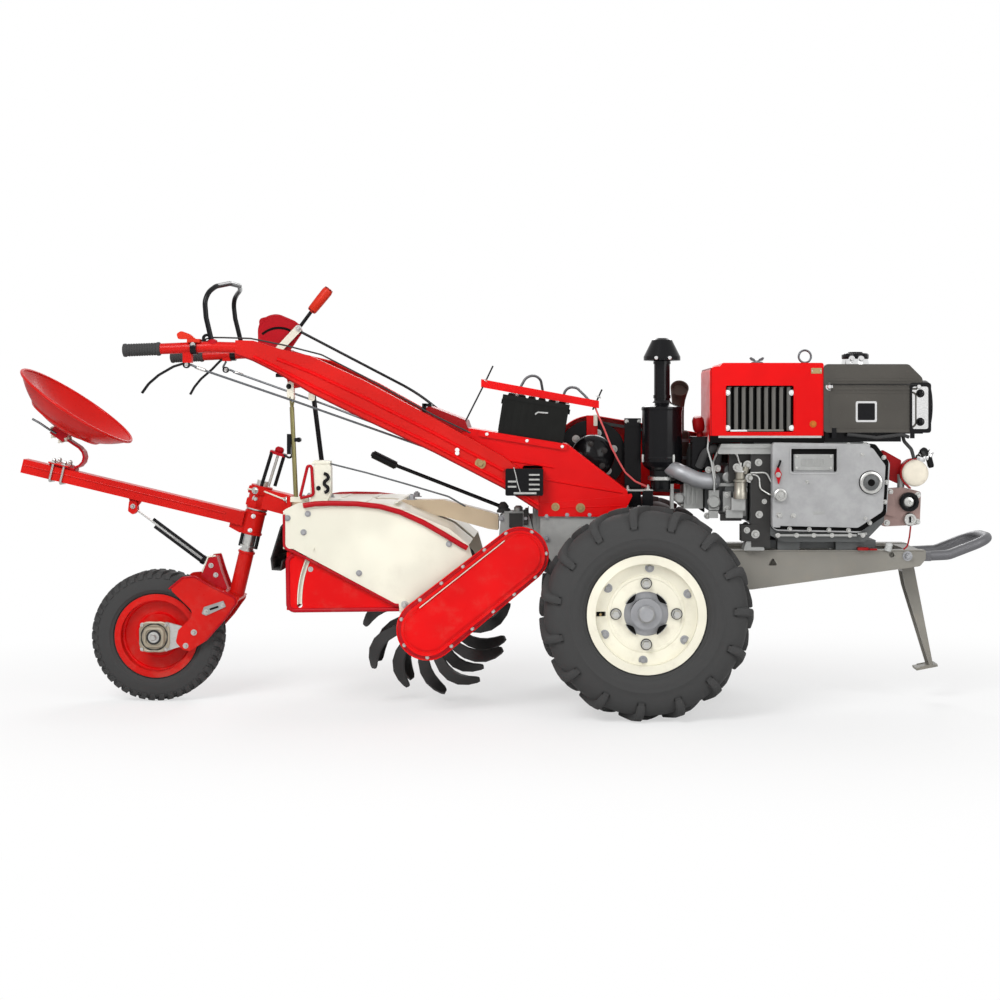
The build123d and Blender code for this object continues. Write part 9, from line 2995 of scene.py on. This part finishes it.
    def pan(self, kit: Kit) -> None:
        """Rolled ring and bolts of the pan.

        Args:
            kit: the maker that names, dresses and attaches pieces.
        """
        turn = Matrix.Translation(Vector((self.rim[0], 0,
                                          self.rim[1]))) @ Matrix.Rotation(math.radians(self.tilt), 4, "Y")
        ring = Form()
        for radius, drop in ((0.120, 0.0615),):
            ring.lathe([(radius - 0.006, -drop - 0.0035), (radius, -drop + 0.0020),
                        (radius + 0.006, -drop + 0.0022), (radius + 0.001, -drop - 0.005)],
                       turn, 64, closed=True)
        kit.piece(ring.mesh("pan_ring", smooth=60), Look.ARM_RED, "sulky")
        rows = [(turn @ Vector((x, y, -0.0858)), tuple(turn.to_3x3() @ Vector((0, 0, 1))), 0.016)
                for x in (-0.020, 0.020) for y in (-0.020, 0.020)]
        kit.bolts("pan_bolts", rows, Look.ZINC, "sulky", Sides=24, Rise=0.22, Washer=0.7)

    def build(self, kit: Kit) -> None:
        """Builds the seat's fittings.

        Args:
            kit: the maker that names, dresses and attaches pieces.
        """
        self.spring(kit)
        self.clamps(kit)
        self.pan(kit)


# --------------------------------------------------------------------------- drive, far side and underside
@dataclass
class Drive:
    """Fittings of the transmission, belt guard, silencer, sump and frame."""

    axle: Point = (0.433, 0.318)

    def transmission(self, kit: Kit) -> None:
        """Cover bolts, final drive rings and cover plates, and plugs.

        Args:
            kit: the maker that names, dresses and attaches pieces.
        """
        rows = []
        for sign in (-1, 1):
            rows += [((x, sign * 0.095, z), (0, sign, 0), 0.015)
                     for x, z in ((0.136, 0.590), (0.200, 0.594), (0.270, 0.594), (0.345, 0.594),
                                  (0.420, 0.590),
                                                                               (0.136, 0.520),
                                                                                   (0.180, 0.440),
                                                                                       (0.228, 0.360),
                                                                                           (0.290, 0.292))]
            rows += [(p, (0, sign, 0), 0.017)
                     for p in circle((self.axle[0], sign * 0.128, self.axle[1]), 0.104, 10, 18)]
            rows += [(p, (0, sign, 0), 0.014)
                     for p in circle((self.axle[0], sign * 0.140, self.axle[1]), 0.058, 6, 0)]
        rows += [((0.104, y, z), (-1, 0, 0), 0.015) for y in (-0.040, 0.040) for z in (0.525, 0.605)]
        kit.bolts("transmission_bolts", rows, Look.IRON, "chassis")
        covers = Form()
        for sign in (-1, 1):
            covers.lathe([(0.085, 0.0), (0.116, 0.0), (0.116, 0.004), (0.112, 0.006), (0.089, 0.006),
                          (0.085, 0.003)],
                         toward((0, sign, 0), (self.axle[0], sign * 0.1275, self.axle[1])), 56, closed=True)
            covers.press(rounded([(0.236, 0.470), (0.236, 0.560), (0.352, 0.560), (0.352, 0.470)], 0.012),
                         sign * 0.0945, sign * 0.1000, bevel=0.0015)
        kit.piece(covers.mesh("drive_covers"), Look.CASE, "chassis")
        plugs = [((0.443, 0.0, 0.248), (0, 0, -1), 0.026), ((0.380, 0.050, 0.248), (0, 0, -1), 0.016),
                 ((0.505, -0.040, 0.248), (0, 0, -1), 0.016)]
        plugs += [((x, s * 0.100, z), (0, s, 0), 0.012) for s in (-1, 1) for x in (0.246, 0.342)
                  for z in (0.480, 0.550)]
        kit.bolts("drain_plugs", plugs, Look.ZINC, "chassis")

    def guard(self, kit: Kit) -> None:
        """Bolts and pressed ribs of the belt guard, and the clutch cover in its window.

        Args:
            kit: the maker that names, dresses and attaches pieces.
        """
        rows = [(p, (0, 1, 0), 0.013) for p in circle((CLUTCH_X, 0.238, CLUTCH_Z), 0.100, 7, 75)]
        rows += [(p, (0, 1, 0), 0.013) for p in circle((1.010, 0.238, 0.700), 0.062, 5, -90)]
        kit.bolts("guard_bolts", rows, Look.ZINC, "chassis")
        ring = Form().lathe([(0.068, -0.001), (0.0755, -0.001), (0.0755, 0.0015), (0.0735, 0.003),
                             (0.070, 0.003), (0.068, 0.001)],
                            toward((0, 1, 0), (CLUTCH_X, 0.238, CLUTCH_Z)), 56, closed=True)
        for outer, inner in (([(0.420, 0.762), (0.860, 0.718), (0.866, 0.734), (0.420, 0.800)],
                              [(0.428, 0.7695), (0.852, 0.7265), (0.855, 0.7290), (0.428, 0.7915)]),
                             ([(0.420, 0.700), (0.860, 0.672), (0.866, 0.688), (0.420, 0.738)],
                              [(0.428, 0.7075), (0.852, 0.6805), (0.855, 0.6830), (0.428, 0.7295)])):
            ring_press(ring, rounded(outer, 0.008), rounded(inner, 0.004), 0.2372, 0.2402)
        kit.piece(ring.mesh("guard_ribs"), Look.RED, "chassis")
        cover = Form().lathe([(0.0, 0.0), (0.026, 0.0), (0.040, -0.004), (0.052, -0.006), (0.062, -0.006),
                              (0.062, -0.010), (0.0, -0.010)],
                             toward((0, 1, 0), (CLUTCH_X, 0.2365, CLUTCH_Z)), 48)
        kit.piece(cover.mesh("clutch_cover", smooth=40), Look.DARK_METAL, "chassis")
        kit.bolts("clutch_cover_bolts",
                  [(p, (0, 1, 0), 0.012) for p in circle((CLUTCH_X, 0.2308, CLUTCH_Z), 0.050, 6, 0)] +
                  [((CLUTCH_X, 0.2365, CLUTCH_Z), (0, 1, 0), 0.024)], Look.ZINC, "chassis")
        near = Form().lathe([(0.036, 0.0), (0.060, 0.004), (0.086, 0.004), (0.098, 0.0), (0.098, 0.006),
                             (0.036, 0.006)],
                            toward((0, -1, 0), (CLUTCH_X, 0.1765, CLUTCH_Z)), 56, closed=True)
        kit.piece(near.mesh("pulley_face", smooth=50), Look.BLACK, "chassis")
        kit.bolts("pulley_bolts", [(p, (0, -1, 0), 0.016)
                                   for p in circle((CLUTCH_X, 0.1700, CLUTCH_Z), 0.074, 6, 15)], Look.ZINC,
                                   "chassis")
        holder = Form().slab((0.288, 0.118, 0.870), (0.300, 0.150, 0.906), 0.003)
        kit.piece(holder.mesh("guard_clip"), Look.CREAM, "chassis")

    def silencer(self, kit: Kit) -> None:
        """Silencer with bands and a tall slanted outlet, in place of the plain one.

        Args:
            kit: the maker that names, dresses and attaches pieces.
        """
        x, y = 0.559, 0.062
        place = Matrix.Translation(Vector((x, y, 0.0)))
        drum = Form().lathe([(0.0, 0.736), (0.028, 0.736), (0.0345, 0.742), (0.036, 0.748), (0.0345, 0.756),
                             (0.0345, 0.836), (0.036, 0.844),
                             (0.0345, 0.850), (0.028, 0.856), (0.0, 0.856)], place, 48)
        kit.piece(drum.mesh("silencer_drum", smooth=44), Look.SOOT, "chassis", ["exhaust_muffler"])
        pipes = [[(0.7075, y, 0.7515), (0.7075, y, 0.796), (0.590, y, 0.796)]]
        kit.rods("exhaust_pipe", pipes, 0.017, Look.SOOT, "chassis", bend=0.026, sides=24)
        outlet = Form()
        # (x, y, z, lean toward the near side in degrees, half width, half height)
        line = ((x, y, 0.852, 0, 0.019, 0.019), (x, y, 0.900, 0, 0.019, 0.019),
                (x, y, 0.930, 6, 0.0195, 0.0195), (x + 0.001, y - 0.003, 0.954, 18, 0.022, 0.022),
                (x + 0.002, y - 0.011, 0.974, 34, 0.026, 0.026),
                (x + 0.003, y - 0.024, 0.990, 50, 0.0290, 0.0300),
                (x + 0.003, y - 0.027, 0.9925, 52, 0.0295, 0.0310))
        rows = []
        for px, py, pz, lean, wide, tall in line:
            up = Vector((0, math.cos(math.radians(lean)), math.sin(math.radians(lean))))
            rows.append([(px + wide * math.cos(t), py + up.y * tall * math.sin(t),
                          pz + up.z * tall * math.sin(t)) for t in [math.tau * i / 28 for i in range(28)]])
        last = rows[-1]
        centre = sum((Vector(p) for p in last), Vector()) / len(last)
        rows.append([tuple(centre + (Vector(p) - centre) * 0.88) for p in last])
        rows.append([tuple(centre + (Vector(p) - centre) * 0.80 + Vector((0, 0.012, -0.010)))
                     for p in last])
        outlet.skin(rows, loop=True).ends(rows[0], rows[-1])
        kit.piece(outlet.mesh("exhaust_outlet", smooth=50), Look.SOOT, "chassis")
        bands = Form()
        for z in (0.768, 0.824):
            bands.lathe([(0.0340, z - 0.005), (0.0362, z - 0.005), (0.0362, z + 0.005),
                         (0.0340, z + 0.005)], place, 44, closed=True)
        bands.slab((0.594, y - 0.022, 0.778), (0.602, y + 0.022, 0.814), 0.002)
        kit.piece(bands.mesh("silencer_bands"), Look.IRON, "chassis")
        cap = Form().lathe([(0.0, 0.0), (0.016, 0.0), (0.019, 0.008), (0.019, 0.034), (0.014, 0.046),
                            (0.0, 0.048)],
                           toward((-0.15, -0.3, 1), (0.618, -0.040, 0.856)), 32)
        cap.lathe([(0.0, 0.0), (0.010, 0.0), (0.010, 0.034), (0.0, 0.034)],
                  toward((0, 0, 1), (0.620, -0.038, 0.828)), 20)
        kit.piece(cap.mesh("breather_cap", smooth=44), Look.DARK_SHADE_RED, "chassis")
        # black block between the air cleaner and the head: painted shade
        mass = Form().slab((0.590, -0.110, 0.742), (0.654, -0.030, 0.838), 0.012)
        mass.slab((0.600, -0.030, 0.728), (0.640, 0.030, 0.790), 0.008)
        kit.piece(mass.mesh("shade_block"), Look.BLACK, "chassis")

    def frame(self, kit: Kit) -> None:
        """Bolts and edges of the rails, and the stand's pins.

        Args:
            kit: the maker that names, dresses and attaches pieces.
        """
        rows = [((x, s * 0.1502, z), (0, s, 0), 0.019) for s in (-1, 1)
                for x, z in ((0.606, 0.440), (0.606, 0.400), (0.660, 0.440), (1.252, 0.470))]
        kit.bolts("rail_bolts", rows, Look.IRON, "chassis", Stud=0.3)
        edges = [[(0.590, s * 0.1502, 0.4865), (1.300, s * 0.1502, 0.4865)] for s in (-1, 1)]
        kit.rods("rail_edges", edges, 0.0024, Look.RAIL_GREY, "chassis", bend=0.001)
        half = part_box("front_stand")[1][1]
        pin = [((1.277, s * (half + 0.001), 0.436), (0, s, 0), 0.018) for s in (-1, 1)]
        kit.bolts("stand_pins", pin, Look.ZINC, "stand")

    def engine_left(self, kit: Kit) -> None:
        """Ribs, bolts and covers on the crankcase's far side and sump.

        Args:
            kit: the maker that names, dresses and attaches pieces.
        """
        y = 0.128
        form = Form()
        for x in (0.800, 0.836, 1.130, 1.158):
            form.slab((x - 0.003, y - 0.001, 0.530), (x + 0.003, y + 0.006, 0.810), 0.0015)
        form.slab((0.780, -0.120, 0.4905), (1.160, 0.080, 0.5165), 0.006)
        kit.piece(form.mesh("crankcase_ribs"), Look.ENGINE, "chassis")
        rows = [((x, y, z), (0, 1, 0), 0.014)
                for x, z in ((0.785, 0.545), (0.785, 0.795), (1.145, 0.545), (1.145, 0.795), (0.818, 0.800),
                             (0.818, 0.540))]
        rows += [((0.970, 0.0, 0.4905), (0, 0, -1), 0.024)]
        rows += [((x, yy, 0.4905), (0, 0, -1), 0.010) for x in (0.800, 0.920, 1.020, 1.140)
                 for yy in (-0.110, 0.070)]
        kit.bolts("crankcase_bolts", rows, Look.ZINC, "chassis")

    def build(self, kit: Kit) -> None:
        """Builds all of them.

        Args:
            kit: the maker that names, dresses and attaches pieces.
        """
        self.transmission(kit)
        self.guard(kit)
        self.silencer(kit)
        self.frame(kit)
        self.engine_left(kit)


# --------------------------------------------------------------------------- studio
@dataclass
class Studio:
    """Floor, world, lamps and camera."""

    eye: Point = (0.178, -5.0, 0.915)
    lens: float = 56.48
    aim: tuple[float, float] = (-0.060, -0.088)
    floor_colour: Colour = (0.90, 0.90, 0.90)
    floor_shadow: float = 0.55
    # (name, place, size, watts)
    lamps: tuple[Row, ...] = (
        ("key", (-1.8, -3.4, 3.6), 2.2, 150.0),
        ("fill", (3.2, -3.0, 2.0), 2.4, 60.0),
        ("rim", (0.6, 3.6, 3.2), 2.4, 100.0),
        ("front", (0.2, -5.2, 1.2), 2.0, 35.0),
    )

    def white(self, tree: bpy.types.NodeTree, plain: bpy.types.NodeSocket, lit: bpy.types.NodeSocket,
              mix: bpy.types.Node) -> None:
        """Shows lit to the camera, in mirrors and through glass, and plain to all else.

        Args:
            tree: the node tree.
            plain: the shade that all else sees.
            lit: the shade that the camera, mirrors and glass see.
            mix: the node that chooses between them.
        """
        path = tree.nodes.new("ShaderNodeLightPath")
        both = tree.nodes.new("ShaderNodeMath")
        both.operation = "MAXIMUM"
        more = tree.nodes.new("ShaderNodeMath")
        more.operation = "MAXIMUM"
        tree.links.new(path.outputs["Is Camera Ray"], both.inputs[0])
        tree.links.new(path.outputs["Is Glossy Ray"], both.inputs[1])
        tree.links.new(both.outputs[0], more.inputs[0])
        tree.links.new(path.outputs["Is Transmission Ray"], more.inputs[1])
        tree.links.new(more.outputs[0], mix.inputs[0])
        tree.links.new(plain, mix.inputs[1])
        tree.links.new(lit, mix.inputs[2])

    def world(self) -> None:
        """White background that lights the object only softly."""
        world = bpy.data.worlds.new("studio")
        bpy.context.scene.world = world
        world.use_nodes = True
        tree = world.node_tree
        tree.nodes.clear()
        soft = tree.nodes.new("ShaderNodeBackground")
        soft.inputs[0].default_value = (1.0, 1.0, 1.0, 1.0)
        soft.inputs[1].default_value = 0.30
        seen = tree.nodes.new("ShaderNodeBackground")
        seen.inputs[0].default_value = (1.0, 1.0, 1.0, 1.0)
        seen.inputs[1].default_value = 1.0
        mix = tree.nodes.new("ShaderNodeMixShader")
        output = tree.nodes.new("ShaderNodeOutputWorld")
        self.white(tree, soft.outputs[0], seen.outputs[0], mix)
        tree.links.new(mix.outputs[0], output.inputs[0])

    def floor_paint(self) -> bpy.types.Material:
        """Pale matt paint that turns to plain white away from the machine, so that only its shadow shows.

        Returns:
            The material.
        """
        g = Graph("floor_paint")
        x, y, _ = g.axes()
        away = ((x - 0.1) * 0.62) * ((x - 0.1) * 0.62) + y * y
        path = g.node("ShaderNodeLightPath", {}, {})
        seen = Val(g, path.outputs["Is Camera Ray"])
        share = (away.power(0.5).step(0.35, 1.9) * (1.0 - self.floor_shadow) + self.floor_shadow) * seen
        matt = g.node("ShaderNodeBsdfDiffuse", {}, {"Color": (*self.floor_colour, 1.0)})
        glow = g.node("ShaderNodeEmission", {}, {"Color": (1.0, 1.0, 1.0, 1.0), "Strength": 1.0})
        mix = g.node("ShaderNodeMixShader", {}, {0: share})
        g.tree.links.new(matt.outputs[0], mix.inputs[1])
        g.tree.links.new(glow.outputs[0], mix.inputs[2])
        output = g.node("ShaderNodeOutputMaterial", {}, {})
        g.tree.links.new(mix.outputs[0], output.inputs[0])
        return g.material

    def floor(self) -> None:
        """Large pale floor under the wheels."""
        mesh = bpy.data.meshes.new("floor")
        reach = 14.0
        corners = [(-reach, -reach, 0.0), (reach, -reach, 0.0), (reach, reach, 0.0), (-reach, reach, 0.0)]
        mesh.from_pydata(corners, [], [(0, 1, 2, 3)])
        obj = bpy.data.objects.new("floor", mesh)
        bpy.context.scene.collection.objects.link(obj)
        mesh.materials.append(self.floor_paint())
        obj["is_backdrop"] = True

    def lights(self) -> None:
        """Soft square lamps aimed at the machine's middle."""
        target = Vector((0.1, 0.0, 0.6))
        for name, place, size, watts in self.lamps:
            lamp = bpy.data.lights.new(name, "AREA")
            lamp.shape = "SQUARE"
            lamp.size = size
            lamp.energy = watts
            obj = bpy.data.objects.new(name, lamp)
            obj.location = place
            obj.rotation_euler = (target - Vector(place)).to_track_quat("-Z", "Y").to_euler()
            obj.visible_glossy = name != "front"
            bpy.context.scene.collection.objects.link(obj)

    def camera(self) -> None:
        """Camera square to the machine's right side, its frame shifted."""
        data = bpy.data.cameras.new("camera")
        data.sensor_width = 36.0
        data.lens = self.lens
        data.shift_x, data.shift_y = self.aim
        data.clip_end = 100.0
        obj = bpy.data.objects.new("camera", data)
        obj.location = self.eye
        obj.rotation_euler = (math.radians(90.0), 0.0, 0.0)
        bpy.context.scene.collection.objects.link(obj)
        bpy.context.scene.camera = obj

    def build(self) -> None:
        """Builds the whole studio."""
        bpy.context.scene.view_settings.view_transform = "Standard"
        self.world()
        self.floor()
        self.lights()
        self.camera()


def plain(box: Any) -> Any:
    """Turns vectors and nested sequences into plain lists of numbers.

    Args:
        box: a vector, a number or a sequence of them.

    Returns:
        The same as lists of numbers.
    """
    if isinstance(box, (int, float)):
        return float(box)
    return [plain(part) for part in box]


def main() -> None:
    """Builds the studio and dresses the machine."""
    logging.basicConfig(level=logging.INFO, format="%(message)s")
    Studio().build()
    dress_nodes()
    kit = Kit()
    parts = (MainWheel(-1), MainWheel(1), TailWheel(), GearCover(), Crankcase(), Cowl(), Tank(), Headlamp(),
             FuelFilter(),
             AirCleaner(), Console(), Battery(), Handlebar(), Tiller(), Tail(), Seat(), Drive())
    for part in parts:
        part.build(kit)
    {"cad": plain(CAD_BOX), "visual": plain(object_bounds())}


if __name__ == "__main__":
    main()
